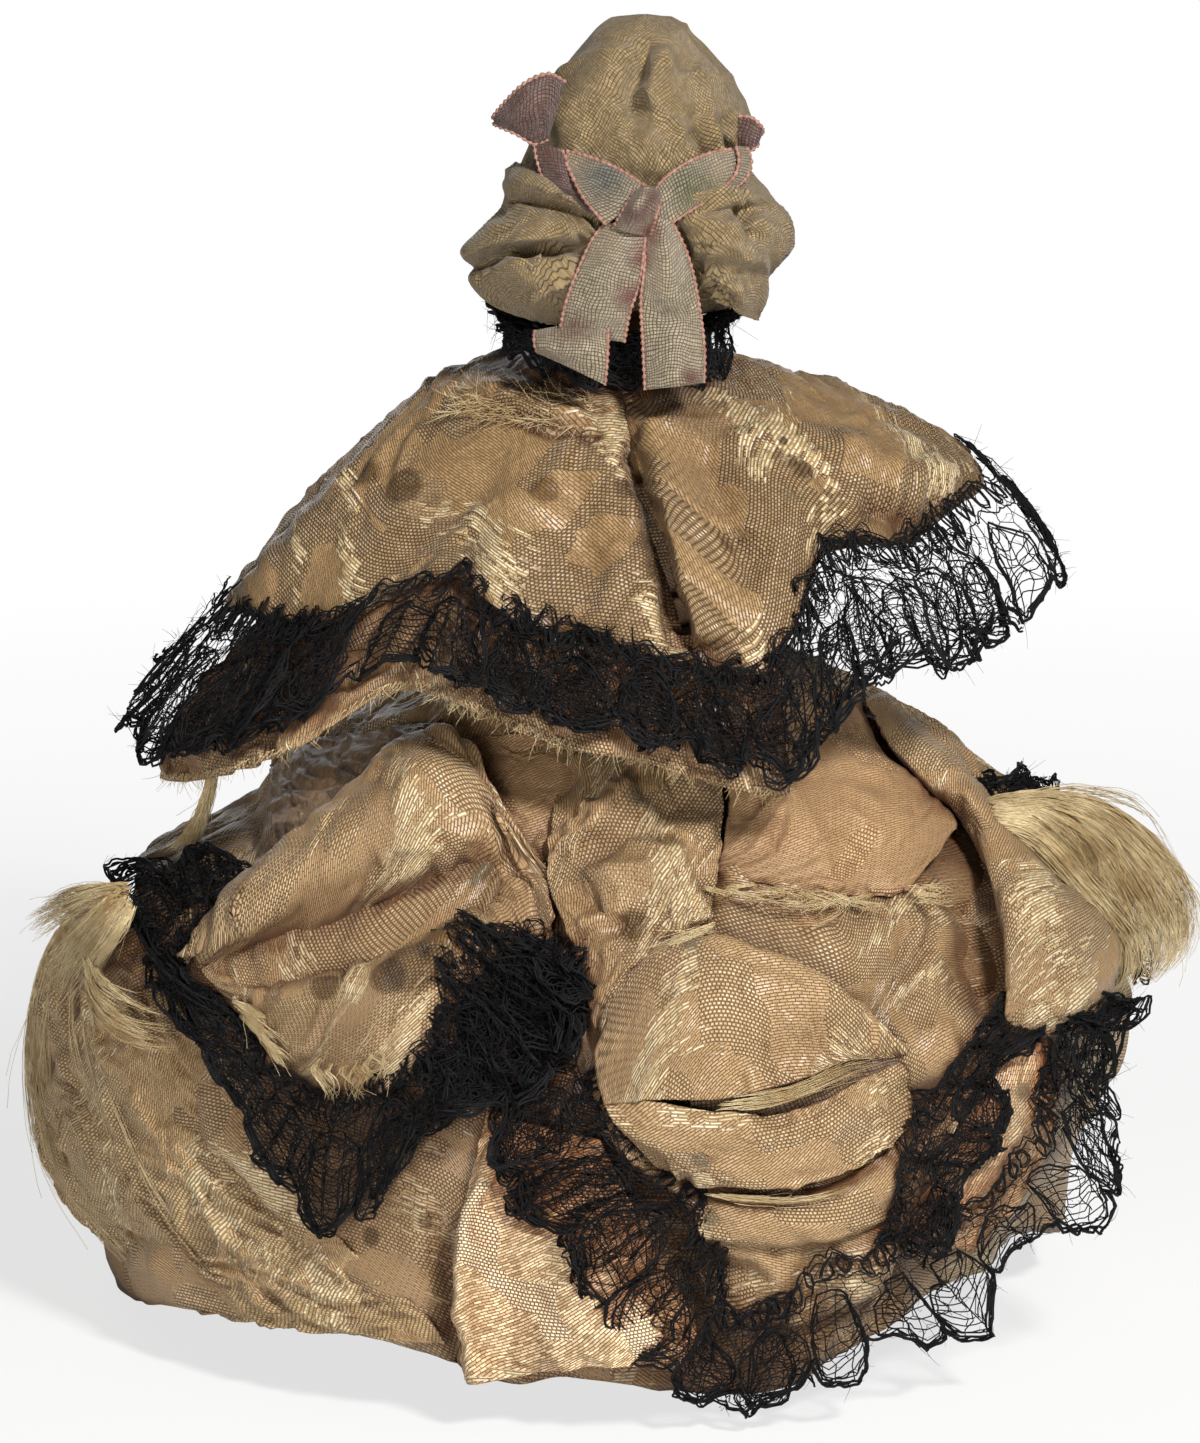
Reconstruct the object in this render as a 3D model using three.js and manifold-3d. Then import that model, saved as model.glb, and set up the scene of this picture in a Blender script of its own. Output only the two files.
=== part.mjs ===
// A dressed wooden peg doll: a carved and pegged wooden body in a silk gown, a cape and a bonnet.
// Lengths are millimetres and angles are degrees. +Z is up, the doll faces -Y, its left is +X.
// The origin is on the floor, under the middle of the gown.
import * as THREE from "three";
import { mergeVertices } from "three/addons/utils/BufferGeometryUtils.js";
import Module from "manifold-3d";

const wasm = await Module();
wasm.setup();

// Heights of the carved body, from the floor up
const soleGap = 1.0; // slippers to floor, inside the gown that carries the doll
const lowerLegLength = 24; // knee pin to sole
const thighLength = 22; // hip pin to knee pin
const hipToWaist = 13;
const waistToShoulder = 15; // waist to shoulder pegs
const shoulderToNeck = 5; // shoulder pegs to the foot of the neck
const neckLength = 7;
const headHeight = 20.4; // chin to crown

// Carved body, half widths across X and half depths across Y
const hipHalfWidth = 6.9;
const hipHalfDepth = 4.8;
const waistHalfWidth = 4.7;
const waistHalfDepth = 3.5;
const chestHalfWidth = 5.9;
const chestHalfDepth = 4.4;
const neckRadius = 2.7;
const headHalfWidth = 5.9;
const headHalfDepth = 6.5;
const headLean = 0.8; // the carved head stands this far to the doll's right
const noseWidth = 1.3;
const noseHeight = 3.2;
const noseReach = 1.3; // how far the wedge stands out of the face
const noseSeat = 1.6; // how deep it goes into the face

// Pegged joints
const pegClearance = 0.15; // round a peg in its hole
const tongueClearance = 0.22; // on each side of a tongue in its fork
const shoulderSpread = 10.6; // middle of the body to the middle of an arm
const hipSpread = 3.6; // middle of the body to the middle of a leg
const shoulderPegRadius = 0.6;
const elbowPinRadius = 0.5;
const hipPinRadius = 0.7;
const kneePinRadius = 0.6;

// Arms
const upperArmLength = 15;
const forearmLength = 16; // elbow pin to finger tips
const armRadius = 1.95;
const armEarRadius = 2.1;
const armEarWidth = 2.4;
const elbowRadius = 1.85;
const elbowTongueWidth = 1.1;
const wristRadius = 1.2;
const handLength = 5;
const armSwing = 30; // forward of straight down, at rest
const elbowBend = 55; // forearm forward of the upper arm, at rest

// Legs
const thighRadius = 3.0;
const hipTongueRadius = 2.3;
const hipTongueWidth = 2.0;
const kneeRadius = 2.4;
const kneeTongueWidth = 1.7;
const ankleRadius = 1.5;
const footLength = 8.4;
const footHalfWidth = 1.9;
const footHeight = 3.4;

// Cloth
const seat = 0.4; // air between an edge or a small piece and what it lies on
const layerAir = 0.85; // air between two layers of the gown
const bodiceCloth = 0.7;
const bodiceTopDrop = 3.5; // shoulder pegs to the top edge of the bodice
const bodiceHem = 0.5; // waist to the lower edge of the bodice, downwards
const waistbandHeight = 2.4;
const waistbandCloth = 0.8;
const sleeveRadius = 3.0;
const sleeveTopDrop = 3.3; // shoulder peg to the sleeve's upper edge
const liningCloth = 0.5;
const liningHemRise = 1.0;
const skirtCloth = 1.0;
const skirtFolds = 12;
const skirtFoldDepth = 2.0; // at the hem
const overskirtCloth = 1.0;
const laceCloth = 0.6;
const laceRuffle = 0.7;
const lacePitch = 9; // degrees from ruffle to ruffle
const capeCloth = 1.2; // across, which on the slope of the cape is half a millimetre of silk
const capeFoldDepth = 0.9;
const capeFrontEdge = 97; // where the fronts of the cape hang, from the middle of the back
const capeNeckEdge = 160; // where they meet the neck
const fringeDrop = 2.6; // how far the frayed underlayer shows below the lace
const fringeInset = 1.7;
const ruffHeight = 2.8;
const ruffReach = 5.6; // how far the frill opens from its foot to its edge
const gownHalfReach = 48.7; // frayed silk on either side, from the middle

// Bonnet and ribbon
const bonnetLean = 2.3; // the crown stands this far to the doll's right
const crownCloth = 0.8;
const crownHalfWidth = 8.5;
const crownHalfDepth = 9.0;
const crownRise = 3.6; // top of the head to the top of the bonnet
const crownRimHeight = 8.3; // chin to the rim behind
const faceOpening = 6.2; // how much higher the rim stands over the face
const curtainCloth = 0.9;
const curtainDrop = 7.6;
const curtainBulge = 1.6;
const curtainFolds = 8;
const ribbonWidth = 6.1;
const ribbonCloth = 0.5;
const knotSize = 3.0;

// Heights worked out from those above
const kneeHeight = soleGap + lowerLegLength;
const hipHeight = kneeHeight + thighLength;
const waistHeight = hipHeight + hipToWaist;
const shoulderHeight = waistHeight + waistToShoulder;
const neckHeight = shoulderHeight + shoulderToNeck;
const chinHeight = neckHeight + neckLength;
const headTop = chinHeight + headHeight;
const bodiceBottom = waistHeight - bodiceHem;
const skirtTop = bodiceBottom - 2 * seat;
const capeTop = neckHeight + 2.2;
const crownRim = chinHeight + crownRimHeight;
const crownTop = headTop + crownRise;

const RADIAN = Math.PI / 180;
const clamp01 = (t) => Math.min(1, Math.max(0, t));
const mix = (a, b, t) => a + (b - a) * t;
const ease = (t) => clamp01(t) ** 2 * (3 - 2 * clamp01(t));
const wave = (turns) => 0.5 + 0.5 * Math.cos(2 * Math.PI * turns); // 1 on a ridge, 0 in a valley
const hump = (t) => Math.sin(Math.PI * clamp01(t));

// A smooth curve through [at, value] points, which are in order of at.
function through(points) {
  const slopes = points.map((_, i) => {
    const before = points[Math.max(0, i - 1)];
    const after = points[Math.min(points.length - 1, i + 1)];
    return (after[1] - before[1]) / (after[0] - before[0]);
  });
  return (at) => {
    const last = points.length - 1;
    if (at <= points[0][0]) return points[0][1];
    if (at >= points[last][0]) return points[last][1];
    const i = points.findIndex((p) => p[0] > at) - 1;
    const span = points[i + 1][0] - points[i][0];
    const t = (at - points[i][0]) / span;
    const rise = points[i + 1][1] - points[i][1];
    const bend = (1 - t) * (slopes[i] * span - rise) - t * (slopes[i + 1] * span - rise);
    return points[i][1] + rise * t + t * (1 - t) * bend;
  };
}

// Radius of an ellipse at an angle from +Y towards +X.
function ellipseRadius(angle, halfWidth, halfDepth) {
  const across = Math.sin(angle * RADIAN) / halfWidth;
  const along = Math.cos(angle * RADIAN) / halfDepth;
  return 1 / Math.hypot(across, along);
}

// The point at an angle from the middle of the back, a radius from an upright axis, and a height.
function around(angle, radius, height, axisX = 0, axisY = 0) {
  return [axisX + radius * Math.sin(angle * RADIAN), axisY + radius * Math.cos(angle * RADIAN), height];
}

// Merges shared corners, drops triangles without area and turns the faces outwards.
function cleaned(geometry) {
  const bare = geometry.clone();
  bare.deleteAttribute("normal");
  bare.deleteAttribute("uv");
  const merged = mergeVertices(bare, 1e-4);
  const corner = merged.index.array;
  const kept = [];
  for (let i = 0; i < corner.length; i += 3) {
    const [a, b, c] = corner.slice(i, i + 3);
    if (a !== b && b !== c && a !== c) kept.push(a, b, c);
  }
  const points = merged.getAttribute("position");
  const at = (i) => new THREE.Vector3().fromBufferAttribute(points, i);
  let volume = 0;
  for (let i = 0; i < kept.length; i += 3) {
    volume += at(kept[i]).dot(at(kept[i + 1]).cross(at(kept[i + 2])));
  }
  if (volume < 0) kept.reverse();
  merged.setIndex(kept);
  return merged;
}

function toSolid(geometry) {
  const closed = cleaned(geometry);
  return new wasm.Manifold(new wasm.Mesh({
    numProp: 3,
    vertProperties: new Float32Array(closed.getAttribute("position").array),
    triVerts: new Uint32Array(closed.index.array),
  }));
}

function fromSolid(solid) {
  const mesh = solid.getMesh();
  const geometry = new THREE.BufferGeometry();
  geometry.setAttribute("position", new THREE.BufferAttribute(new Float32Array(mesh.vertProperties), 3));
  geometry.setIndex([...mesh.triVerts]);
  return cleaned(geometry);
}

const joined = (shapes) => shapes.map(toSolid).reduce((whole, next) => whole.add(next));
const carved = (shapes, cuts) => fromSolid(joined(shapes).subtract(joined(cuts)));

// A round peg along X, with its middle at the given point.
function dowel(radius, length, [x, y, z] = [0, 0, 0]) {
  return cleaned(
    new THREE.CylinderGeometry(radius, radius, length, 12).rotateZ(Math.PI / 2).translate(x, y, z),
  );
}

// A block given by its lowest and highest corners.
function block(low, high) {
  const size = high.map((value, i) => value - low[i]);
  const middle = high.map((value, i) => (value + low[i]) / 2);
  return new THREE.BoxGeometry(...size).translate(...middle);
}

// A shape turned round Z from [radius, height] points.
function turned(profile, sides = 10) {
  const points = profile.map(([radius, height]) => new THREE.Vector2(radius, height));
  return new THREE.LatheGeometry(points, sides).rotateX(Math.PI / 2);
}

// A sheet with two faces. Each face gives a point for u across and v down, both from 0 to 1.
// A closed sheet runs all round in u; with an apex, v ends in one point.
function sheet({ columns, rows, outer, inner, closed = false, apex = false }) {
  const positions = [];
  const faces = [];
  const ring = closed ? columns : columns + 1;
  const lattice = (face) => {
    const start = positions.length / 3;
    for (let j = 0; j <= rows; j += 1) {
      const count = apex && j === rows ? 1 : ring;
      for (let i = 0; i < count; i += 1) positions.push(...face(i / columns, j / rows));
    }
    return (i, j) => start + j * ring + (apex && j === rows ? 0 : i % ring);
  };
  const quad = (a, b, c, d) => faces.push(a, b, c, a, c, d);
  const out = lattice(outer);
  const back = lattice(inner);
  for (let i = 0; i < columns; i += 1) {
    for (let j = 0; j < rows; j += 1) {
      quad(out(i, j), out(i + 1, j), out(i + 1, j + 1), out(i, j + 1));
      quad(back(i, j), back(i, j + 1), back(i + 1, j + 1), back(i + 1, j));
    }
    quad(out(i, 0), back(i, 0), back(i + 1, 0), out(i + 1, 0));
    if (!apex) quad(out(i, rows), out(i + 1, rows), back(i + 1, rows), back(i, rows));
  }
  for (let j = 0; j < rows && !closed; j += 1) {
    quad(out(0, j), out(0, j + 1), back(0, j + 1), back(0, j));
    quad(out(columns, j), back(columns, j), back(columns, j + 1), out(columns, j + 1));
  }
  const geometry = new THREE.BufferGeometry();
  geometry.setAttribute("position", new THREE.BufferAttribute(new Float32Array(positions), 3));
  geometry.setIndex(faces);
  return cleaned(geometry);
}

// Cloth hung round an upright axis between two angles, from a top to a bottom height.
// inside gives the radius of its inner face at an angle and a height. Rows crowd towards the top
// where crowd is over 1.
function hung({ from, to, columns, rows, top, bottom, inside, cloth, closed = false, axisX = 0, crowd = 1 }) {
  const height = (angle, v) => mix(top(angle), bottom(angle), v ** crowd);
  const face = (depth) => (u, v) => {
    const angle = mix(from, to, u);
    const z = height(angle, v);
    return around(angle, inside(angle, z) + depth * cloth(angle, z), z, axisX);
  };
  return sheet({ columns, rows, outer: face(1), inner: face(0), closed });
}

// A flat ribbon along a line of points. width gives its width at each step along the line, and
// side is the direction across it.
function ribbon({ points, closed = false, steps, side, width, cloth }) {
  const line = new THREE.CatmullRomCurve3(points.map((p) => new THREE.Vector3(...p)), closed);
  const across = new THREE.Vector3(...side).normalize();
  const positions = [];
  const count = closed ? steps : steps + 1;
  for (let i = 0; i < count; i += 1) {
    const t = i / steps;
    const middle = line.getPoint(t);
    const face = line.getTangent(t).cross(across).normalize();
    for (const [a, b] of [[-1, -1], [1, -1], [1, 1], [-1, 1]]) {
      const corner = middle.clone()
        .addScaledVector(across, (a * width(t)) / 2)
        .addScaledVector(face, (b * cloth) / 2);
      positions.push(corner.x, corner.y, corner.z);
    }
  }
  const faces = [];
  for (let i = 0; i < steps; i += 1) {
    const here = 4 * i;
    const next = 4 * ((i + 1) % count);
    for (let k = 0; k < 4; k += 1) {
      const l = (k + 1) % 4;
      faces.push(here + k, here + l, next + l, here + k, next + l, next + k);
    }
  }
  if (!closed) {
    const end = 4 * steps;
    faces.push(0, 2, 1, 0, 3, 2, end, end + 1, end + 2, end, end + 2, end + 3);
  }
  const geometry = new THREE.BufferGeometry();
  geometry.setAttribute("position", new THREE.BufferAttribute(new Float32Array(positions), 3));
  geometry.setIndex(faces);
  return cleaned(geometry);
}

// Carved trunk and head: half width, half depth and lean at each height
const trunkFoot = hipHeight + 0.5;
const bodyStations = [
  [trunkFoot, hipHalfWidth * 0.94, hipHalfDepth * 0.94, 0],
  [hipHeight + hipToWaist * 0.35, hipHalfWidth, hipHalfDepth, 0],
  [waistHeight - hipToWaist * 0.25, hipHalfWidth * 0.84, hipHalfDepth * 0.86, 0],
  [waistHeight, waistHalfWidth, waistHalfDepth, 0],
  [waistHeight + waistToShoulder * 0.35, chestHalfWidth * 0.9, chestHalfDepth * 0.9, 0],
  [waistHeight + waistToShoulder * 0.8, chestHalfWidth, chestHalfDepth, 0],
  [shoulderHeight + shoulderToNeck * 0.1, chestHalfWidth * 1.04, chestHalfDepth * 0.96, 0],
  [shoulderHeight + shoulderToNeck * 0.6, chestHalfWidth * 0.82, chestHalfDepth * 0.82, 0],
  [neckHeight, neckRadius * 1.15, neckRadius * 1.12, 0],
  [neckHeight + neckLength * 0.4, neckRadius, neckRadius, headLean * 0.3],
  [chinHeight - neckLength * 0.1, neckRadius, neckRadius * 1.05, headLean * 0.7],
  [chinHeight + headHeight * 0.04, headHalfWidth * 0.6, headHalfDepth * 0.62, headLean],
  [chinHeight + headHeight * 0.16, headHalfWidth * 0.82, headHalfDepth * 0.84, headLean],
  [chinHeight + headHeight * 0.35, headHalfWidth * 0.95, headHalfDepth * 0.96, headLean],
  [chinHeight + headHeight * 0.55, headHalfWidth, headHalfDepth, headLean],
  [chinHeight + headHeight * 0.75, headHalfWidth * 0.93, headHalfDepth * 0.94, headLean],
  [chinHeight + headHeight * 0.9, headHalfWidth * 0.7, headHalfDepth * 0.72, headLean],
  [chinHeight + headHeight * 0.975, headHalfWidth * 0.4, headHalfDepth * 0.42, headLean],
];
const bodyWidthAt = through(bodyStations.map(([z, width]) => [z, width]));
const bodyDepthAt = through(bodyStations.map(([z, , depth]) => [z, depth]));
const bodyLeanAt = through(bodyStations.map(([z, , , lean]) => [z, lean]));
const bodyRadius = (angle, z) => ellipseRadius(angle, bodyWidthAt(z), bodyDepthAt(z));

function headAndTorso() {
  const rings = 27;
  const sides = 18;
  const top = bodyStations[bodyStations.length - 1][0];
  const profile = [[0, trunkFoot]];
  for (let i = 0; i <= rings; i += 1) profile.push([1, mix(trunkFoot, top, i / rings)]);
  profile.push([0, headTop]);
  const trunk = turned(profile, sides);
  const points = trunk.getAttribute("position");
  for (let i = 0; i < points.count; i += 1) {
    const z = points.getZ(i);
    points.setX(i, points.getX(i) * bodyWidthAt(z) - bodyLeanAt(z));
    points.setY(i, points.getY(i) * bodyDepthAt(z));
  }
  const bossEnd = shoulderSpread - armEarWidth / 2 - seat;
  const hipBlockHalf = hipSpread + hipTongueWidth / 2 + 1.6;
  const solids = [
    trunk,
    dowel(armEarRadius + 0.1, 2 * bossEnd, [0, 0, shoulderHeight]),
    dowel(hipTongueRadius + 0.5, 2 * hipBlockHalf, [0, 0, hipHeight]),
  ];
  const faceY = -bodyDepthAt(noseBase);
  const cuts = [
    dowel(shoulderPegRadius + pegClearance, 2 * shoulderSpread, [0, 0, shoulderHeight]),
    dowel(hipPinRadius + pegClearance, 4 * hipBlockHalf, [0, 0, hipHeight]),
    block(
      [-headLean - noseWidth / 2 - pegClearance, faceY - noseReach, noseBase - pegClearance],
      [-headLean + noseWidth / 2 + pegClearance, faceY + noseSeat + pegClearance,
        noseBase + noseHeight + pegClearance],
    ),
  ];
  const slotHalf = hipTongueWidth / 2 + tongueClearance;
  for (const side of [-1, 1]) {
    const x = side * hipSpread;
    cuts.push(dowel(hipTongueRadius + 0.4, 2 * slotHalf, [x, 0, hipHeight]));
    const low = hipHeight - 2 * hipTongueRadius;
    cuts.push(block([x - slotHalf, -2 * hipTongueRadius, low], [x + slotHalf, 2 * hipTongueRadius, hipHeight]));
  }
  return carved(solids, cuts);
}

const noseBase = chinHeight + headHeight * 0.38;

// The nose is a wedge of wood pushed into a slot in the face.
function noseWedge() {
  const outline = new THREE.Shape();
  const front = noseSeat + noseReach;
  outline.moveTo(0, 0);
  outline.lineTo(front, 0);
  outline.lineTo(front, noseHeight * 0.22);
  outline.lineTo(noseSeat * 1.05, noseHeight);
  outline.lineTo(0, noseHeight);
  const wedge = new THREE.ExtrudeGeometry(outline, { depth: noseWidth, bevelEnabled: false });
  const faceY = -bodyDepthAt(noseBase);
  return cleaned(wedge
    .rotateX(Math.PI / 2)
    .rotateZ(-Math.PI / 2)
    .translate(-headLean + noseWidth / 2, faceY + noseSeat, noseBase));
}

// An upper arm or thigh hangs from its pin at the origin and ends in a fork.
function upperLimb({ length, radius, earRadius, earWidth, earPin, shoulder, knuckle, tongue, forkPin }) {
  const slotHalf = tongue / 2 + tongueClearance;
  const body = turned([
    [0, 0],
    [earWidth / 2 - 0.05, 0],
    [earWidth / 2, -shoulder + 0.35],
    [radius * 0.94, -shoulder],
    [radius, -length * 0.5],
    [knuckle * 0.94, -length + knuckle],
    [knuckle * 0.94, -length],
    [0, -length],
  ]);
  const deep = 2 * radius;
  return carved(
    [body, dowel(earRadius, earWidth), dowel(knuckle, 2 * knuckle, [0, 0, -length])],
    [
      dowel(earPin + pegClearance, 2 * earWidth),
      dowel(forkPin + pegClearance, 4 * knuckle, [0, 0, -length]),
      block([-slotHalf, -deep, -length - 2 * knuckle], [slotHalf, deep, -length + knuckle + 0.25]),
    ],
  );
}

// A forearm or lower leg hangs from a tongue at the origin; profile shapes it down to its end.
function lowerLimb({ knuckle, tongue, pin, profile, extras, cuts = [] }) {
  const tongueRadius = knuckle - 0.2;
  const shoulder = knuckle + 0.4;
  return carved(
    [
      dowel(tongueRadius, tongue),
      block([-tongue / 2, -tongueRadius * 0.8, -shoulder - 0.3], [tongue / 2, tongueRadius * 0.8, 0]),
      turned([[0, -shoulder], ...profile(shoulder)]),
      ...extras,
    ],
    [dowel(pin + pegClearance, 2 * tongue), ...cuts],
  );
}

const ball = (x, y, z) => new THREE.SphereGeometry(1, 10, 7).scale(x, y, z);

const upperArm = () => upperLimb({
  length: upperArmLength, radius: armRadius, earRadius: armEarRadius, earWidth: armEarWidth,
  earPin: shoulderPegRadius, shoulder: armEarRadius + 1.5, knuckle: elbowRadius,
  tongue: elbowTongueWidth, forkPin: elbowPinRadius,
});

const thigh = () => upperLimb({
  length: thighLength, radius: thighRadius, earRadius: hipTongueRadius, earWidth: hipTongueWidth,
  earPin: hipPinRadius, shoulder: hipTongueRadius + 1.1, knuckle: kneeRadius,
  tongue: kneeTongueWidth, forkPin: kneePinRadius,
});

const forearm = () => lowerLimb({
  knuckle: elbowRadius, tongue: elbowTongueWidth, pin: elbowPinRadius,
  profile: (top) => [
    [elbowRadius * 0.9, -top],
    [elbowRadius * 0.86, -forearmLength * 0.35],
    [wristRadius, -forearmLength + handLength],
    [0, -forearmLength + handLength - 0.2],
  ],
  extras: [ball(wristRadius * 0.75, wristRadius * 1.3, handLength * 0.55)
    .translate(0, 0, -forearmLength + handLength * 0.55)],
});

const lowerLeg = () => lowerLimb({
  knuckle: kneeRadius, tongue: kneeTongueWidth, pin: kneePinRadius,
  profile: (top) => [
    [kneeRadius * 0.94, -top],
    [kneeRadius, -lowerLegLength * 0.35],
    [ankleRadius, -lowerLegLength + footHeight],
    [ankleRadius, -lowerLegLength + footHeight * 0.4],
    [0, -lowerLegLength + footHeight * 0.4],
  ],
  extras: [ball(footHalfWidth, footLength / 2, footHeight * 0.75)
    .translate(0, -footLength * 0.27, -lowerLegLength + footHeight * 0.25)],
  cuts: [block(
    [-2 * footHalfWidth, -footLength, -lowerLegLength - footHeight],
    [2 * footHalfWidth, footLength, -lowerLegLength],
  )],
});

// A short sleeve round the upper arm.
function sleeve() {
  const inside = armRadius + seat;
  const high = -sleeveTopDrop;
  const low = -upperArmLength + elbowRadius + 1.0;
  return cleaned(turned([
    [inside, high],
    [sleeveRadius * 0.93, high],
    [sleeveRadius, mix(high, low, 0.3)],
    [sleeveRadius * 0.93, mix(high, low, 0.75)],
    [sleeveRadius * 0.97, low],
    [inside, low],
    [inside, high],
  ], 12));
}

// The bodice and its waistband follow the carved trunk.
const bodiceOutside = (angle, z) => bodyRadius(angle, z) + seat + bodiceCloth;
const bodice = () => hung({
  from: 0, to: 360, columns: 20, rows: 4, closed: true,
  top: () => shoulderHeight - bodiceTopDrop,
  bottom: () => bodiceBottom,
  inside: (angle, z) => bodyRadius(angle, z) + seat,
  cloth: () => bodiceCloth,
});
const waistband = () => hung({
  from: 0, to: 360, columns: 20, rows: 1, closed: true,
  top: () => bodiceBottom + waistbandHeight - seat,
  bottom: () => bodiceBottom - seat,
  inside: (angle) => bodiceOutside(angle, waistHeight + waistbandHeight) + seat,
  cloth: () => waistbandCloth,
});

// The gown's bell, as the half widths and half depths of its lining.
// The first number is the share of the way up from the floor to the waist.
const bellWidthAt = through([
  [0, 38], [0.14, 39.5], [0.34, 40.5], [0.51, 39], [0.65, 35.5], [0.75, 31],
  [0.82, 27.5], [0.875, 22.5], [0.925, 16], [0.965, 10.5], [1, waistHalfWidth + 2.4],
]);
const bellBackAt = through([
  [0, 31], [0.14, 32], [0.34, 32], [0.51, 30.5], [0.65, 27], [0.75, 22.5],
  [0.82, 19], [0.875, 15.5], [0.925, 12], [0.965, 8.5], [1, waistHalfDepth + 2.2],
]);
const bellFrontAt = through([
  [0, 34.1], [0.14, 34.8], [0.34, 33.6], [0.51, 31], [0.65, 26.5], [0.75, 22],
  [0.82, 18.5], [0.875, 15], [0.925, 11.5], [0.965, 8.5], [1, waistHalfDepth + 2.2],
]);

function bellRadius(angle, z) {
  const share = z / skirtTop;
  const behind = Math.cos(angle * RADIAN) > 0;
  return ellipseRadius(angle, bellWidthAt(share), behind ? bellBackAt(share) : bellFrontAt(share));
}

// Upright folds, even enough for the hem to stand on, that die out towards the waist.
function skirtFold(angle, z) {
  const depth = skirtFoldDepth * mix(1, 0.15, z / skirtTop);
  return depth * wave((skirtFolds * angle) / 360 + 0.14 * Math.sin(3 * angle * RADIAN));
}

const skirtInside = (angle, z) => bellRadius(angle, z) + liningCloth + layerAir + skirtFold(angle, z);
const skirtOutside = (angle, z) => skirtInside(angle, z) + skirtCloth;

const bellCrowd = 1.5;
const skirtLining = () => hung({
  from: 0, to: 360, columns: 30, rows: 8, closed: true, crowd: bellCrowd,
  top: () => skirtTop,
  bottom: () => liningHemRise,
  inside: bellRadius,
  cloth: () => liningCloth,
});
const skirt = () => hung({
  from: 0, to: 360, columns: 60, rows: 8, closed: true, crowd: bellCrowd,
  top: () => skirtTop,
  bottom: () => 0,
  inside: skirtInside,
  cloth: () => skirtCloth,
});

// The open overskirt is caught up in a puff on the left and hangs in a long panel on the right.
// Each edge gives heights in shares of the skirt, at angles from the middle of the back.
const upSkirt = (points) => {
  const share = through(points);
  return (angle) => share(angle) * skirtTop;
};
const overskirtTop = () => skirtTop * 0.955;
const leftFrom = 10;
const leftTo = 112;
const rightFrom = -108;
const rightTo = 8.5;
const leftEdge = upSkirt([
  [10, 0.6], [14, 0.56], [21, 0.46], [40, 0.44], [56, 0.43], [65, 0.53], [74, 0.59], [86, 0.65], [112, 0.76],
]);
const leftLaceEdge = upSkirt([
  [10, 0.5], [16, 0.45], [23, 0.41], [30, 0.35], [36, 0.265], [41, 0.23], [48, 0.28], [58, 0.35],
  [70, 0.47], [84, 0.55], [100, 0.6], [112, 0.68],
]);
const rightEdge = upSkirt([
  [-108, 0.72], [-88, 0.54], [-66, 0.49], [-55, 0.35], [-42, 0.3], [-33, 0.21], [-17, 0.14],
  [-11, 0.19], [-4, 0.29], [2, 0.38], [8.5, 0.52],
]);
const rightLaceEdge = upSkirt([
  [-108, 0.6], [-90, 0.33], [-79, 0.23], [-65, 0.18], [-54, 0.11], [-46, 0.075], [-34, 0.085],
  [-24, 0.03], [-15, 0.03], [-11, 0.1], [-5, 0.22], [2, 0.31], [8.5, 0.44],
]);

function overskirtInside(angle, z) {
  const share = z / skirtTop;
  const puff = 3.2 * hump((angle - leftFrom) / (leftTo - leftFrom)) * hump((share - 0.4) / 0.62);
  const sway = 1.4 * hump((rightTo - angle) / (rightTo - rightFrom)) * hump(share / 0.95);
  const swags = 0.8 * wave(z / 8.5 + angle / 70) * hump((share - 0.05) / 0.95);
  const lift = angle > 9 ? puff : sway;
  return skirtOutside(angle, z) + layerAir + lift + swags;
}

const ruffleAt = (angle) => laceRuffle * wave(angle / lacePitch);
const overskirt = (from, to, columns, bottom) => hung({
  from, to, columns, rows: 8, crowd: bellCrowd,
  top: overskirtTop,
  bottom,
  inside: overskirtInside,
  cloth: () => overskirtCloth,
});
const skirtLace = (from, to, columns, top, bottom) => hung({
  from, to, columns, rows: 2,
  top: (angle) => top(angle) - seat,
  bottom,
  inside: (angle, z) => overskirtInside(angle, z) + ruffleAt(angle) * clamp01((top(angle) - z) / 4),
  cloth: () => laceCloth,
});

// Drapery on top of the overskirt
const onOverskirt = (angle, z) => overskirtInside(angle, z) + overskirtCloth + layerAir;
const centreTail = () => hung({
  from: -15, to: 0, columns: 6, rows: 6,
  top: () => skirtTop * 0.93,
  bottom: (angle) => skirtTop * mix(0.56, 0.66, clamp01(-angle / 15)),
  inside: (angle, z) => onOverskirt(angle, z) + 0.6 * wave(angle / 10),
  cloth: () => overskirtCloth,
});
const rolledDrape = () => hung({
  from: -68, to: -42, columns: 8, rows: 7,
  top: () => skirtTop * 0.93,
  bottom: (angle) => skirtTop * mix(0.52, 0.6, clamp01((-42 - angle) / 26)),
  inside: onOverskirt,
  cloth: (angle, z) => {
    const roll = hump((angle + 71) / 32);
    return overskirtCloth + 3.2 * roll * ease((z / skirtTop - 0.45) / 0.3);
  },
});

// Frayed silk that stands away from the sides of the gown, widest straight out to the side
const fraySpread = 14; // degrees to either side
function fray(middle, low, high, root) {
  const swell = (angle, z) => {
    const sideways = Math.cos(((angle - middle) / fraySpread) * (Math.PI / 2));
    return sideways * hump((z / skirtTop - low) / (high - low));
  };
  return hung({
    from: middle - fraySpread, to: middle + fraySpread, columns: 8, rows: 4,
    top: () => skirtTop * high,
    bottom: () => skirtTop * low,
    inside: root,
    cloth: (angle, z) => mix(laceCloth, gownHalfReach - root(angle, z), swell(angle, z)),
  });
}
const frayLeft = () => fray(90, 0.12, 0.44, (angle, z) => skirtOutside(angle, z) + layerAir);
const frayRight = () => fray(-90, 0.57, 0.8, onOverskirt);

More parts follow.
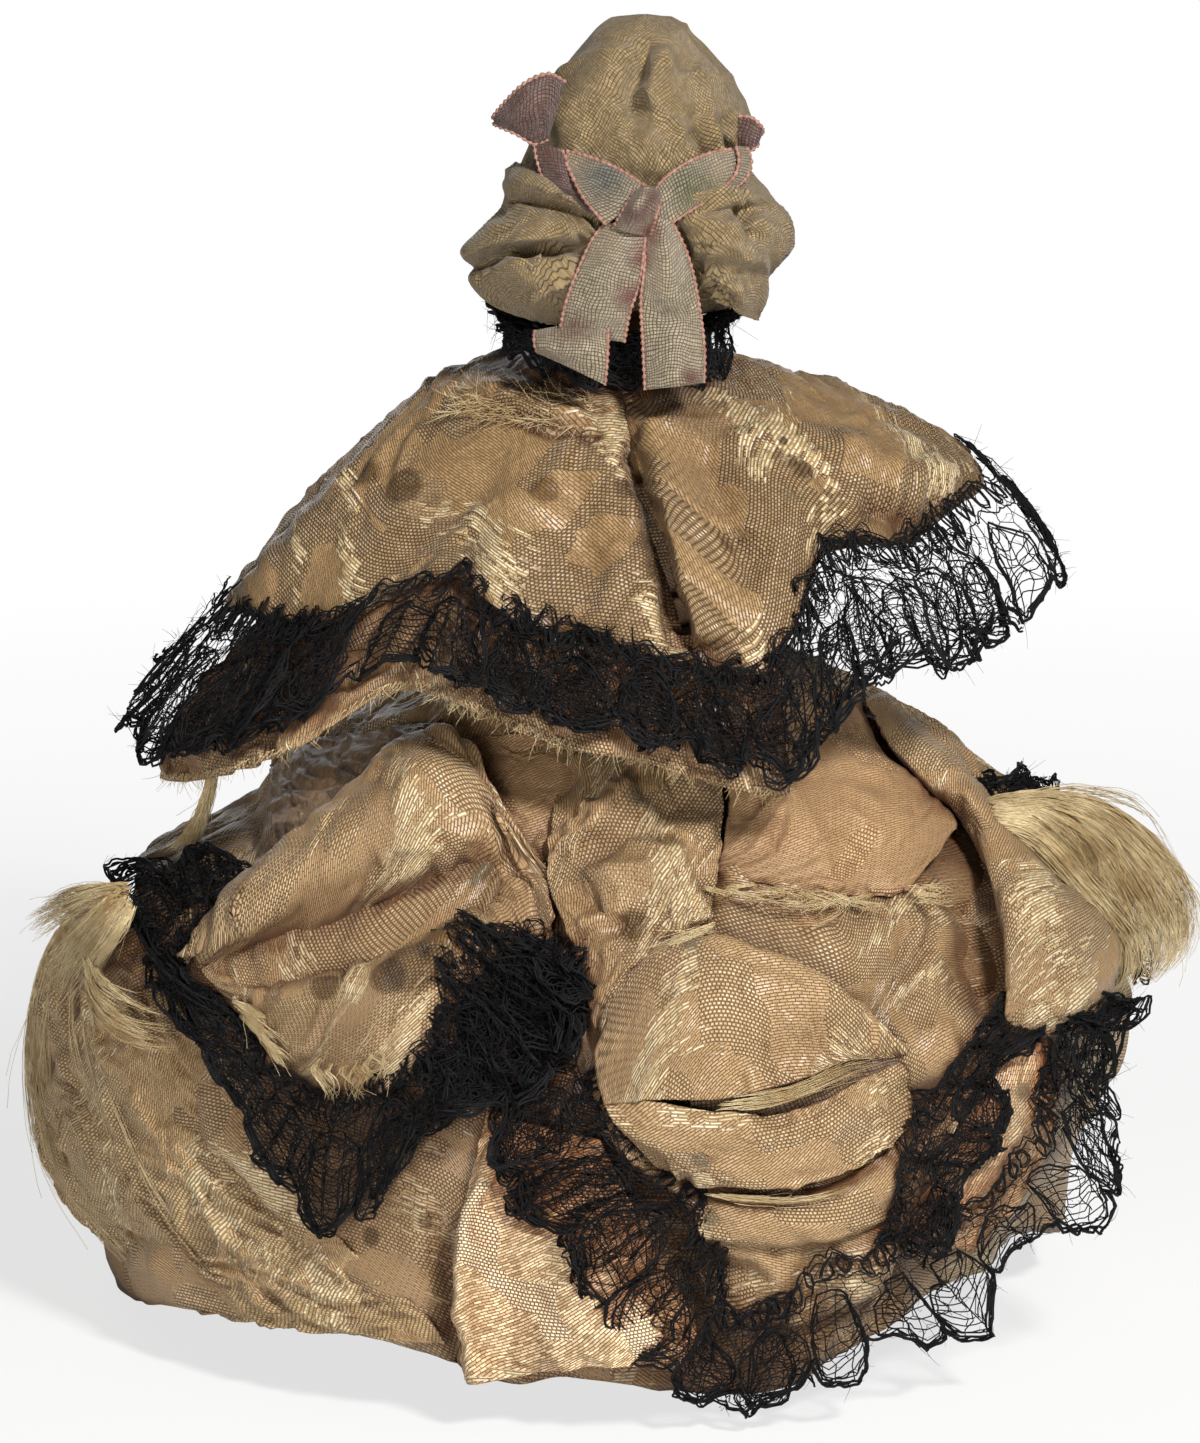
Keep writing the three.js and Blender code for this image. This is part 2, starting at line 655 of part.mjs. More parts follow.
// The cape's slope, as radii at drops below its neck edge, behind and on either side
const capeNeck = neckRadius + seat + capeCloth / 2;
const capeBackAt = through([
  [0, capeNeck], [0.8, 7], [2.4, 10], [6, 14.4], [12, 20.5], [19, 27], [26, 30], [34, 32],
]);
const capeLeftAt = through([
  [0, capeNeck], [0.7, 7.2], [1.6, 10.6], [2.8, 14.4], [8.5, 20.5], [12, 24], [21.5, 31.5], [29.5, 38.5], [34, 40],
]);
const capeRightAt = through([
  [0, capeNeck], [0.7, 7.2], [1.6, 11], [2.8, 15.6], [5.2, 22], [9, 28.4], [11.4, 30.8], [16.4, 34.4], [24, 36],
]);

function capeRadius(angle, z) {
  const drop = capeTop - z;
  const sideways = Math.abs(Math.sin(Math.min(90, Math.abs(angle)) * RADIAN)) ** 1.6;
  const side = angle > 0 ? capeLeftAt(drop) : capeRightAt(drop);
  const folds = capeFoldDepth * wave(angle / 26 + 0.1) * ease(drop / 12);
  return mix(capeBackAt(drop), side, sideways) + folds;
}

// Lower edge of the silk, and of the lace sewn to it, as drops below the neck edge
const capeEdgeDrop = through([
  [-97, 9.8], [-90, 10.2], [-74, 11.1], [-53, 12.4], [-39, 13], [-30, 17], [-22, 20.9], [3, 18.3], [16, 17.5],
  [31, 14.7], [38, 15.3], [53, 19.2], [80, 21.2], [97, 21.6],
]);
const capeLaceDrop = through([
  [-97, 15.5], [-90, 16.6], [-76, 19.7], [-53, 21.7], [-36, 23], [-27, 28.4], [-20, 28.5], [-4, 25.7],
  [9, 24.7], [25, 21.8], [38, 21.7], [49, 26.8], [72, 32.2], [85, 30.5], [97, 28],
]);

// One half of the cape. Its front edge runs from the neck out over the shoulder.
function capeHalf(side) {
  const start = 0.5;
  const face = (depth) => (u, v) => {
    const edge = mix(capeNeckEdge, capeFrontEdge, ease(v / 0.22));
    const angle = side * mix(start, edge, u);
    const below = side * mix(start, capeFrontEdge, u);
    const z = capeTop - v ** 1.4 * capeEdgeDrop(below);
    return around(angle, capeRadius(angle, z) + (depth - 0.5) * capeCloth, z);
  };
  return sheet({ columns: 17, rows: 7, outer: face(1), inner: face(0) });
}

const capeLace = (from, to) => hung({
  from, to, columns: 27, rows: 2,
  top: (angle) => capeTop - capeEdgeDrop(angle) - seat,
  bottom: (angle) => capeTop - capeLaceDrop(angle),
  inside: (angle, z) => {
    const down = capeTop - capeEdgeDrop(angle) - z;
    return capeRadius(angle, z) - laceCloth / 2 + ruffleAt(angle) * clamp01(down / 4);
  },
  cloth: () => laceCloth,
});

// The silk under the lace has lost its hem and hangs out below as a fringe.
const capeFringe = () => hung({
  from: -26, to: 74, columns: 18, rows: 2,
  top: (angle) => capeTop - capeEdgeDrop(angle) + 2,
  bottom: (angle) => capeTop - capeLaceDrop(angle) - fringeDrop,
  inside: (angle, z) => capeRadius(angle, z) - capeCloth / 2 - fringeInset,
  cloth: () => laceCloth,
});

// A loose strip of silk hangs from the lace on the left.
const looseStrip = () => hung({
  from: 77, to: 84, columns: 3, rows: 4,
  top: (angle) => capeTop - capeLaceDrop(angle) - seat,
  bottom: (angle) => capeTop - capeLaceDrop(angle) - 9.5,
  inside: (angle, z) => Math.max(
    capeRadius(angle, capeTop - capeLaceDrop(angle)),
    onOverskirt(angle, z) + layerAir,
  ),
  cloth: () => laceCloth,
});

const neckRuff = () => hung({
  from: 0, to: 360, columns: 36, rows: 2, closed: true,
  top: () => capeTop + seat + ruffHeight,
  bottom: () => capeTop + seat,
  inside: (angle, z) => {
    const up = (z - capeTop - seat) / ruffHeight;
    return capeNeck + laceCloth + up * (ruffReach - laceRuffle * wave(angle / 20));
  },
  cloth: () => laceCloth,
});

// The bonnet's crown is a soft bag, open over the face, that leans to the doll's right.
const rimHeight = (angle) => crownRim + faceOpening * ease((Math.abs(angle) - 75) / 75);
const crownSwell = through([[0, 1], [0.3, 1.02], [0.55, 0.95], [0.75, 0.8], [0.9, 0.56], [1, 0.28]]);

function bonnetCrown() {
  const face = (inset) => (u, v) => {
    const angle = 360 * u;
    const fromBack = angle > 180 ? angle - 360 : angle;
    const creases = 0.35 * wave(angle / 30) * v;
    const room = inset ? crownCloth : 0;
    const radius = (ellipseRadius(angle, crownHalfWidth, crownHalfDepth) - creases) * crownSwell(v) - room;
    const z = mix(rimHeight(fromBack), crownTop - room, v ** 1.25);
    return v < 1 ? around(angle, radius, z, -bonnetLean, 1) : around(0, 0, crownTop - room, -bonnetLean, 1);
  };
  return sheet({ columns: 24, rows: 7, outer: face(false), inner: face(true), closed: true, apex: true });
}

const bandInside = (angle) => ellipseRadius(angle, crownHalfWidth, crownHalfDepth) * 1.03 + seat;
const ribbonBand = () => {
  const face = (depth) => (u, v) => {
    const angle = 360 * u;
    const fromBack = angle > 180 ? angle - 360 : angle;
    const z = rimHeight(fromBack) - 0.5 + ribbonWidth * (1 - v);
    return around(angle, bandInside(angle) + depth * ribbonCloth, z, -bonnetLean, 1);
  };
  return sheet({ columns: 28, rows: 1, outer: face(1), inner: face(0), closed: true });
};

// The curtain is gathered into puffs below the ribbon, behind each cheek.
function curtain(from, to) {
  const top = crownRim - 0.5 - seat;
  return hung({
    from, to, columns: 16, rows: 4, axisX: -bonnetLean / 2,
    top: () => top,
    bottom: (angle) => top - curtainDrop * mix(1, 0.45, ease((Math.abs(angle) - 45) / 85)),
    inside: (angle, z) => {
      const down = (top - z) / curtainDrop;
      const puff = 0.8 + curtainBulge * Math.sin(angle * RADIAN) ** 2 + 0.9 * wave((curtainFolds * angle) / 130);
      return crownHalfDepth + 0.4 + puff * Math.sin(Math.PI * mix(0.08, 0.72, clamp01(down)));
    },
    cloth: () => curtainCloth,
  });
}

// Ribbon pieces behind the bonnet, set out from the knot
const knotX = -bonnetLean;
const knotY = 1 + bandInside(0) + ribbonCloth + 0.3 + knotSize * 0.3;
const knotZ = crownRim - 0.5 + ribbonWidth * 0.4;
const ribbonKnot = () => cleaned(ball(knotSize * 0.5, knotSize * 0.3, knotSize * 0.45).translate(knotX, knotY, knotZ));

function ribbonTail(points) {
  return ribbon({
    points: points.map(([x, y, z]) => [knotX + x, knotY + y, knotZ + z]),
    steps: 9,
    side: [1, 0, 0],
    width: (t) => ribbonWidth * mix(0.3, 0.9, ease(t / 0.4)),
    cloth: ribbonCloth,
  });
}
const tailLeft = () => ribbonTail([[1.2, 0.3, -2], [3.1, 1.3, -5], [4.1, 1.9, -8.5], [4.5, 2, -11.5], [3.8, 2.6, -14.6]]);
const tailRight = () => ribbonTail([[-1.2, 0.3, -2], [-2.3, 1.3, -5.4], [-2.7, 1.9, -9], [-2.8, 1.8, -12], [-2.7, 2.2, -15]]);

// A loop of ribbon on the crown, given by the points of its edge seen from above.
function ribbonLoop(points, width) {
  return ribbon({ points, closed: true, steps: 12, side: [0, 0, 1], width: () => width, cloth: ribbonCloth });
}
const bowZ = rimHeight(0) + ribbonWidth + 3;
const bowLeft = () => ribbonLoop([[4.2, 8.6, bowZ], [7.6, 9.4, bowZ], [10, 7.4, bowZ], [7.4, 7.3, bowZ]], 5.2);
const bowRight = () => ribbonLoop(
  [[-10.9, 7.8, bowZ - 3.2], [-12.6, 7.8, bowZ - 3.2], [-12.9, 5.6, bowZ - 3.2], [-11.6, 6.1, bowZ - 3.2]], 2.4,
);
const twistLoop = () => ribbonLoop(
  [[1.2, 11.3, knotZ + 1.6], [3.6, 12.7, knotZ + 1.6], [6.6, 10.6, knotZ + 1.6], [3.9, 10.7, knotZ + 1.6]], 4.4,
);

// Colours as the photograph shows them
const finishes = {
  wood: { color: "#c79a68", roughness: 0.55 },
  peg: { color: "#a8784a", roughness: 0.6 },
  silk: { color: "#c9a673", roughness: 0.5 },
  satin: { color: "#8a6236", roughness: 0.45 },
  fray: { color: "#b7a677", roughness: 0.8 },
  muslin: { color: "#9a875b", roughness: 0.85 },
  lace: { color: "#141216", roughness: 0.9 },
  ribbon: { color: "#a8967a", roughness: 0.6 },
};

const doll = new THREE.Group();

function add(parent, name, geometry, finish) {
  const mesh = new THREE.Mesh(geometry, new THREE.MeshStandardMaterial({ ...finishes[finish], metalness: 0 }));
  mesh.name = name;
  parent.add(mesh);
  return mesh;
}

add(doll, "head_and_torso", headAndTorso(), "wood");
add(doll, "nose_wedge", noseWedge(), "wood");
add(doll, "hip_pin", dowel(hipPinRadius, 2 * (hipSpread + hipTongueWidth / 2 + 1.4), [0, 0, hipHeight]), "peg");

for (const [side, x] of [["left", 1], ["right", -1]]) {
  const pegLength = shoulderSpread - chestHalfWidth / 3;
  const arm = new THREE.Group();
  arm.position.set(x * shoulderSpread, 0, shoulderHeight);
  arm.rotation.x = -armSwing * RADIAN;
  const elbow = new THREE.Group();
  elbow.position.z = -upperArmLength;
  elbow.rotation.x = -elbowBend * RADIAN;
  arm.add(elbow);
  doll.add(arm);
  const pegX = x * (shoulderSpread + armEarWidth / 2 - pegLength / 2);
  add(doll, `shoulder_peg_${side}`, dowel(shoulderPegRadius, pegLength, [pegX, 0, shoulderHeight]), "peg");
  add(arm, `upper_arm_${side}`, upperArm(), "wood");
  add(arm, `elbow_pin_${side}`, dowel(elbowPinRadius, 1.9 * elbowRadius, [0, 0, -upperArmLength]), "peg");
  add(arm, `sleeve_${side}`, sleeve(), "silk");
  add(elbow, `forearm_${side}`, forearm(), "wood");

  const leg = new THREE.Group();
  leg.position.set(x * hipSpread, 0, hipHeight);
  const knee = new THREE.Group();
  knee.position.z = -thighLength;
  leg.add(knee);
  doll.add(leg);
  add(leg, `thigh_${side}`, thigh(), "wood");
  add(leg, `knee_pin_${side}`, dowel(kneePinRadius, 1.9 * kneeRadius, [0, 0, -thighLength]), "peg");
  add(knee, `lower_leg_${side}`, lowerLeg(), "wood");
}

add(doll, "bodice", bodice(), "silk");
add(doll, "waistband", waistband(), "satin");
add(doll, "skirt_lining", skirtLining(), "muslin");
add(doll, "skirt", skirt(), "silk");
add(doll, "overskirt_left", overskirt(leftFrom, leftTo, 22, leftEdge), "silk");
add(doll, "overskirt_right", overskirt(rightFrom, rightTo, 25, rightEdge), "silk");
add(doll, "overskirt_centre", centreTail(), "silk");
add(doll, "side_drape_right", rolledDrape(), "satin");
add(doll, "lace_swag_left", skirtLace(leftFrom, leftTo, 34, leftEdge, leftLaceEdge), "lace");
add(doll, "lace_hem_right", skirtLace(rightFrom, rightTo, 38, rightEdge, rightLaceEdge), "lace");
add(doll, "silk_fray_left", frayLeft(), "fray");
add(doll, "silk_fray_right", frayRight(), "fray");
add(doll, "cape_left", capeHalf(1), "silk");
add(doll, "cape_right", capeHalf(-1), "silk");
add(doll, "cape_lace_left", capeLace(0.5, capeFrontEdge), "lace");
add(doll, "cape_lace_right", capeLace(-0.5, -capeFrontEdge), "lace");
add(doll, "cape_fringe", capeFringe(), "fray");
add(doll, "loose_silk_strip", looseStrip(), "fray");
add(doll, "neck_ruff", neckRuff(), "lace");
add(doll, "bonnet_crown", bonnetCrown(), "muslin");
add(doll, "bonnet_curtain_left", curtain(4, 128), "muslin");
add(doll, "bonnet_curtain_right", curtain(-4, -128), "muslin");
add(doll, "ribbon_band", ribbonBand(), "ribbon");
add(doll, "ribbon_knot", ribbonKnot(), "ribbon");
add(doll, "ribbon_tail_left", tailLeft(), "ribbon");
add(doll, "ribbon_tail_right", tailRight(), "ribbon");
add(doll, "ribbon_bow_left", bowLeft(), "ribbon");
add(doll, "ribbon_bow_right", bowRight(), "ribbon");
add(doll, "ribbon_twist_left", twistLoop(), "ribbon");

export default doll;
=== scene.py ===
"""A dressed wooden peg doll, its clothes laid over a carved and pegged frame.

Lengths are millimetres until a mesh is made. +Z is up, the doll faces -Y and its left is +X.
Angles are degrees from the middle of the back towards the doll's left.
"""
import logging
import math
from collections.abc import Callable, Sequence
from dataclasses import dataclass, field
from enum import Enum

import bpy
import numpy as np
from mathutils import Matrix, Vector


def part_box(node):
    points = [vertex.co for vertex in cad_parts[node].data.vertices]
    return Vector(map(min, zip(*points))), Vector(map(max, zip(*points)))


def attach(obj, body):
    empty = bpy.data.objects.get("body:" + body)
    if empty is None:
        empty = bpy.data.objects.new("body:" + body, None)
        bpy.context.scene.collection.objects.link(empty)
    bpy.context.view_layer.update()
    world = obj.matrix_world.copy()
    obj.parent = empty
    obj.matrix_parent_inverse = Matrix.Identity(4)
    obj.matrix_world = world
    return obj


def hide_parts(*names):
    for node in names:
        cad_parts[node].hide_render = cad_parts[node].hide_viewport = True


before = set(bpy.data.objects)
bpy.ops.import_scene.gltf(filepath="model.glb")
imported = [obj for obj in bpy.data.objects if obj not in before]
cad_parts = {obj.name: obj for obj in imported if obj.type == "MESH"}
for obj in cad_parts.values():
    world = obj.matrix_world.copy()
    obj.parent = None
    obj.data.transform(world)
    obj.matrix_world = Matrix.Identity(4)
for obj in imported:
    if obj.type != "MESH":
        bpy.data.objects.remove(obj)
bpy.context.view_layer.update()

MM = 0.001
Array = np.ndarray
Surface = Callable[[Array, Array], Array]
Net = Sequence[Sequence[Sequence[float]]]
log = logging.getLogger("peg_doll")


class Slot(Enum):
    """Kinds of material, by which the bodice and the waistband pick their finish."""

    WOOD = "wood"
    SILK = "silk"
    SATIN = "satin"
    FRAY = "fray"
    MUSLIN = "muslin"
    LACE = "lace"
    RIBBON = "ribbon"


def mix(low: Array | float, high: Array | float, share: Array | float) -> Array | float:
    """The value at a share of the way from low to high."""
    return low + (high - low) * share


def ease(share: Array | float) -> Array:
    """A share from 0 to 1 with soft ends."""
    inside = np.clip(share, 0, 1)
    return inside**2 * (3 - 2 * inside)


def wave(turns: Array | float) -> Array:
    """1 on a ridge and 0 in a valley, once a turn."""
    return 0.5 + 0.5 * np.cos(2 * np.pi * turns)


def hump(share: Array | float) -> Array:
    """0 at both ends of a share and 1 in its middle."""
    return np.sin(np.pi * np.clip(share, 0, 1))


class Curve:
    """A smooth line through (at, value) points that is level beyond its ends."""

    def __init__(self, *points: tuple[float, float]) -> None:
        """Works out the slopes.

        Args:
            points: (at, value) pairs in order of at.
        """
        self.at, self.value = np.array(points, float).T
        count = len(self.at)
        before = np.maximum(np.arange(count) - 1, 0)
        after = np.minimum(np.arange(count) + 1, count - 1)
        self.slope = (self.value[after] - self.value[before]) / (self.at[after] - self.at[before])

    def __call__(self, at: Array | float) -> Array:
        """The line's values.

        Args:
            at: Where to read the line.

        Returns:
            One value for each place.
        """
        inside = np.clip(np.asarray(at, float), self.at[0], self.at[-1])
        i = np.clip(np.searchsorted(self.at, inside, side="right") - 1, 0, len(self.at) - 2)
        span = self.at[i + 1] - self.at[i]
        t = (inside - self.at[i]) / span
        rise = self.value[i + 1] - self.value[i]
        bend = (1 - t) * (self.slope[i] * span - rise) - t * (self.slope[i + 1] * span - rise)
        return self.value[i] + rise * t + t * (1 - t) * bend


def smooth_line(points: Sequence[Sequence[float]], count: int) -> Array:
    """A smooth line through a few points.

    Args:
        points: The points, each of two or three numbers.
        count: How many points the line gets.

    Returns:
        The line's points, one row each.
    """
    given = np.array(points, float)
    steps = np.arange(len(given))
    at = np.linspace(0, len(given) - 1, count)
    return np.stack([Curve(*zip(steps, column))(at) for column in given.T], -1)


def smooth_net(net: Net, columns: int, rows: int) -> Array:
    """A smooth lattice through a few rows of points.

    Args:
        net: The rows, each of a few points of its own.
        columns: Faces across.
        rows: Faces down.

    Returns:
        Rows by columns by three numbers.
    """
    across = np.stack([smooth_line(row, columns + 1) for row in net])
    return np.stack([smooth_line(across[:, k], rows + 1) for k in range(columns + 1)], 1)


def around(angle: Array, radius: Array, height: Array, axis: tuple[float, float] = (0, 0)) -> Array:
    """Points round an upright axis.

    Args:
        angle: Degrees from the middle of the back towards the doll's left.
        radius: Distance from the axis.
        height: Height above the floor.
        axis: Where the axis stands.

    Returns:
        The points, with x, y and z last.
    """
    turn = np.radians(angle)
    height = np.broadcast_to(height, np.broadcast(angle, radius, height).shape)
    return np.stack([axis[0] + radius * np.sin(turn), axis[1] + radius * np.cos(turn), height], -1)


def from_back(angle: Array | float) -> Array:
    """Angles from the middle of the back, brought between -180 and 180 degrees."""
    angle = np.asarray(angle)
    return np.where(angle > 180, angle - 360, angle)


def ellipse(angle: Array, half_width: Array | float, half_depth: Array | float) -> Array:
    """Radius of an ellipse at an angle."""
    turn = np.radians(angle)
    return 1 / np.hypot(np.sin(turn) / half_width, np.cos(turn) / half_depth)


def ripple(x: Array, y: Array, pitch: float, seed: int, waves: int = 11) -> Array:
    """Smooth random hills, about from -2 to 2.

    Args:
        x: Place across, in the units of pitch.
        y: Place along.
        pitch: The usual distance from hill to hill.
        seed: Picks the hills.
        waves: How many plane waves make them.

    Returns:
        One height for each place.
    """
    rng = np.random.default_rng(seed)
    total = np.zeros(np.broadcast(x, y).shape)
    for _ in range(waves):
        turn, phase = rng.uniform(0, 2 * np.pi, 2)
        length = pitch * rng.uniform(0.65, 1.6)
        total += np.sin((x * np.cos(turn) + y * np.sin(turn)) * 2 * np.pi / length + phase)
    return total / math.sqrt(waves / 2)


@dataclass(frozen=True)
class Sight:
    """The photographed view, from behind the doll and a little above.

    Attributes:
        aim: What the camera is turned to.
        elevation: Degrees that it stands above that.
        distance: How far off it stands.
        field_height: What it shows at the aim, from top to bottom.
        grain: Photograph pixels in a millimetre.
        zero: The pixel of the floor's and the doll's middle lines.
        reach: How far behind and in front of the doll's middle a line of sight is followed.
        steps: Places along that line.
    """

    aim: tuple[float, float, float] = (1.25, 0.0, 49.9)
    elevation: float = 15.0
    distance: float = 700.0
    field_height: float = 120.25
    grain: float = 12.0
    zero: tuple[float, float] = (615.0, 1300.0)
    reach: tuple[float, float] = (46.0, -30.0)
    steps: int = 153

    @property
    def up(self) -> Array:
        """The view's upward direction."""
        rise = math.radians(self.elevation)
        return np.array([0, -math.sin(rise), math.cos(rise)])

    @property
    def eye(self) -> Array:
        """Where the camera stands."""
        rise = math.radians(self.elevation)
        return np.array(self.aim) + np.array([0, math.cos(rise), math.sin(rise)]) * self.distance

    def seen(self, points: Array) -> tuple[Array, Array]:
        """Where points show in the view.

        Args:
            points: Points with x, y and z last.

        Returns:
            Millimetres across at the aim, to the doll's left, and millimetres up.
        """
        aim = np.array(self.aim)
        off = points - self.eye
        depth = off @ (aim - self.eye) / self.distance
        scale = self.distance / depth
        return aim[0] + off[..., 0] * scale, aim @ self.up + off @ self.up * scale

    def lie(self, spots: Array, radius: Surface) -> Array:
        """Points on the doll at places in the photograph.

        Args:
            spots: Pixel across, pixel down and height over the surface, last.
            radius: The surface that carries them, at each angle and height.

        Returns:
            One point for each place.
        """
        aim, eye = np.array(self.aim), self.eye
        x = (self.zero[0] - spots[..., 0]) / self.grain
        rise = (self.zero[1] - spots[..., 1]) / self.grain - aim @ self.up
        target = aim + rise[..., None] * self.up
        target[..., 0] = x
        y = np.linspace(*self.reach, self.steps)
        share = (eye[1] - y) / (eye[1] - target[..., 1, None])
        across = eye[0] + (target[..., 0, None] - eye[0]) * share
        height = eye[2] + (target[..., 2, None] - eye[2]) * share
        gap = np.hypot(across, y) - radius(np.degrees(np.arctan2(across, y)), height) - spots[..., 2, None]
        inside = gap < 0
        last = np.where(inside.any(-1), np.argmax(inside, -1), np.argmin(gap, -1))
        last = np.clip(last, 1, len(y) - 1)[..., None]
        near, far = (np.take_along_axis(gap, last - k, -1)[..., 0] for k in (1, 0))
        part = np.where((near > 0) & (far < 0), near / np.where(near == far, 1, near - far), 1.0)
        path = [np.broadcast_to(line, gap.shape) for line in (across, y, height)]
        at, to = ([np.take_along_axis(line, last - k, -1)[..., 0] for line in path] for k in (1, 0))
        return np.stack([mix(a, b, part) for a, b in zip(at, to)], -1)

    def hang(self, spots: Array) -> Array:
        """Points at places in the photograph and at given distances behind the doll's middle.

        Args:
            spots: Pixel across, pixel down and distance behind the middle, last.

        Returns:
            One point for each place.
        """
        aim, eye = np.array(self.aim), self.eye
        rise = (self.zero[1] - spots[..., 1]) / self.grain - aim @ self.up
        target = aim + rise[..., None] * self.up
        target[..., 0] = (self.zero[0] - spots[..., 0]) / self.grain
        share = (eye[1] - spots[..., 2]) / (eye[1] - target[..., 1])
        return eye + (target - eye) * share[..., None]

    def free(self, net: Net, columns: int, rows: int) -> Array:
        """A sheet through rows of (pixel across, pixel down, distance behind the doll's middle)."""
        return self.hang(smooth_net(net, columns, rows))

    def laid(self, net: Net, radius: Surface, columns: int, rows: int) -> Array:
        """A sheet through rows of (pixel across, pixel down, height over a surface)."""
        return self.lie(smooth_net(net, columns, rows), radius)


SIGHT = Sight()


def normals(points: Array) -> Array:
    """Unit normals of a lattice of points, pointing away from the doll.

    Args:
        points: Rows by columns by x, y and z.

    Returns:
        One normal for each point.
    """
    normal = np.cross(np.gradient(points, axis=1), np.gradient(points, axis=0))
    normal /= np.maximum(np.linalg.norm(normal, axis=-1, keepdims=True), 1e-9)
    outward = np.sum(normal[..., :2] * points[..., :2], axis=-1).mean()
    return normal if outward > 0 else -normal


def flat_places(points: Array, grain: float = 0.0) -> Array:
    """Where each point of a lattice lay on the flat cloth, with its threads kept straight.

    Args:
        points: Rows by columns by x, y and z.
        grain: Degrees by which the weave is turned.

    Returns:
        Rows by columns by two numbers, in millimetres.
    """
    def measured(steps: Array) -> Array:
        sizes = np.linalg.norm(steps, axis=-1)
        whole = sizes.sum(0)
        count = np.arange(len(whole))
        smooth = np.polyval(np.polyfit(count, whole, 4), count)
        shares = np.concatenate([[0], np.cumsum(sizes.mean(1))]) / sizes.mean(1).sum()
        return shares[:, None] * smooth[None]

    across = measured(np.diff(points, axis=1).transpose(1, 0, 2)).T
    across -= across[:, [across.shape[1] // 2]]
    down = measured(np.diff(points, axis=0))
    turn = math.radians(grain)
    u = across * math.cos(turn) - down * math.sin(turn)
    v = across * math.sin(turn) + down * math.cos(turn)
    return np.stack([u, v], -1)


@dataclass(frozen=True)
class Fold:
    """A ridge or valley in cloth, along a line seen from behind.

    Attributes:
        line: (across, up) points in the view from behind.
        height: How far it stands out, negative for a valley.
        left: Width on the left hand of someone walking along the line, as it is seen.
        right: Width on the right hand.
        taper: Share of its length over which either end fades out.
        droop: How far its crest hangs down over what is below it.
    """

    line: tuple[tuple[float, float], ...]
    height: float
    left: float
    right: float
    taper: float = 0.25
    droop: float = 0.0

    def share(self, across: Array, up: Array) -> Array:
        """How strongly the fold acts at each place, from 0 to 1.

        Args:
            across: Places across the view.
            up: Places up the view.

        Returns:
            One share for each place.
        """
        line = smooth_line(self.line, 7 * len(self.line))
        steps = np.diff(line, axis=0)
        sizes = np.linalg.norm(steps, axis=1)
        starts = np.concatenate([[0], np.cumsum(sizes)])
        nearest = np.full(across.shape, np.inf)
        width = np.ones(across.shape)
        along = np.zeros(across.shape)
        for start, step, size, done in zip(line, steps, sizes, starts):
            share = ((across - start[0]) * step[0] + (up - start[1]) * step[1]) / size**2
            share = np.clip(share, 0, 1)
            off_across = across - start[0] - share * step[0]
            off_up = up - start[1] - share * step[1]
            distance = off_across**2 + off_up**2
            on_left = step[0] * off_up - step[1] * off_across < 0
            nearer = distance < nearest
            nearest = np.where(nearer, distance, nearest)
            width = np.where(nearer, np.where(on_left, self.left, self.right), width)
            along = np.where(nearer, (done + share * size) / starts[-1], along)
        profile = np.exp(-((np.sqrt(nearest) / width) ** 1.7))
        if self.taper > 0:
            profile = profile * ease(along / self.taper) * ease((1 - along) / self.taper)
        return profile


def folded(points: Array, folds: Sequence[Fold]) -> Array:
    """Cloth with its folds.

    Args:
        points: Rows by columns by x, y and z.
        folds: The folds, which fade out in front of the doll.

    Returns:
        The moved points.
    """
    across, up = SIGHT.seen(points)
    lift = np.zeros(across.shape)
    droop = np.zeros(across.shape)
    for fold in folds:
        share = fold.share(across, up)
        lift += fold.height * share
        droop += fold.droop * share
    behind = ease((points[..., 1] + 6) / 14)
    moved = points + normals(points) * (lift * behind)[..., None]
    moved[..., 2] -= droop * behind
    return moved


def crumpled(points: Array, flat: Array, depth: float, pitch: float, seed: int, sharp: float = 0.5) -> Array:
    """Cloth with small random creases.

    Args:
        points: Rows by columns by x, y and z.
        flat: Where each point lay on the flat cloth.
        depth: How deep the creases are.
        pitch: The usual distance from crease to crease.
        seed: Picks the creases.
        sharp: Share of them that are sharp ridges.

    Returns:
        The moved points.
    """
    x, y = flat[..., 0], flat[..., 1]
    bent_x = x + 0.35 * pitch * ripple(x, y, 2.3 * pitch, seed + 1)
    bent_y = y + 0.35 * pitch * ripple(x, y, 2.3 * pitch, seed + 2)
    soft = ripple(bent_x, bent_y, pitch, seed)
    ridges = 0.8 - np.abs(ripple(bent_x, bent_y, 1.7 * pitch, seed + 3))
    heights = mix(soft, ridges, sharp) * depth / 2
    return points + normals(points) * heights[..., None]


def span(columns: int, rows: int) -> tuple[Array, Array]:
    """Shares across and down for a lattice of rows and columns of faces."""
    return np.meshgrid(np.linspace(0, 1, columns + 1), np.linspace(0, 1, rows + 1))


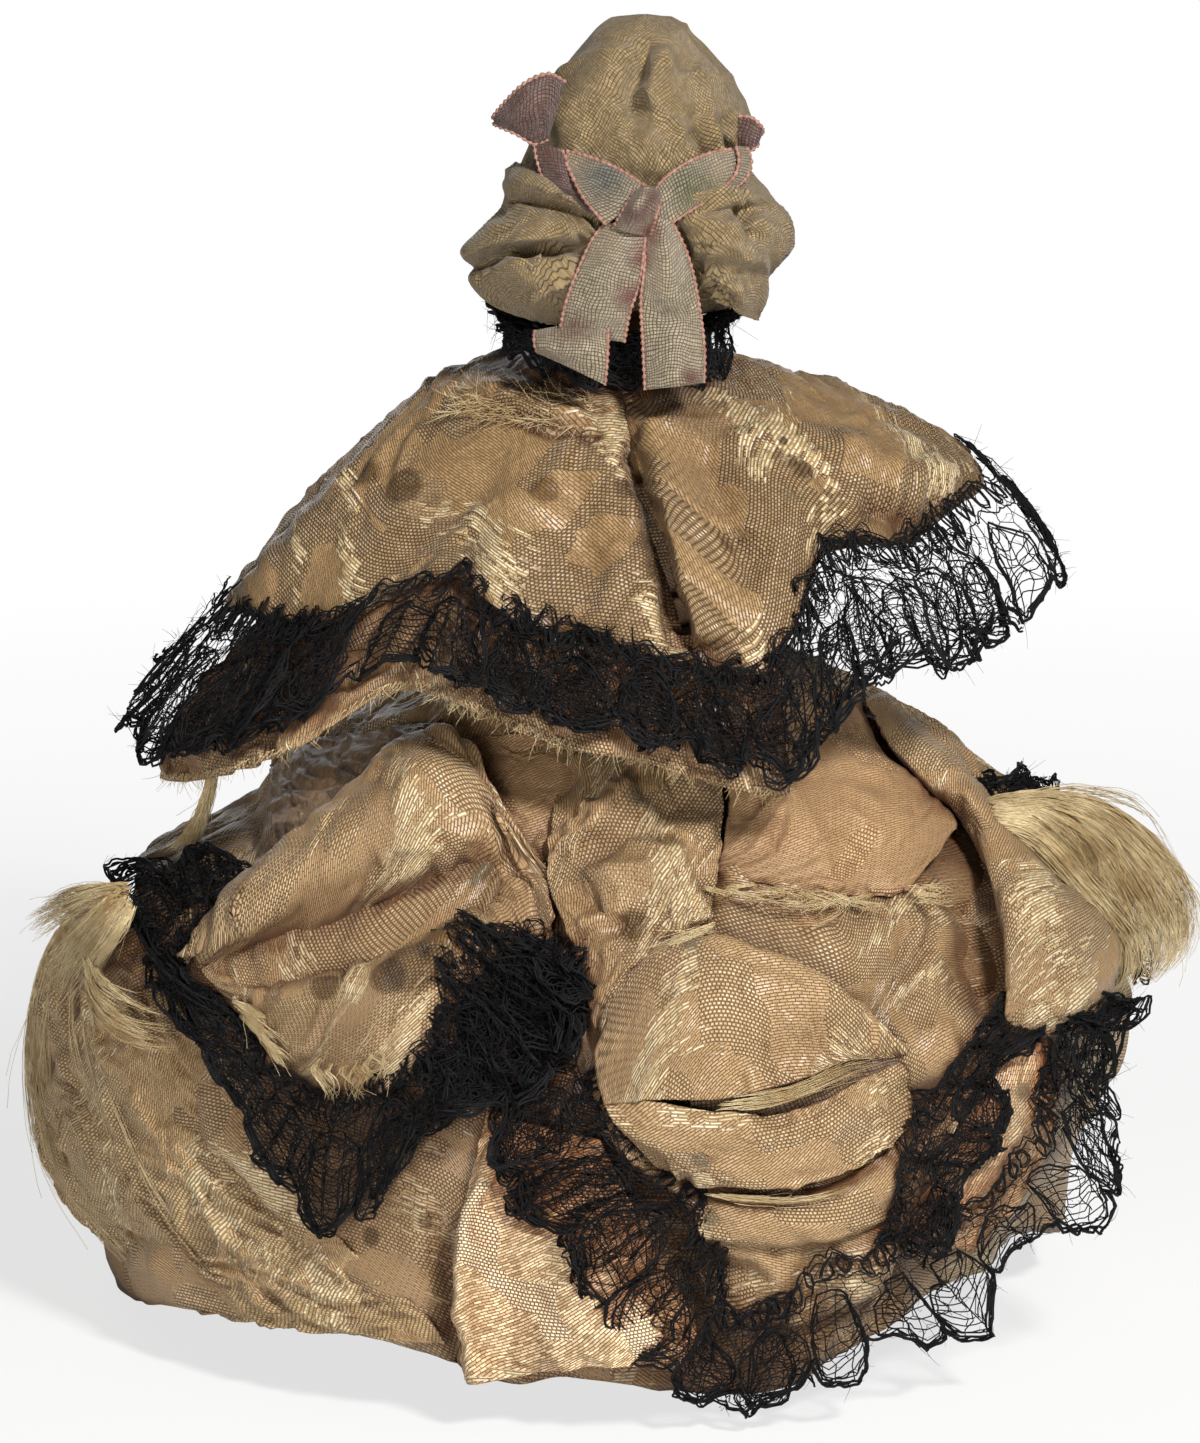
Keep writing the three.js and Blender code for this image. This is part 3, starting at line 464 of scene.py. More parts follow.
def new_mesh(name: str, corners: Array, faces: Sequence[Array], flat: Array | None = None) -> bpy.types.Mesh:
    """A mesh in metres from arrays.

    Args:
        name: The mesh's name.
        corners: Points in millimetres.
        faces: Arrays of corner numbers, one row for each face.
        flat: Flat cloth places for each corner of each face, in millimetres.

    Returns:
        The mesh, shaded smooth.
    """
    corners = np.asarray(corners, float).copy()
    corners[:, 2] = np.maximum(corners[:, 2], 0.0)
    mesh = bpy.data.meshes.new(name)
    loops = np.concatenate([group.ravel() for group in faces]).astype(np.int32)
    sizes = np.concatenate([np.full(len(group), group.shape[1]) for group in faces])
    mesh.vertices.add(len(corners))
    mesh.vertices.foreach_set("co", (corners * MM).astype(np.float32).ravel())
    mesh.loops.add(len(loops))
    mesh.loops.foreach_set("vertex_index", loops)
    mesh.polygons.add(len(sizes))
    mesh.polygons.foreach_set("loop_start", (np.cumsum(sizes) - sizes).astype(np.int32))
    mesh.polygons.foreach_set("use_smooth", np.ones(len(sizes), bool))
    if flat is not None:
        layer = mesh.uv_layers.new(name="cloth")
        layer.uv.foreach_set("vector", flat.astype(np.float32).ravel())
    mesh.update(calc_edges=True)
    mesh.validate()
    return mesh


def lattice_mesh(name: str, points: Array, flat: Array, wrap: bool = False) -> bpy.types.Mesh:
    """A sheet's mesh from a lattice.

    Args:
        name: The mesh's name.
        points: Rows by columns by x, y and z.
        flat: Where each point lay on the flat cloth.
        wrap: Whether the last column is the first one again.

    Returns:
        The mesh.
    """
    rows, columns = points.shape[:2]
    ring = columns - 1 if wrap else columns
    column = np.arange(columns) % ring
    index = np.arange(rows)[:, None] * ring + column[None]
    place = np.arange(rows * columns).reshape(rows, columns)

    def around_face(table: Array) -> Array:
        corners = [table[:-1, :-1], table[1:, :-1], table[1:, 1:], table[:-1, 1:]]
        return np.stack(corners, -1).reshape(-1, 4)

    faces, places = around_face(index), around_face(place)
    normal = np.cross(np.gradient(points, axis=0), np.gradient(points, axis=1))
    if np.sum(normal[..., :2] * points[..., :2]) < 0:
        faces, places = faces[:, ::-1], places[:, ::-1]
    corners = points[:, :ring].reshape(-1, 3)
    return new_mesh(name, corners, [faces], flat.reshape(-1, 2)[places.ravel()])


@dataclass
class Threads:
    """Many thin round threads that make one mesh.

    Attributes:
        sides: Corners of a thread's section.
    """

    sides: int = 3
    corners: list[Array] = field(default_factory=list)
    quads: list[Array] = field(default_factory=list)
    ends: list[Array] = field(default_factory=list)
    count: int = 0

    def add(self, lines: Array, radius: float | Array) -> None:
        """Adds threads of the same number of points.

        Args:
            lines: Threads by points by x, y and z.
            radius: One radius, or one for each thread or point.
        """
        lines = np.asarray(lines, float)
        many, long = lines.shape[:2]
        if many == 0:
            return
        along = np.gradient(lines, axis=1)
        along /= np.maximum(np.linalg.norm(along, axis=-1, keepdims=True), 1e-9)
        side = np.cross(along, np.array([0.31, 0.17, 0.935]))
        side /= np.maximum(np.linalg.norm(side, axis=-1, keepdims=True), 1e-9)
        other = np.cross(along, side)
        turn = 2 * np.pi * np.arange(self.sides) / self.sides
        ring = side[:, :, None] * np.cos(turn)[:, None] + other[:, :, None] * np.sin(turn)[:, None]
        size = np.broadcast_to(np.asarray(radius, float), (many, long))[:, :, None, None]
        self.corners.append((lines[:, :, None] + ring * size).reshape(-1, 3))
        index = self.count + np.arange(many * long * self.sides).reshape(many, long, self.sides)
        after = np.roll(index, -1, axis=2)
        quads = [index[:, :-1], after[:, :-1], after[:, 1:], index[:, 1:]]
        self.quads.append(np.stack(quads, -1).reshape(-1, 4))
        self.ends.append(index[:, 0, ::-1].reshape(-1, self.sides))
        self.ends.append(index[:, -1].reshape(-1, self.sides))
        self.count += many * long * self.sides

    def mesh(self, name: str) -> bpy.types.Mesh:
        """The threads as one mesh."""
        faces = [np.concatenate(self.quads), np.concatenate(self.ends)]
        return new_mesh(name, np.concatenate(self.corners), faces)


@dataclass(frozen=True)
class Patch:
    """A sheet that can be read between its lattice points.

    Attributes:
        points: Rows by columns by x, y and z.
        across: Flat place of each column.
        down: Flat place of each row.
    """

    points: Array
    across: Array
    down: Array

    def at(self, s: Array, w: Array) -> Array:
        """Points on the sheet.

        Args:
            s: Flat places along the sheet.
            w: Flat places down the sheet.

        Returns:
            One point for each place.
        """
        column = np.interp(s, self.across, np.arange(len(self.across)))
        row = np.interp(w, self.down, np.arange(len(self.down)))
        i = np.clip(column.astype(int), 0, len(self.across) - 2)
        j = np.clip(row.astype(int), 0, len(self.down) - 2)
        a, b = (column - i)[..., None], (row - j)[..., None]
        top = mix(self.points[j, i], self.points[j, i + 1], a)
        low = mix(self.points[j + 1, i], self.points[j + 1, i + 1], a)
        return mix(top, low, b)


def piece(name: str, data: bpy.types.ID, finish: bpy.types.Material, body: str = "torso",
          nodes: Sequence[str] = ()) -> bpy.types.Object:
    """Adds a finished piece to the doll.

    Args:
        name: The piece's name.
        data: Its mesh.
        finish: Its material.
        body: The body it rides on.
        nodes: The frame's nodes that it stands for. A blank one is passed over.

    Returns:
        The new object.
    """
    made = bpy.data.objects.new(name, data)
    bpy.context.scene.collection.objects.link(made)
    made.data.materials.append(finish)
    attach(made, body)
    stood_for = [node for node in nodes if node]
    if stood_for:
        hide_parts(*stood_for)
    log.info("%s: %d faces on %s", name, len(made.data.polygons), body)
    return made


def thicken(made: bpy.types.Object, thickness: float, offset: float = 0.0) -> None:
    """Gives a sheet its thickness, to both sides alike or, with an offset of -1, inwards."""
    layer = made.modifiers.new("thickness", "SOLIDIFY")
    layer.thickness = thickness * MM
    layer.offset = offset


def cloth_piece(name: str, points: Array, finish: bpy.types.Material, *,
                nodes: Sequence[str] = (), grain: float = 0.0, wrap: bool = False,
                thickness: float = 0.2) -> bpy.types.Object:
    """Adds a sheet of cloth with its thickness.

    Args:
        name: The piece's name.
        points: Rows by columns by x, y and z.
        finish: Its material.
        nodes: The frame's nodes that it stands for.
        grain: Degrees by which the weave is turned.
        wrap: Whether the sheet closes on itself.
        thickness: The cloth's thickness.

    Returns:
        The new object.
    """
    mesh = lattice_mesh(name, points, flat_places(points, grain), wrap)
    made = piece(name, mesh, finish, nodes=nodes)
    thicken(made, thickness, -1)
    return made


def linear(colour: str) -> tuple[float, float, float, float]:
    """A colour for a shader from its sRGB hex value.

    Args:
        colour: Such as "#c9a673".

    Returns:
        Linear red, green and blue, and an alpha of 1.
    """
    values = [int(colour[i:i + 2], 16) / 255 for i in (1, 3, 5)]
    return (*(v / 12.92 if v <= 0.04045 else ((v + 0.055) / 1.055) ** 2.4 for v in values), 1.0)


def add(tree: bpy.types.NodeTree, kind: str, inputs: dict | None = None,
        **settings: object) -> bpy.types.Node:
    """Adds a node with its settings and links.

    Args:
        tree: The material's nodes.
        kind: The node's type.
        inputs: Socket names or numbers, each with a value or a socket to link.
        settings: Properties of the node.

    Returns:
        The new node.
    """
    made = tree.nodes.new(kind)
    for key, value in settings.items():
        setattr(made, key, value)
    for key, value in (inputs or {}).items():
        if isinstance(value, bpy.types.NodeSocket):
            tree.links.new(value, made.inputs[key])
        else:
            made.inputs[key].default_value = value
    return made


@dataclass(frozen=True)
class Finish:
    """A material made from nodes.

    Attributes:
        name: What the real material is.
        roughness: How dull it is.
        ior: Its index of refraction.
        sheen: How strongly its fibres catch light at a glancing angle.
        relief: Depth of its bump, in millimetres.
        blots: Dye, rust, soil or a spot of painted shade at one place: its middle, its reach, both in
            millimetres, and its tint.
        core: How much of a blot's reach is fully tinted.
    """

    name: str = "finish"
    roughness: float = 0.5
    ior: float = 1.5
    sheen: float = 0.0
    relief: float = 0.05
    blots: tuple[tuple[tuple[float, float, float], float, str], ...] = ()
    core: float = 0.8

    def paint(self, tree: bpy.types.NodeTree) -> tuple[bpy.types.NodeSocket, bpy.types.NodeSocket]:
        """Adds the nodes that give colour and height.

        Args:
            tree: The material's nodes.

        Returns:
            The colour socket and the height socket.
        """
        raise NotImplementedError

    def material(self) -> bpy.types.Material:
        """The finish as a material."""
        made = bpy.data.materials.new(self.name)
        made.use_nodes = True
        tree = made.node_tree
        tree.nodes.clear()
        colour, height = self.paint(tree)
        world = add(tree, "ShaderNodeTexCoord").outputs["Object"]
        for middle, reach, tint in self.blots:
            spot = tuple(value * MM for value in middle)
            off = add(tree, "ShaderNodeVectorMath", {0: world, 1: spot},
                      operation="DISTANCE").outputs["Value"]
            share = add(tree, "ShaderNodeMapRange", {
                "Value": off, "From Min": reach * MM, "From Max": self.core * reach * MM, "To Max": 0.8,
            }).outputs[0]
            colour = add(tree, "ShaderNodeMix", {0: share, 6: colour, 7: linear(tint)}, data_type="RGBA",
                         blend_type="MULTIPLY").outputs[2]
        bump = add(tree, "ShaderNodeBump", {"Height": height, "Strength": 1.0, "Distance": self.relief * MM})
        shader = add(tree, "ShaderNodeBsdfPrincipled", {
            "Base Color": colour,
            "Roughness": self.roughness,
            "IOR": self.ior,
            "Sheen Weight": self.sheen,
            "Sheen Roughness": 0.4,
            "Normal": bump.outputs["Normal"],
        })
        add(tree, "ShaderNodeOutputMaterial", {"Surface": shader.outputs[0]})
        return made


@dataclass(frozen=True)
class SilkDamask(Finish):
    """Old figured silk: a satin ground with ribbed squares, olive dots and long pale floats.

    Satin throws soft streaks of light along its folds, and the figures catch it the other way. That sheen is
    painted into the colour as random lighter and darker streaks along the slanted weave.
    The satin's threads are 0.23 mm apart on the real cloth and are drawn 0.28 mm apart, to show.

    Attributes:
        ground: Colour of the satin.
        shade: Colour of its darker threads and stains.
        rib: Colour of the ribbed squares.
        float_colour: Colour of the long floats.
        deep: Tint of the shade painted into folds and hollows, where ambient occlusion finds them.
        hollow: How far the painted shade reaches into hollows, in millimetres.
        dot: Colour of the dots.
        figures: How much of the cloth the ribbed squares cover, from 0 to 1.
        floats: How much the floats cover.
        thread: Distance from thread to thread.
    """

    name: str = "silk_damask"
    roughness: float = 0.4
    ior: float = 1.45
    sheen: float = 0.03
    relief: float = 0.1
    ground: str = "#b1926a"
    shade: str = "#664b30"
    rib: str = "#ccb083"
    float_colour: str = "#e4d6b2"
    deep: str = "#7e4a1e"
    hollow: float = 7.0
    dot: str = "#6f6145"
    figures: float = 0.6
    floats: float = 0.45
    thread: float = 0.28

    def paint(self, tree: bpy.types.NodeTree) -> tuple[bpy.types.NodeSocket, bpy.types.NodeSocket]:
        """Adds the nodes that give colour and height, as Finish says."""
        place = add(tree, "ShaderNodeUVMap", uv_map="cloth").outputs[0]
        slant = add(tree, "ShaderNodeVectorRotate", {"Vector": place, "Angle": 0.5}).outputs[0]
        weaves = []
        for vector, long, wide, gap, light, dark, under in (
            (slant, 3.0, 0.8, 0.05, self.ground, "#a7875f", "#7f613d"),
            (place, 1.3, 1.05, 0.1, self.rib, self.ground, self.shade),
            (place, 4.2, 1.0, 0.1, self.float_colour, "#bfa67a", "#937348"),
        ):
            weaves.append(add(tree, "ShaderNodeTexBrick", {
                "Vector": vector, "Color1": linear(light), "Color2": linear(dark), "Mortar": linear(under),
                "Scale": 1.0, "Mortar Size": gap, "Mortar Smooth": 1.0, "Bias": 0.0,
                "Brick Width": long * self.thread, "Row Height": wide * self.thread,
            }, offset=0.4, offset_frequency=2))
        satin, ribs, floats = weaves

        cells = add(tree, "ShaderNodeTexVoronoi", {"Vector": place, "Scale": 1 / 5.0, "Randomness": 0.8},
                    distance="CHEBYCHEV")
        picked = add(tree, "ShaderNodeSeparateColor", {0: cells.outputs["Color"]}).outputs[0]
        squares = add(tree, "ShaderNodeMapRange", {
            "Value": picked, "From Min": 1 - self.figures - 0.01, "From Max": 1 - self.figures + 0.01,
        }).outputs[0]
        band = add(tree, "ShaderNodeVectorMath", {0: slant, 1: (0.6, 1.5, 1.0)},
                   operation="MULTIPLY").outputs[0]
        drift = add(tree, "ShaderNodeTexNoise", {"Vector": band, "Scale": 1 / 11, "Detail": 2.0}).outputs[0]
        stepped = add(tree, "ShaderNodeVectorMath", {0: place, 1: (1.26, 0.3, 1.0)},
                      operation="SNAP").outputs[0]
        torn = add(tree, "ShaderNodeTexWhiteNoise", {"Vector": stepped}).outputs[0]
        ragged = add(tree, "ShaderNodeMath", {0: torn, 1: 0.14, 2: drift}, operation="MULTIPLY_ADD")
        start = 0.78 - 0.28 * self.floats
        loose = add(tree, "ShaderNodeMapRange", {
            "Value": ragged.outputs[0], "From Min": start, "From Max": start + 0.02,
        }).outputs[0]
        oval = add(tree, "ShaderNodeVectorMath", {0: place, 1: (1.0, 0.8, 1.0)},
                   operation="MULTIPLY").outputs[0]
        spots = add(tree, "ShaderNodeTexVoronoi", {"Vector": oval, "Scale": 1 / 8.0, "Randomness": 0.65})
        spot = add(tree, "ShaderNodeMapRange", {
            "Value": spots.outputs["Distance"], "From Min": 0.19, "From Max": 0.15, "To Max": 0.9,
        }).outputs[0]
        chosen = add(tree, "ShaderNodeSeparateColor", {0: spots.outputs["Color"]}).outputs[1]
        some = add(tree, "ShaderNodeMath", {0: chosen, 1: 0.5}, operation="GREATER_THAN").outputs[0]
        dots = add(tree, "ShaderNodeMath", {0: spot, 1: some}, operation="MULTIPLY").outputs[0]
        stain = add(tree, "ShaderNodeTexNoise", {"Vector": place, "Scale": 1 / 13, "Detail": 4.0}).outputs[0]
        stained = add(tree, "ShaderNodeMapRange", {
            "Value": stain, "From Min": 0.45, "From Max": 0.72, "To Max": 0.45,
        }).outputs[0]

        colour, gaps = satin.outputs["Color"], satin.outputs["Fac"]
        for mask, top in (
            (squares, ribs.outputs["Color"]), (loose, floats.outputs["Color"]),
            (dots, linear(self.dot)), (stained, linear(self.shade)),
        ):
            colour = add(tree, "ShaderNodeMix", {0: mask, 6: colour, 7: top}, data_type="RGBA").outputs[2]
        for mask, weave in ((squares, ribs), (loose, floats)):
            gaps = add(tree, "ShaderNodeMix", {0: mask, 2: gaps, 3: weave.outputs["Fac"]}).outputs[0]
        # Painted shade: ambient occlusion darkens the colour towards the deep tint in folds, hollows and
        # under overlapping cloth.
        air = add(tree, "ShaderNodeAmbientOcclusion", {"Distance": self.hollow * MM}, samples=6).outputs["AO"]
        unshaded_share = add(tree, "ShaderNodeMapRange", {"Value": air, "From Min": 0.35, "From Max": 0.9}).outputs[0]
        painted_shade_tone = add(tree, "ShaderNodeMix", {0: 0.82, 6: colour, 7: linear(self.deep)}, data_type="RGBA",
                     blend_type="MULTIPLY").outputs[2]
        colour = add(tree, "ShaderNodeMix", {0: unshaded_share, 6: painted_shade_tone, 7: colour}, data_type="RGBA").outputs[2]
        # Painted sheen: random lighter and darker streaks along the slanted weave stand in for the satin's
        # sheen.
        streaks = add(tree, "ShaderNodeVectorMath", {0: slant, 1: (0.8, 3.0, 1.0)},
                      operation="MULTIPLY").outputs[0]
        painted_sheen_noise = add(tree, "ShaderNodeTexNoise", {"Vector": streaks, "Scale": 1.4, "Detail": 3.0}).outputs[0]
        light = add(tree, "ShaderNodeMapRange", {
            "Value": painted_sheen_noise, "From Min": 0.3, "From Max": 0.7, "To Min": 0.88, "To Max": 1.12,
        }).outputs[0]
        colour = add(tree, "ShaderNodeVectorMath", {0: colour, 1: light}, operation="MULTIPLY").outputs[0]
        threads_up = add(tree, "ShaderNodeMath", {0: 1.0, 1: gaps}, operation="SUBTRACT").outputs[0]
        return colour, threads_up


@dataclass(frozen=True)
class PlainWeave(Finish):
    """Thin plain-woven cloth with square openings between its threads.

    It looks dull and dry, with a fine check of threads and dark holes and slow patches of dirt.
    The real muslin and ribbon gauze have threads about 0.1 mm apart. They are drawn 0.25 mm apart or
    more, to show.

    Attributes:
        light: Colour of one set of threads.
        dark: Colour of the other set.
        gap: Colour between the threads.
        stain: Colour of the dirty places.
        stain_share: How strong those are.
        thread: Distance from thread to thread.
    """

    name: str = "plain_weave"
    roughness: float = 0.8
    sheen: float = 0.2
    relief: float = 0.07
    light: str = "#a58c60"
    dark: str = "#7f6a44"
    gap: str = "#40301a"
    stain: str = "#6b5428"
    stain_share: float = 0.6
    thread: float = 0.3

    def paint(self, tree: bpy.types.NodeTree) -> tuple[bpy.types.NodeSocket, bpy.types.NodeSocket]:
        """Adds the nodes that give colour and height, as Finish says."""
        place = add(tree, "ShaderNodeUVMap", uv_map="cloth").outputs[0]
        sway = add(tree, "ShaderNodeTexNoise", {"Vector": place, "Scale": 0.25, "Detail": 2.0}).outputs[1]
        bent = add(tree, "ShaderNodeVectorMath", {0: sway, 1: (1.6, 1.6, 0.0), 2: place},
                   operation="MULTIPLY_ADD").outputs[0]
        weave = add(tree, "ShaderNodeTexBrick", {
            "Vector": bent, "Color1": linear(self.light), "Color2": linear(self.dark),
            "Mortar": linear(self.gap), "Scale": 1.0, "Mortar Size": self.thread * 0.2,
            "Mortar Smooth": 0.9, "Bias": 0.0, "Brick Width": self.thread, "Row Height": self.thread,
        }, offset=0.0)
        slub = add(tree, "ShaderNodeTexNoise", {"Vector": place, "Scale": 1.4, "Detail": 3.0}).outputs[0]
        light = add(tree, "ShaderNodeMapRange", {
            "Value": slub, "From Min": 0.3, "From Max": 0.7, "To Min": 0.82, "To Max": 1.15,
        }).outputs[0]
        colour = add(tree, "ShaderNodeVectorMath", {0: weave.outputs["Color"], 1: light},
                     operation="MULTIPLY").outputs[0]
        dirt = add(tree, "ShaderNodeTexNoise", {"Vector": place, "Scale": 1 / 9, "Detail": 4.0}).outputs[0]
        dirty = add(tree, "ShaderNodeMapRange", {
            "Value": dirt, "From Min": 0.5, "From Max": 0.75, "To Max": self.stain_share,
        }).outputs[0]
        colour = add(tree, "ShaderNodeMix", {0: dirty, 6: colour, 7: linear(self.stain)},
                     data_type="RGBA").outputs[2]
        height = add(tree, "ShaderNodeMath", {0: 1.0, 1: weave.outputs["Fac"]}, operation="SUBTRACT")
        return colour, height.outputs[0]


@dataclass(frozen=True)
class SpunThread(Finish):
    """Spun thread, with uneven dye and fine fibres along it.

    Its twist breaks the light up, so that it looks soft and matt, and black lace stays deep black.
    The fibres are finer than a pixel, so only their unevenness shows.

    Attributes:
        dark: The darker colour of its uneven dye.
        light: The lighter colour of its uneven dye.
        patch: Size of the uneven places, in millimetres.
    """

    name: str = "spun_thread"
    roughness: float = 0.7
    ior: float = 1.3
    relief: float = 0.03
    dark: str = "#050405"
    light: str = "#121012"
    patch: float = 1.5

    def paint(self, tree: bpy.types.NodeTree) -> tuple[bpy.types.NodeSocket, bpy.types.NodeSocket]:
        """Adds the nodes that give colour and height, as Finish says."""
        place = add(tree, "ShaderNodeTexCoord").outputs["Object"]
        uneven = add(tree, "ShaderNodeTexNoise", {
            "Vector": place, "Scale": 1 / (self.patch * MM), "Detail": 4.0, "Roughness": 0.7,
        }).outputs[0]
        share = add(tree, "ShaderNodeMapRange",
                    {"Value": uneven, "From Min": 0.35, "From Max": 0.7}).outputs[0]
        colour = add(tree, "ShaderNodeMix", {0: share, 6: linear(self.dark), 7: linear(self.light)},
                     data_type="RGBA").outputs[2]
        twist = add(tree, "ShaderNodeTexNoise", {"Vector": place, "Scale": 12000.0, "Detail": 1.0}).outputs[0]
        return colour, twist


@dataclass(frozen=True)
class CarvedWood(Finish):
    """Pale limewood, cut with a knife and darkened by handling.

    It looks smooth and half matt, with faint darker rings that run along each limb.

    Attributes:
        light: Colour of the early wood.
        dark: Colour of the late wood.
        ring: Distance between growth rings, in millimetres.
    """

    name: str = "carved_limewood"
    roughness: float = 0.5
    relief: float = 0.05
    light: str = "#c99f6c"
    dark: str = "#9a6d3e"
    ring: float = 0.9

    def paint(self, tree: bpy.types.NodeTree) -> tuple[bpy.types.NodeSocket, bpy.types.NodeSocket]:
        """Adds the nodes that give colour and height, as Finish says."""
        place = add(tree, "ShaderNodeTexCoord").outputs["Object"]
        long = add(tree, "ShaderNodeVectorMath", {0: place, 1: (1.0, 0.6, 0.12)},
                   operation="MULTIPLY").outputs[0]
        rings = add(tree, "ShaderNodeTexWave", {
            "Vector": long, "Scale": 0.3 / (self.ring * MM), "Distortion": 3.0, "Detail": 3.0,
            "Detail Scale": 2.0,
        }).outputs["Fac"]
        pores = add(tree, "ShaderNodeTexNoise", {"Vector": long, "Scale": 2500.0, "Detail": 3.0}).outputs[0]
        both = add(tree, "ShaderNodeMath", {0: rings, 1: pores}, operation="MULTIPLY").outputs[0]
        colour = add(tree, "ShaderNodeMix", {0: both, 6: linear(self.light), 7: linear(self.dark)},
                     data_type="RGBA").outputs[2]
        return colour, pores


@dataclass(frozen=True)
class GessoPaint(Finish):
    """Old oil paint over gesso, rubbed and a little dirty.

    It has a low gloss where it is whole, and looks duller and browner where it is rubbed.

    Attributes:
        colour: The paint.
        worn: The tone of the rubbed places.
    """

    name: str = "gesso_paint"
    roughness: float = 0.35
    relief: float = 0.02
    colour: str = "#e3bd9a"
    worn: str = "#c39a72"

    def paint(self, tree: bpy.types.NodeTree) -> tuple[bpy.types.NodeSocket, bpy.types.NodeSocket]:
        """Adds the nodes that give colour and height, as Finish says."""
        place = add(tree, "ShaderNodeTexCoord").outputs["Object"]
        dirt = add(tree, "ShaderNodeTexNoise", {"Vector": place, "Scale": 450.0, "Detail": 5.0}).outputs[0]
        share = add(tree, "ShaderNodeMapRange", {"Value": dirt, "From Min": 0.5, "From Max": 0.75}).outputs[0]
        colour = add(tree, "ShaderNodeMix", {0: share, 6: linear(self.colour), 7: linear(self.worn)},
                     data_type="RGBA").outputs[2]
        return colour, dirt


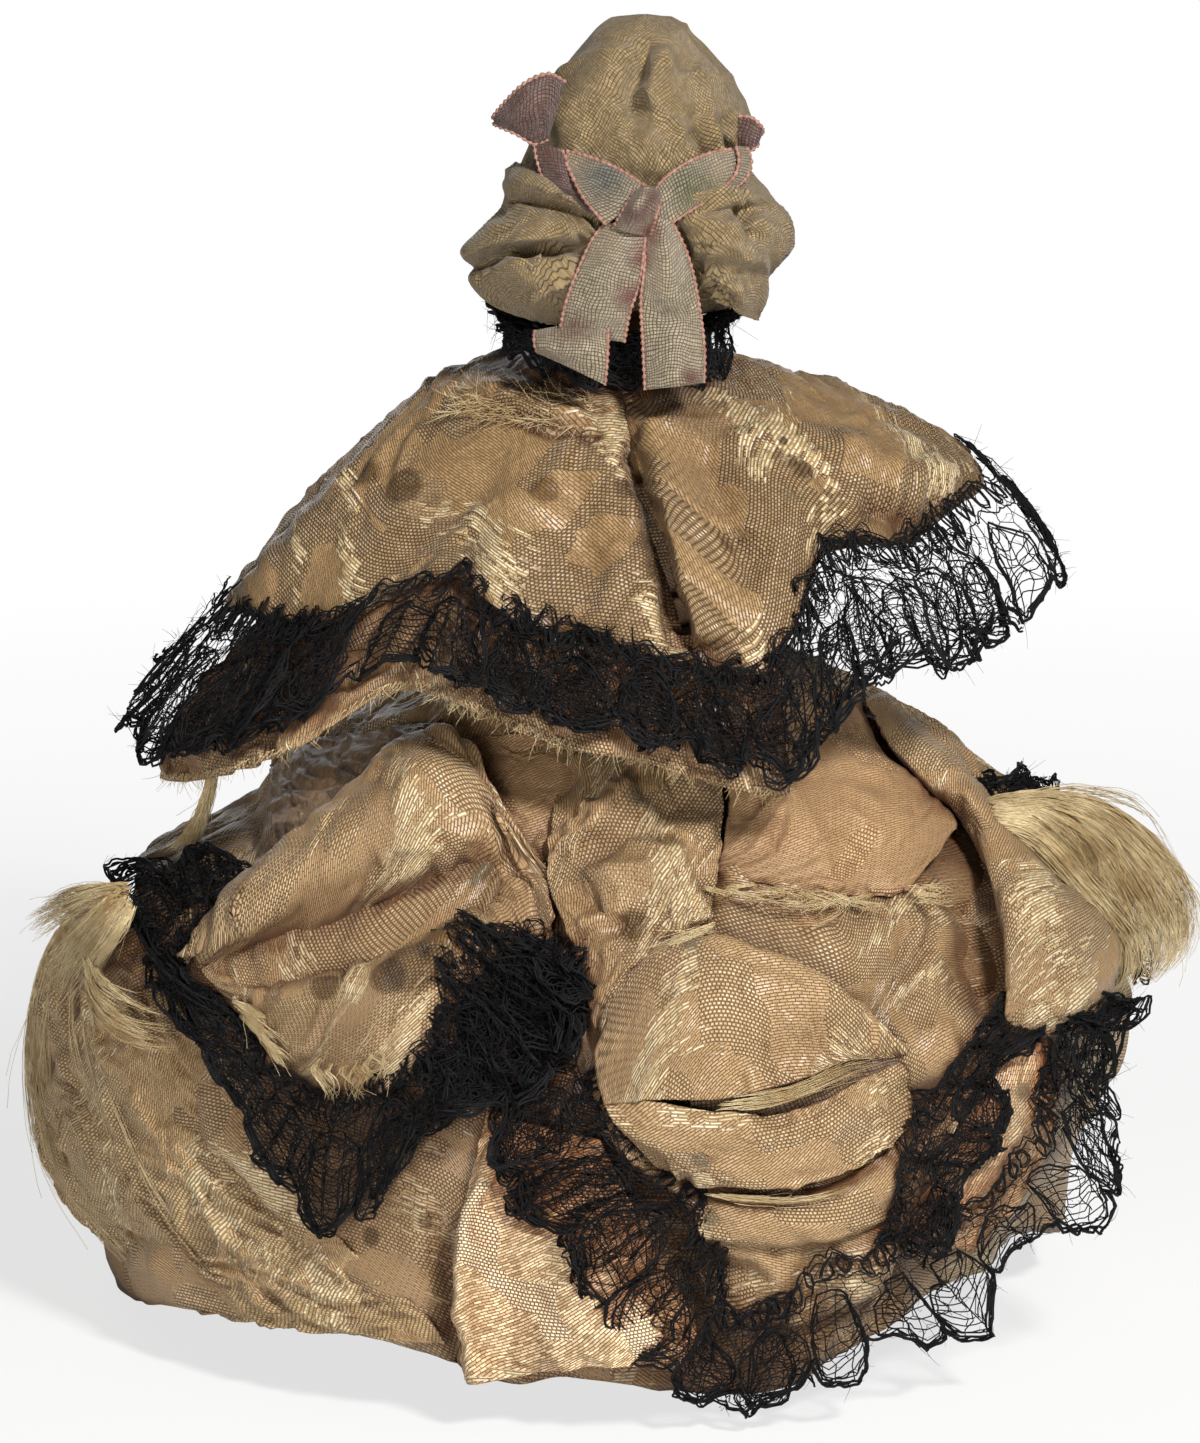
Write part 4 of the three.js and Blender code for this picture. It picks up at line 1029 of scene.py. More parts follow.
@dataclass(frozen=True)
class Wardrobe:
    """Every finish on the doll, made once."""

    silk: bpy.types.Material
    satin: bpy.types.Material
    brown: bpy.types.Material
    cape: bpy.types.Material
    faded: bpy.types.Material
    pale: bpy.types.Material
    fray: bpy.types.Material
    muslin: bpy.types.Material
    gauze: bpy.types.Material
    lace: bpy.types.Material
    ribbon: bpy.types.Material
    bow: bpy.types.Material
    picot: bpy.types.Material
    wood: bpy.types.Material
    peg: bpy.types.Material
    flesh: bpy.types.Material
    hair: bpy.types.Material
    mouth: bpy.types.Material
    eye: bpy.types.Material

    @staticmethod
    def marks(places: Sequence[tuple[float, float, float, str]],
              surface: Surface) -> tuple[tuple[tuple[float, float, float], float, str], ...]:
        """The silk's dots, patches and rust, where the photograph shows them.

        Args:
            places: Pixel across, pixel down, reach in millimetres and tint of each.
            surface: The surface that they are on.

        Returns:
            The blots of a finish.
        """
        found = []
        for across, down, reach, tint in places:
            at = SIGHT.lie(np.array([[across, down, 1.0]], float), surface)[0]
            found.append((tuple(float(value) for value in at), reach, tint))
        return tuple(found)

    @staticmethod
    def dyes(places: Sequence[tuple[float, float, float, float, str]]) -> tuple:
        """The ribbon's dyed and stained places.

        Args:
            places: Pixel across, pixel down, distance behind the doll's middle, reach and tint of each.

        Returns:
            The blots of a finish.
        """
        found = []
        for across, down, behind, reach, tint in places:
            at = SIGHT.hang(np.array([across, down, behind], float))
            found.append((tuple(float(value) for value in at), reach, tint))
        return tuple(found)

    @classmethod
    def make(cls) -> "Wardrobe":
        """Makes the materials."""
        grey, olive, soil_and_shade, rust = "#a3967c", "#8f8062", "#4a3828", "#c07844"
        on_gown = cls.marks((
            (325, 985, 1.5, olive), (410, 966, 2.6, olive), (440, 940, 2.4, olive), (388, 975, 1.8, olive),
            (276, 874, 1.2, olive), (668, 850, 1.6, grey), (633, 925, 1.5, grey), (1000, 930, 1.6, olive),
        ), BELL.drapery)
        on_hem = cls.marks((
            (368, 1237, 1.1, olive), (428, 1222, 1.2, olive), (432, 1255, 0.9, olive), (457, 1300, 1.4, rust),
            (455, 1330, 1.6, rust), (455, 1250, 1.0, rust),
        ), BELL.skirt)
        # Most cape marks are dots, patches and soil; the dark mark at pixel (782, 442) is painted shade on
        # the shaded side of the right panel's bulge.
        on_cape = cls.marks((
            (373, 541, 1.0, soil_and_shade), (334, 611, 0.9, soil_and_shade), (545, 487, 1.6, grey), (627, 482, 1.5, grey),
            (372, 478, 1.8, olive), (402, 486, 2.0, olive), (432, 494, 1.6, olive), (782, 442, 0.6, soil_and_shade),
            (735, 535, 1.6, grey), (800, 470, 1.4, grey),
        ), Cape(None).radius)
        return cls(
            silk=SilkDamask(blots=on_gown + on_hem, core=0.7).material(),
            cape=SilkDamask(name="cape_silk", ground="#927650", rib="#b3976e", shade="#4f3923", blots=on_cape,
                            core=0.7).material(),
            faded=SilkDamask(name="faded_silk", ground="#c0a274", rib="#d2b88b", shade="#7c6140",
                             figures=0.7).material(),
            satin=SilkDamask(name="silk_satin", ground="#b08a63", shade="#6f4826", figures=0.1, floats=0.0,
                             roughness=0.55, relief=0.06).material(),
            # A darker copy of the satin: painted shade for the facet that lies in the cape's shadow.
            brown=SilkDamask(name="brown_silk_satin", ground="#6f553c", rib="#80654a", shade="#3f2c1b",
                             figures=0.2, floats=0.0).material(),
            # A paler, lighter copy of the silk: painted light where the train and the right hem turn up into
            # the light. Its deep tint is painted shade in their hollows.
            pale=SilkDamask(name="pale_silk_painted_light", ground="#fbdcb0", rib="#ffe9c6", figures=0.4, floats=0.5,
                            deep="#b8763c").material(),
            fray=SpunThread(name="frayed_silk", dark="#a88c60", light="#e0cda2", roughness=0.5,
                            patch=4.0).material(),
            muslin=PlainWeave(name="cotton_muslin", thread=0.25).material(),
            gauze=PlainWeave(name="brown_gauze", light="#8b6c4c", dark="#6b4e34", gap="#2f1d12").material(),
            lace=SpunThread(name="black_lace_thread").material(),
            ribbon=PlainWeave(
                name="silk_gauze_ribbon", light="#9b8d73", dark="#80735c", gap="#4c4032", thread=0.26,
                stain="#8f7a62", stain_share=0.5, roughness=0.6, core=0.2,
                blots=cls.dyes((
                    (650, 200, 15.2, 1.7, "#9c3230"), (636, 214, 15.8, 1.5, "#a43c3a"),
                    (648, 232, 14.6, 1.7, "#b4504c"), (640, 258, 14.4, 1.5, "#b86058"),
                    (629, 296, 14.4, 1.6, "#b4504c"), (690, 378, 15.0, 1.4, "#b4706a"),
                    (604, 178, 12.8, 2.8, "#8496ac"), (690, 186, 12.8, 2.8, "#94a26e"),
                    (575, 330, 13.8, 2.2, "#c09a90"),
                )),
            ).material(),
            bow=PlainWeave(name="mauve_ribbon", light="#6a4c44", dark="#482e26", gap="#281812",
                           stain="#5b402d", roughness=0.6).material(),
            picot=SpunThread(name="pink_silk_thread", dark="#80594a", light="#a98273", roughness=0.55,
                             patch=0.6).material(),
            wood=CarvedWood().material(),
            peg=CarvedWood(name="peg_wood", light="#a8784a", dark="#76502c", ring=0.5).material(),
            flesh=GessoPaint().material(),
            hair=GessoPaint(name="black_paint", colour="#1b1613", worn="#3a2c22").material(),
            mouth=GessoPaint(name="red_paint", colour="#a4392f", worn="#8a4a3a").material(),
            eye=GessoPaint(name="white_paint", colour="#e9e2d2", worn="#c9bda4").material(),
        )


@dataclass(frozen=True)
class Bell:
    """The gown's shape, layer by layer, as the frame holds it.

    Attributes:
        top: Height of the skirt's upper edge.
        width: Half width of the lining at a share of the height.
        back: Half depth behind.
        front: Half depth in front.
        lining_cloth: Thickness that the frame gives the lining.
        air: Room between two layers.
        cloth: Thickness that the frame gives the silk.
        folds: Upright folds in the skirt.
        fold_depth: Their depth at the hem.
    """

    top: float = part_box("skirt")[1].z / MM
    width: Curve = Curve((0, 38), (0.14, 39.5), (0.34, 40.5), (0.51, 39), (0.65, 35.5), (0.75, 31),
                         (0.82, 27.5), (0.875, 22.5), (0.925, 16), (0.965, 10.5), (1, 7.1))
    back: Curve = Curve((0, 31), (0.14, 32), (0.34, 32), (0.51, 30.5), (0.65, 27), (0.75, 22.5),
                        (0.82, 19), (0.875, 15.5), (0.925, 12), (0.965, 8.5), (1, 5.7))
    front: Curve = Curve((0, 34.1), (0.14, 34.8), (0.34, 33.6), (0.51, 31), (0.65, 26.5), (0.75, 22),
                         (0.82, 18.5), (0.875, 15), (0.925, 11.5), (0.965, 8.5), (1, 5.7))
    lining_cloth: float = 0.5
    air: float = 0.85
    cloth: float = 1.0
    folds: int = 12
    fold_depth: float = 2.0

    def pinched(self, angle: Array, z: Array) -> Array:
        """How far the cloth falls in over the caught-up parts at the sides, under the cape."""
        turned = from_back(angle)
        left = 7.4 * hump((turned - 48) / 94) ** 0.6 * ease((z - 36.5) / 7) * ease((62 - z) / 12)
        right = 4.5 * hump((turned + 125) / 90) ** 0.7 * ease((z - 41) / 5) * ease((62 - z) / 12)
        return left + right

    def lining(self, angle: Array, z: Array) -> Array:
        """Radius of the lining's inner face."""
        share = z / self.top
        depth = np.where(np.cos(np.radians(angle)) > 0, self.back(share), self.front(share))
        return ellipse(angle, self.width(share), depth) - self.pinched(angle, z)

    def drawn_in(self, angle: Array, z: Array) -> Array:
        """How far the hem is drawn in on the doll's right, under its lace."""
        turned = from_back(angle)
        return 7.5 * hump((turned + 112) / 72) * ease((26 - z) / 18)

    def skirt(self, angle: Array, z: Array) -> Array:
        """Radius of the skirt's outer face."""
        sway = 0.14 * np.sin(np.radians(3 * angle))
        fold = self.fold_depth * mix(1, 0.15, z / self.top) * wave(self.folds * angle / 360 + sway)
        return self.lining(angle, z) + self.lining_cloth + self.air + fold + self.cloth

    def overskirt(self, angle: Array, z: Array) -> Array:
        """Radius of the overskirt's inner face."""
        share = z / self.top
        puff = 3.2 * hump((angle - 10) / 102) * hump((share - 0.4) / 0.62)
        sway = 1.4 * hump((8.5 - angle) / 116.5) * hump(share / 0.95)
        swags = 0.8 * wave(z / 8.5 + angle / 70) * hump((share - 0.05) / 0.95)
        return self.skirt(angle, z) + self.air + np.where(angle > 9, puff, sway) + swags

    def drapery(self, angle: Array, z: Array) -> Array:
        """Radius of what lies on the overskirt."""
        return self.overskirt(angle, z) + self.cloth + self.air

    def raised(self, height: float) -> Surface:
        """The surface that lies so high over the overskirt's inner face."""
        return lambda angle, z: self.overskirt(angle, z) + height

    def edge(self, *points: tuple[float, float]) -> Callable[[Array], Array]:
        """An edge's height at each angle, from (angle, share of the skirt's height) points."""
        share = Curve(*points)
        return lambda angle: share(angle) * self.top

    def hung(self, angles: tuple[float, float], top: Callable, bottom: Callable, radius: Surface,
             columns: int, rows: int, crowd: float = 1.0) -> Array:
        """Cloth hung between two angles.

        Args:
            angles: Where it starts and ends.
            top: Height of its upper edge at each angle.
            bottom: Height of its lower edge.
            radius: Its radius at each angle and height.
            columns: Faces across.
            rows: Faces down.
            crowd: Over 1 crowds the rows towards the top.

        Returns:
            Rows by columns by x, y and z.
        """
        u, v = span(columns, rows)
        angle = mix(*angles, u)
        z = mix(top(angle), bottom(angle), v**crowd)
        return around(angle, radius(angle, z), z)


BELL = Bell()
RIGHT_LACE_EDGE = BELL.edge((-108, 0.6), (-90, 0.33), (-79, 0.23), (-65, 0.18), (-54, 0.11), (-46, 0.075),
                            (-34, 0.085), (-24, 0.03), (-15, 0.03), (-11, 0.1), (-5, 0.22), (2, 0.31),
                            (8.5, 0.44))
LEFT_SILK = BELL.edge((10, 0.69), (16, 0.66), (19.7, 0.55), (27, 0.5), (34.7, 0.44), (42.7, 0.47), (51, 0.55),
                      (61, 0.61), (75, 0.64), (90, 0.67), (112, 0.76))
RIGHT_SILK = BELL.edge((-108, 0.68), (-88, 0.52), (-70, 0.52), (-58, 0.53), (-48, 0.47), (-42.7, 0.41),
                       (-37.5, 0.31), (-33, 0.21), (-23.5, 0.16), (-14.5, 0.15), (-10.8, 0.23), (-8.5, 0.33),
                       (-0.6, 0.41), (2, 0.48), (5.4, 0.53), (8.5, 0.6))
HEM_LIFT = Curve((-180, 0), (-118, 0), (-100, 3), (-80, 7), (-60, 8), (-45, 8), (-32, 6), (-22, 3),
                 (-12, 2.4), (0, 4.4), (6, 4.4), (13, 3.4), (18, 4.0), (24, 6), (40, 6.4), (58, 6),
                 (75, 2.5), (95, 0), (180, 0))


def hem_height(angle: Array) -> Array:
    """How far the gown's hem is lifted off the floor at an angle."""
    return HEM_LIFT(from_back(angle))


@dataclass
class Gown:
    """The gown: lining, bodice, skirt, overskirts and drapery."""

    finishes: Wardrobe
    skirt_folds: tuple[Fold, ...] = (
        Fold(((36, 22), (31, 12), (22, 3), (14, -3)), 1.4, 4.0, 2.0),
        Fold(((44, 22), (43, 8), (34, 0), (20, -4)), 1.2, 3.0, 3.0),
        Fold(((40, 14), (34, 5), (24, 0), (16, -3)), -1.0, 1.6, 1.6),
        Fold(((13.4, 8), (13.5, 0), (13.0, -8)), -1.3, 0.5, 0.5),
        Fold(((11.8, 10), (12.2, 0), (11.6, -8)), 0.9, 0.8, 1.6),
        Fold(((4, 9), (2, 2), (3, -7)), 0.5, 3.0, 3.0),
        Fold(((-33, 20), (-36, 12), (-34, 2)), 1.0, 2.0, 2.5),
        Fold(((-38, 25), (-40, 16), (-38, 8)), -0.9, 1.5, 1.5),
    )
    left_folds: tuple[Fold, ...] = (
        Fold(((30, 44), (30.5, 38), (33, 33)), -1.0, 2.0, 2.0, 0.2),
        Fold(((34, 26), (27, 24), (20, 20)), 0.8, 2.0, 2.0),
    )
    right_folds: tuple[Fold, ...] = (
        Fold(((1.0, 22), (0.4, 15), (-4, 9.5), (-10, 4.5), (-16, 1.5)), 1.2, 4.0, 0.9, 0.1),
        Fold(((-26, 42), (-29, 37), (-31, 31), (-31.5, 22)), -2.6, 2.6, 2.6, 0.15),
        Fold(((-5, 46), (-8.6, 41.5), (-8, 36), (-6, 31)), -1.6, 1.0, 1.4, 0.2),
        Fold(((-27, 20), (-27.5, 12), (-23, 5), (-16, 1.5)), 1.1, 3.0, 1.5, 0.2),
        Fold(((-24, 29), (-27, 24), (-26, 17)), 0.9, 2.5, 2.5, 0.2),
    )
    puff: tuple = (
        ((190, 968, 0.5), (262, 888, 0.6), (360, 795, 0.8), (415, 752, 0.8), (462, 752, 0.8), (498, 800, 0.6),
         (540, 868, 0.4)),
        ((177, 956, 2.0), (250, 873, 5.0), (350, 783, 6.6), (402, 737, 6.8), (463, 734, 5.8), (506, 812, 3.6),
         (545, 864, 1.6)),
        ((183, 958, 2.6), (262, 884, 6.4), (362, 800, 8.0), (415, 757, 8.0), (470, 756, 6.6), (508, 824, 4.0),
         (546, 868, 1.7)),
        ((190, 960, 2.4), (280, 905, 5.6), (375, 840, 7.0), (430, 800, 7.4), (482, 790, 6.0), (512, 836, 3.6),
         (546, 871, 1.5)),
        ((196, 962, 1.6), (300, 925, 2.6), (385, 880, 3.6), (445, 845, 4.2), (492, 830, 3.8), (516, 848, 2.4),
         (547, 874, 1.3)),
        ((200, 966, 0.9), (300, 952, 0.7), (370, 925, 0.6), (430, 888, 0.8), (480, 874, 1.0), (520, 870, 1.0),
         (548, 878, 1.0)),
        ((204, 974, 1.4), (300, 970, 1.8), (380, 945, 2.0), (445, 905, 2.2), (492, 888, 1.9), (526, 880, 1.5),
         (549, 882, 1.1)),
        ((212, 984, 1.6), (300, 1005, 2.8), (385, 985, 3.0), (455, 945, 2.8), (500, 915, 2.2),
         (530, 895, 1.7), (550, 890, 1.2)),
        ((225, 1000, 1.3), (290, 1045, 2.2), (370, 1050, 2.4), (450, 1010, 2.2), (505, 960, 1.8),
         (534, 925, 1.4), (552, 905, 1.1)),
        ((240, 1012, 0.8), (285, 1068, 1.0), (350, 1098, 1.2), (440, 1062, 1.2), (510, 990, 1.2),
         (540, 945, 1.0), (556, 915, 0.9)),
    )
    left_facet: tuple = (
        ((272, 745, 0.4), (310, 740, 0.8), (370, 730, 0.9), (440, 722, 0.9)),
        ((270, 800, 0.6), (306, 790, 1.1), (362, 780, 1.2), (440, 770, 1.2)),
        ((272, 842, 0.5), (308, 836, 1.0), (366, 830, 1.1), (440, 820, 1.1)),
        ((268, 880, 0.3), (308, 872, 0.8), (376, 862, 0.9), (440, 852, 0.9)),
    )
    throat: tuple = (
        ((470, 738, 0.6), (520, 736, 0.8), (570, 738, 0.9), (612, 744, 0.8)),
        ((486, 776, 0.4), (526, 772, 0.9), (574, 774, 1.2), (612, 780, 0.9)),
        ((504, 818, 0.3), (534, 816, 0.5), (566, 816, 0.7), (592, 820, 0.8)),
        ((526, 862, 0.2), (540, 860, 0.3), (554, 860, 0.4), (568, 864, 0.4)),
    )
    satin_facet: tuple = (
        ((700, 700, 1.0), (770, 690, 1.6), (830, 690, 1.8), (862, 700, 1.0)),
        ((716, 745, 1.2), (780, 738, 2.6), (845, 732, 3.0), (885, 752, 2.0)),
        ((728, 790, 1.2), (795, 785, 2.8), (872, 775, 3.6), (930, 788, 2.6)),
        ((726, 825, 1.0), (800, 825, 2.4), (880, 818, 3.8), (955, 822, 3.4)),
        ((722, 850, 0.8), (800, 856, 1.6), (878, 852, 2.8), (950, 836, 3.2)),
        ((716, 866, 0.5), (796, 880, 0.8), (866, 885, 1.2), (912, 886, 1.4)),
        ((716, 872, 0.2), (796, 890, 0.2), (862, 896, 0.3), (905, 892, 0.4)),
    )
    roll: tuple = (
        ((868, 706, 1.0), (862, 694, 2.6), (874, 686, 3.6), (884, 690, 3.0), (892, 700, 1.0)),
        ((900, 752, 0.8), (888, 742, 3.2), (905, 726, 5.0), (928, 732, 4.0), (940, 748, 1.2)),
        ((950, 808, 0.6), (930, 786, 3.8), (950, 766, 6.2), (980, 784, 5.2), (998, 806, 1.4)),
        ((984, 858, 0.4), (966, 820, 4.0), (985, 820, 7.0), (1018, 840, 5.8), (1044, 866, 1.6)),
        ((1004, 915, 0.4), (992, 880, 4.2), (1016, 878, 7.0), (1056, 888, 5.8), (1090, 902, 2.0)),
        ((1010, 965, 0.4), (1003, 940, 4.0), (1030, 935, 6.0), (1075, 932, 5.2), (1118, 936, 2.2)),
        ((1010, 1010, 0.3), (1006, 1000, 2.6), (1034, 998, 3.6), (1076, 994, 3.4), (1118, 990, 1.6)),
        ((1012, 1050, 0.2), (1010, 1045, 0.6), (1040, 1040, 0.8), (1080, 1035, 0.8), (1118, 1030, 0.5)),
    )
    petal_top: tuple = (
        ((612, 1030, 0.5), (640, 985, 0.6), (700, 950, 0.6), (765, 960, 0.6), (830, 990, 0.6),
         (880, 1030, 0.5), (905, 1056, 0.4)),
        ((598, 1020, 2.0), (632, 968, 3.0), (700, 935, 3.8), (765, 948, 4.2), (832, 982, 4.0),
         (880, 1019, 2.8), (908, 1050, 1.0)),
        ((598, 1035, 2.6), (640, 985, 4.4), (702, 955, 5.4), (765, 968, 5.6), (826, 998, 4.8),
         (872, 1028, 3.2), (905, 1053, 1.0)),
        ((596, 1055, 2.8), (650, 1015, 5.0), (706, 1000, 5.8), (762, 1008, 5.4), (815, 1024, 4.6),
         (862, 1040, 3.0), (902, 1055, 0.9)),
        ((598, 1080, 2.6), (655, 1060, 4.8), (706, 1055, 5.2), (755, 1052, 5.0), (805, 1050, 4.2),
         (852, 1051, 2.8), (898, 1057, 0.8)),
        ((604, 1105, 2.4), (660, 1100, 4.2), (712, 1100, 4.6), (755, 1092, 4.8), (805, 1078, 4.4),
         (850, 1060, 3.0), (896, 1058, 0.8)),
    )
    petal_low: tuple = (
        ((604, 1100, 2.2), (660, 1102, 3.9), (718, 1112, 4.0), (765, 1114, 3.6), (815, 1104, 3.0),
         (860, 1080, 2.2), (900, 1062, 0.8)),
        ((612, 1120, 2.4), (665, 1130, 4.2), (718, 1136, 4.6), (768, 1136, 4.4), (820, 1126, 3.8),
         (866, 1100, 2.8), (908, 1075, 1.0)),
        ((632, 1145, 2.2), (676, 1160, 3.8), (725, 1164, 4.4), (772, 1164, 4.4), (824, 1154, 3.8),
         (872, 1128, 2.8), (914, 1095, 1.0)),
        ((662, 1172, 1.8), (695, 1185, 3.0), (738, 1190, 3.8), (780, 1188, 3.8), (828, 1180, 3.4),
         (878, 1156, 2.6), (918, 1120, 1.0)),
        ((672, 1168, 0.5), (700, 1178, 0.8), (740, 1180, 1.0), (780, 1178, 1.0), (826, 1170, 0.9),
         (872, 1146, 0.8), (910, 1112, 0.5)),
    )
    tear_gauze: tuple = (
        ((690, 1090, 2.2), (755, 1078, 2.4), (810, 1062, 2.0), (860, 1050, 1.4), (905, 1050, 0.5)),
        ((690, 1108, 2.2), (755, 1102, 2.2), (810, 1090, 1.8), (860, 1070, 1.2), (905, 1058, 0.4)),
        ((690, 1128, 2.0), (755, 1128, 2.0), (815, 1118, 1.6), (865, 1092, 1.0), (907, 1066, 0.4)),
    )
    under_petal: tuple = (
        ((668, 1180, 0.6), (720, 1192, 0.7), (780, 1192, 0.8), (840, 1180, 0.7), (896, 1146, 0.6)),
        ((690, 1203, 1.4), (735, 1208, 2.2), (790, 1208, 2.4), (845, 1198, 2.0), (902, 1170, 1.2)),
        ((700, 1236, 1.6), (745, 1242, 2.6), (798, 1242, 2.6), (850, 1232, 2.2), (894, 1212, 1.2)),
        ((708, 1244, 0.4), (750, 1248, 0.6), (800, 1246, 0.6), (850, 1236, 0.5), (888, 1222, 0.4)),
    )
    train: tuple = (
        ((486, 1112, 0.0), (496, 1112, 0.3), (512, 1118, 0.4), (545, 1128, 0.4), (600, 1140, 0.2)),
        ((470, 1180, 0.0), (480, 1180, 1.2), (504, 1182, 0.8), (550, 1190, 1.0), (630, 1200, 0.6)),
        ((455, 1240, 0.0), (462, 1240, 2.6), (492, 1244, 1.0), (560, 1250, 1.4), (660, 1260, 1.0)),
        ((452, 1300, 0.2), (458, 1300, 3.2), (492, 1304, 1.4), (570, 1310, 2.1), (690, 1310, 1.2)),
        ((458, 1345, 0.4), (466, 1346, 3.4), (500, 1350, 2.0), (590, 1352, 2.6), (700, 1348, 1.4)),
        ((464, 1380, 1.0), (474, 1384, 3.2), (520, 1376, 2.2), (600, 1368, 2.6), (700, 1368, 1.2)),
    )
    hem_right: tuple = (
        ((1012, 1008, 0.1), (1036, 1003, 0.4), (1058, 1000, 0.1)),
        ((996, 1060, 0.2), (1030, 1058, 0.8), (1060, 1062, 0.3)),
        ((966, 1120, 0.2), (1010, 1124, 0.9), (1052, 1128, 0.3)),
        ((926, 1180, 0.2), (978, 1190, 0.8), (1026, 1196, 0.3)),
        ((876, 1232, 0.1), (926, 1246, 0.5), (974, 1252, 0.2)),
    )
    torn_left: tuple = (
        ((70, 912, 4), (96, 902, 9), (122, 900, 13), (160, 930, 16)),
        ((42, 960, 2), (78, 960, 9), (116, 965, 15), (176, 992, 19)),
        ((32, 1020, 1), (72, 1025, 10), (126, 1030, 17), (206, 1058, 23)),
        ((32, 1080, 1), (78, 1090, 11), (142, 1100, 19), (256, 1134, 26)),
        ((42, 1150, 2), (94, 1165, 12), (174, 1180, 22), (306, 1204, 29.5)),
        ((66, 1205, 4), (128, 1225, 15), (214, 1245, 25), (356, 1254, 32)),
        ((112, 1248, 8), (176, 1276, 19), (262, 1296, 28.5), (408, 1298, 34)),
        ((150, 1292, 12), (222, 1318, 23), (316, 1332, 31), (446, 1344, 35.5)),
    )

    def lining(self) -> None:
        """The lining, which shows under the hem and through the tear."""
        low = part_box("skirt_lining")[0].z / MM
        points = BELL.hung((0, 360), lambda a: BELL.top, lambda a: low + hem_height(a),
                           lambda a, z: BELL.lining(a, z) + BELL.lining_cloth - BELL.drawn_in(a, z),
                           160, 36, 1.5)
        made = cloth_piece("gown_lining", points, self.finishes.gauze,
                           nodes=["skirt_lining"], wrap=True, thickness=0.3)

    def bodice(self) -> None:
        """The bodice and the waistband, both round the carved trunk."""
        width = Curve((58, 4.6), (60, 4.7), (65.2, 5.3), (72, 5.9), (76, 6.1))
        depth = Curve((58, 3.4), (60, 3.5), (65.2, 3.96), (72, 4.4), (76, 4.3))
        for name, slot, out, columns, rows in (
            ("bodice", Slot.SILK, 1.0, 72, 24), ("waistband", Slot.SATIN, 2.2, 72, 8),
        ):
            low, high = (corner.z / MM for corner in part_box(name))
            u, v = span(columns, rows)
            angle, z = 360 * u, mix(high, low, v)
            radius = ellipse(angle, width(z), depth(z)) + out + 0.12 * wave(14 * u) * v
            points = around(angle, radius, z)
            finish = self.finishes.silk if slot is Slot.SILK else self.finishes.satin
            made = cloth_piece(f"{name}_cloth", points, finish, nodes=[name], wrap=True)

    def sleeves(self) -> None:
        """A short gathered sleeve on each upper arm."""
        swing = math.radians(30)
        down = np.array([0, -math.sin(swing), -math.cos(swing)])
        ahead = np.array([0, -math.cos(swing), math.sin(swing)])
        shoulder_z = 75.0
        for side, sign in (("left", 1), ("right", -1)):
            centre = np.array([sign * 10.6, 0, shoulder_z])
            u, v = span(48, 24)
            turn = 2 * np.pi * u
            puff = 2.55 + 0.3 * hump(v) + 0.12 * wave(12 * u) * (1 - hump(v))
            along = mix(3.4, 12.05, v)
            points = centre + down * along[..., None] + ahead * (puff * np.cos(turn))[..., None]
            points[..., 0] += puff * np.sin(turn)
            mesh = lattice_mesh(f"sleeve_cloth_{side}", points, flat_places(points), True)
            if sign < 0:
                mesh.flip_normals()
            made = piece(f"sleeve_cloth_{side}", mesh, self.finishes.silk,
                         f"upper_arm_{side}", [f"sleeve_{side}"])
            thicken(made, 0.15)

    def skirt(self) -> None:
        """The skirt, which carries the doll on its hem."""
        points = BELL.hung((0, 360), lambda a: BELL.top, hem_height,
                           lambda a, z: BELL.skirt(a, z) - BELL.drawn_in(a, z), 330, 90, 1.5)
        flat = flat_places(points)
        points = folded(points, self.skirt_folds)
        calm = ease((points[..., 2] - 0.6) / 3)
        creased = crumpled(points, flat, 0.7, 7.0, 11)
        points = mix(points, creased, calm[..., None])
        points[:, -1] = points[:, 0]
        made = cloth_piece("gown_skirt", points, self.finishes.silk, nodes=["skirt"],
                           wrap=True, thickness=0.35)

    def overskirt(self, name: str, angles: tuple[float, float], edge: Callable, folds: tuple[Fold, ...],
                  grain: float, seed: int) -> None:
        """One side of the open overskirt, which carries the puffs.

        Args:
            name: The frame's node.
            angles: Where it starts and ends.
            edge: Height of its lower edge.
            folds: Its folds.
            grain: Degrees by which its weave is turned.
            seed: Picks its creases.
        """
        points = BELL.hung(angles, lambda a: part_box(name)[1].z / MM + 0 * a, edge,
                           lambda a, z: BELL.overskirt(a, z) + 0.3, 200, 120, 1.4)
        flat = flat_places(points)
        points = folded(points, folds)
        points = crumpled(points, flat, 0.6, 6.0, seed)
        points = crumpled(points, flat, 0.2, 2.0, seed + 10)
        made = cloth_piece(f"{name}_silk", points, self.finishes.silk, nodes=[name],
                           grain=grain, thickness=0.22)

    def spots(self, line: Sequence[tuple[float, float]]) -> tuple[tuple[float, float], ...]:
        """Places in the photograph as millimetres across and up the view."""
        return tuple(((SIGHT.zero[0] - x) / SIGHT.grain, (SIGHT.zero[1] - y) / SIGHT.grain) for x, y in line)

    def draped(self, name: str, net: tuple, finish: bpy.types.Material, grain: float, seed: int,
               nodes: Sequence[str] = (), folds: Sequence[Fold] = (), on_gown: bool = True,
               size: tuple[int, int] = (110, 90), creases: float = 0.5) -> None:
        """A caught-up part of the overskirt that lies where the photograph shows it.

        Args:
            name: The piece's name.
            net: Rows of pixels across and down and heights over the overskirt.
            finish: Its material.
            grain: Degrees by which its weave is turned.
            seed: Picks its creases.
            nodes: The frame's nodes that it stands for.
            folds: Its further folds.
            on_gown: False where the net gives distances behind the doll's middle instead.
            size: Faces across and down.
            creases: How deep its creases are.
        """
        points = SIGHT.laid(net, BELL.overskirt, *size) if on_gown else SIGHT.free(net, *size)
        flat = flat_places(points)
        points = folded(points, folds)
        points = crumpled(points, flat, creases, 4.5, seed)
        points = crumpled(points, flat, 0.3 * creases, 1.6, seed + 10)
        made = cloth_piece(name, points, finish, nodes=nodes, grain=grain, thickness=0.2)

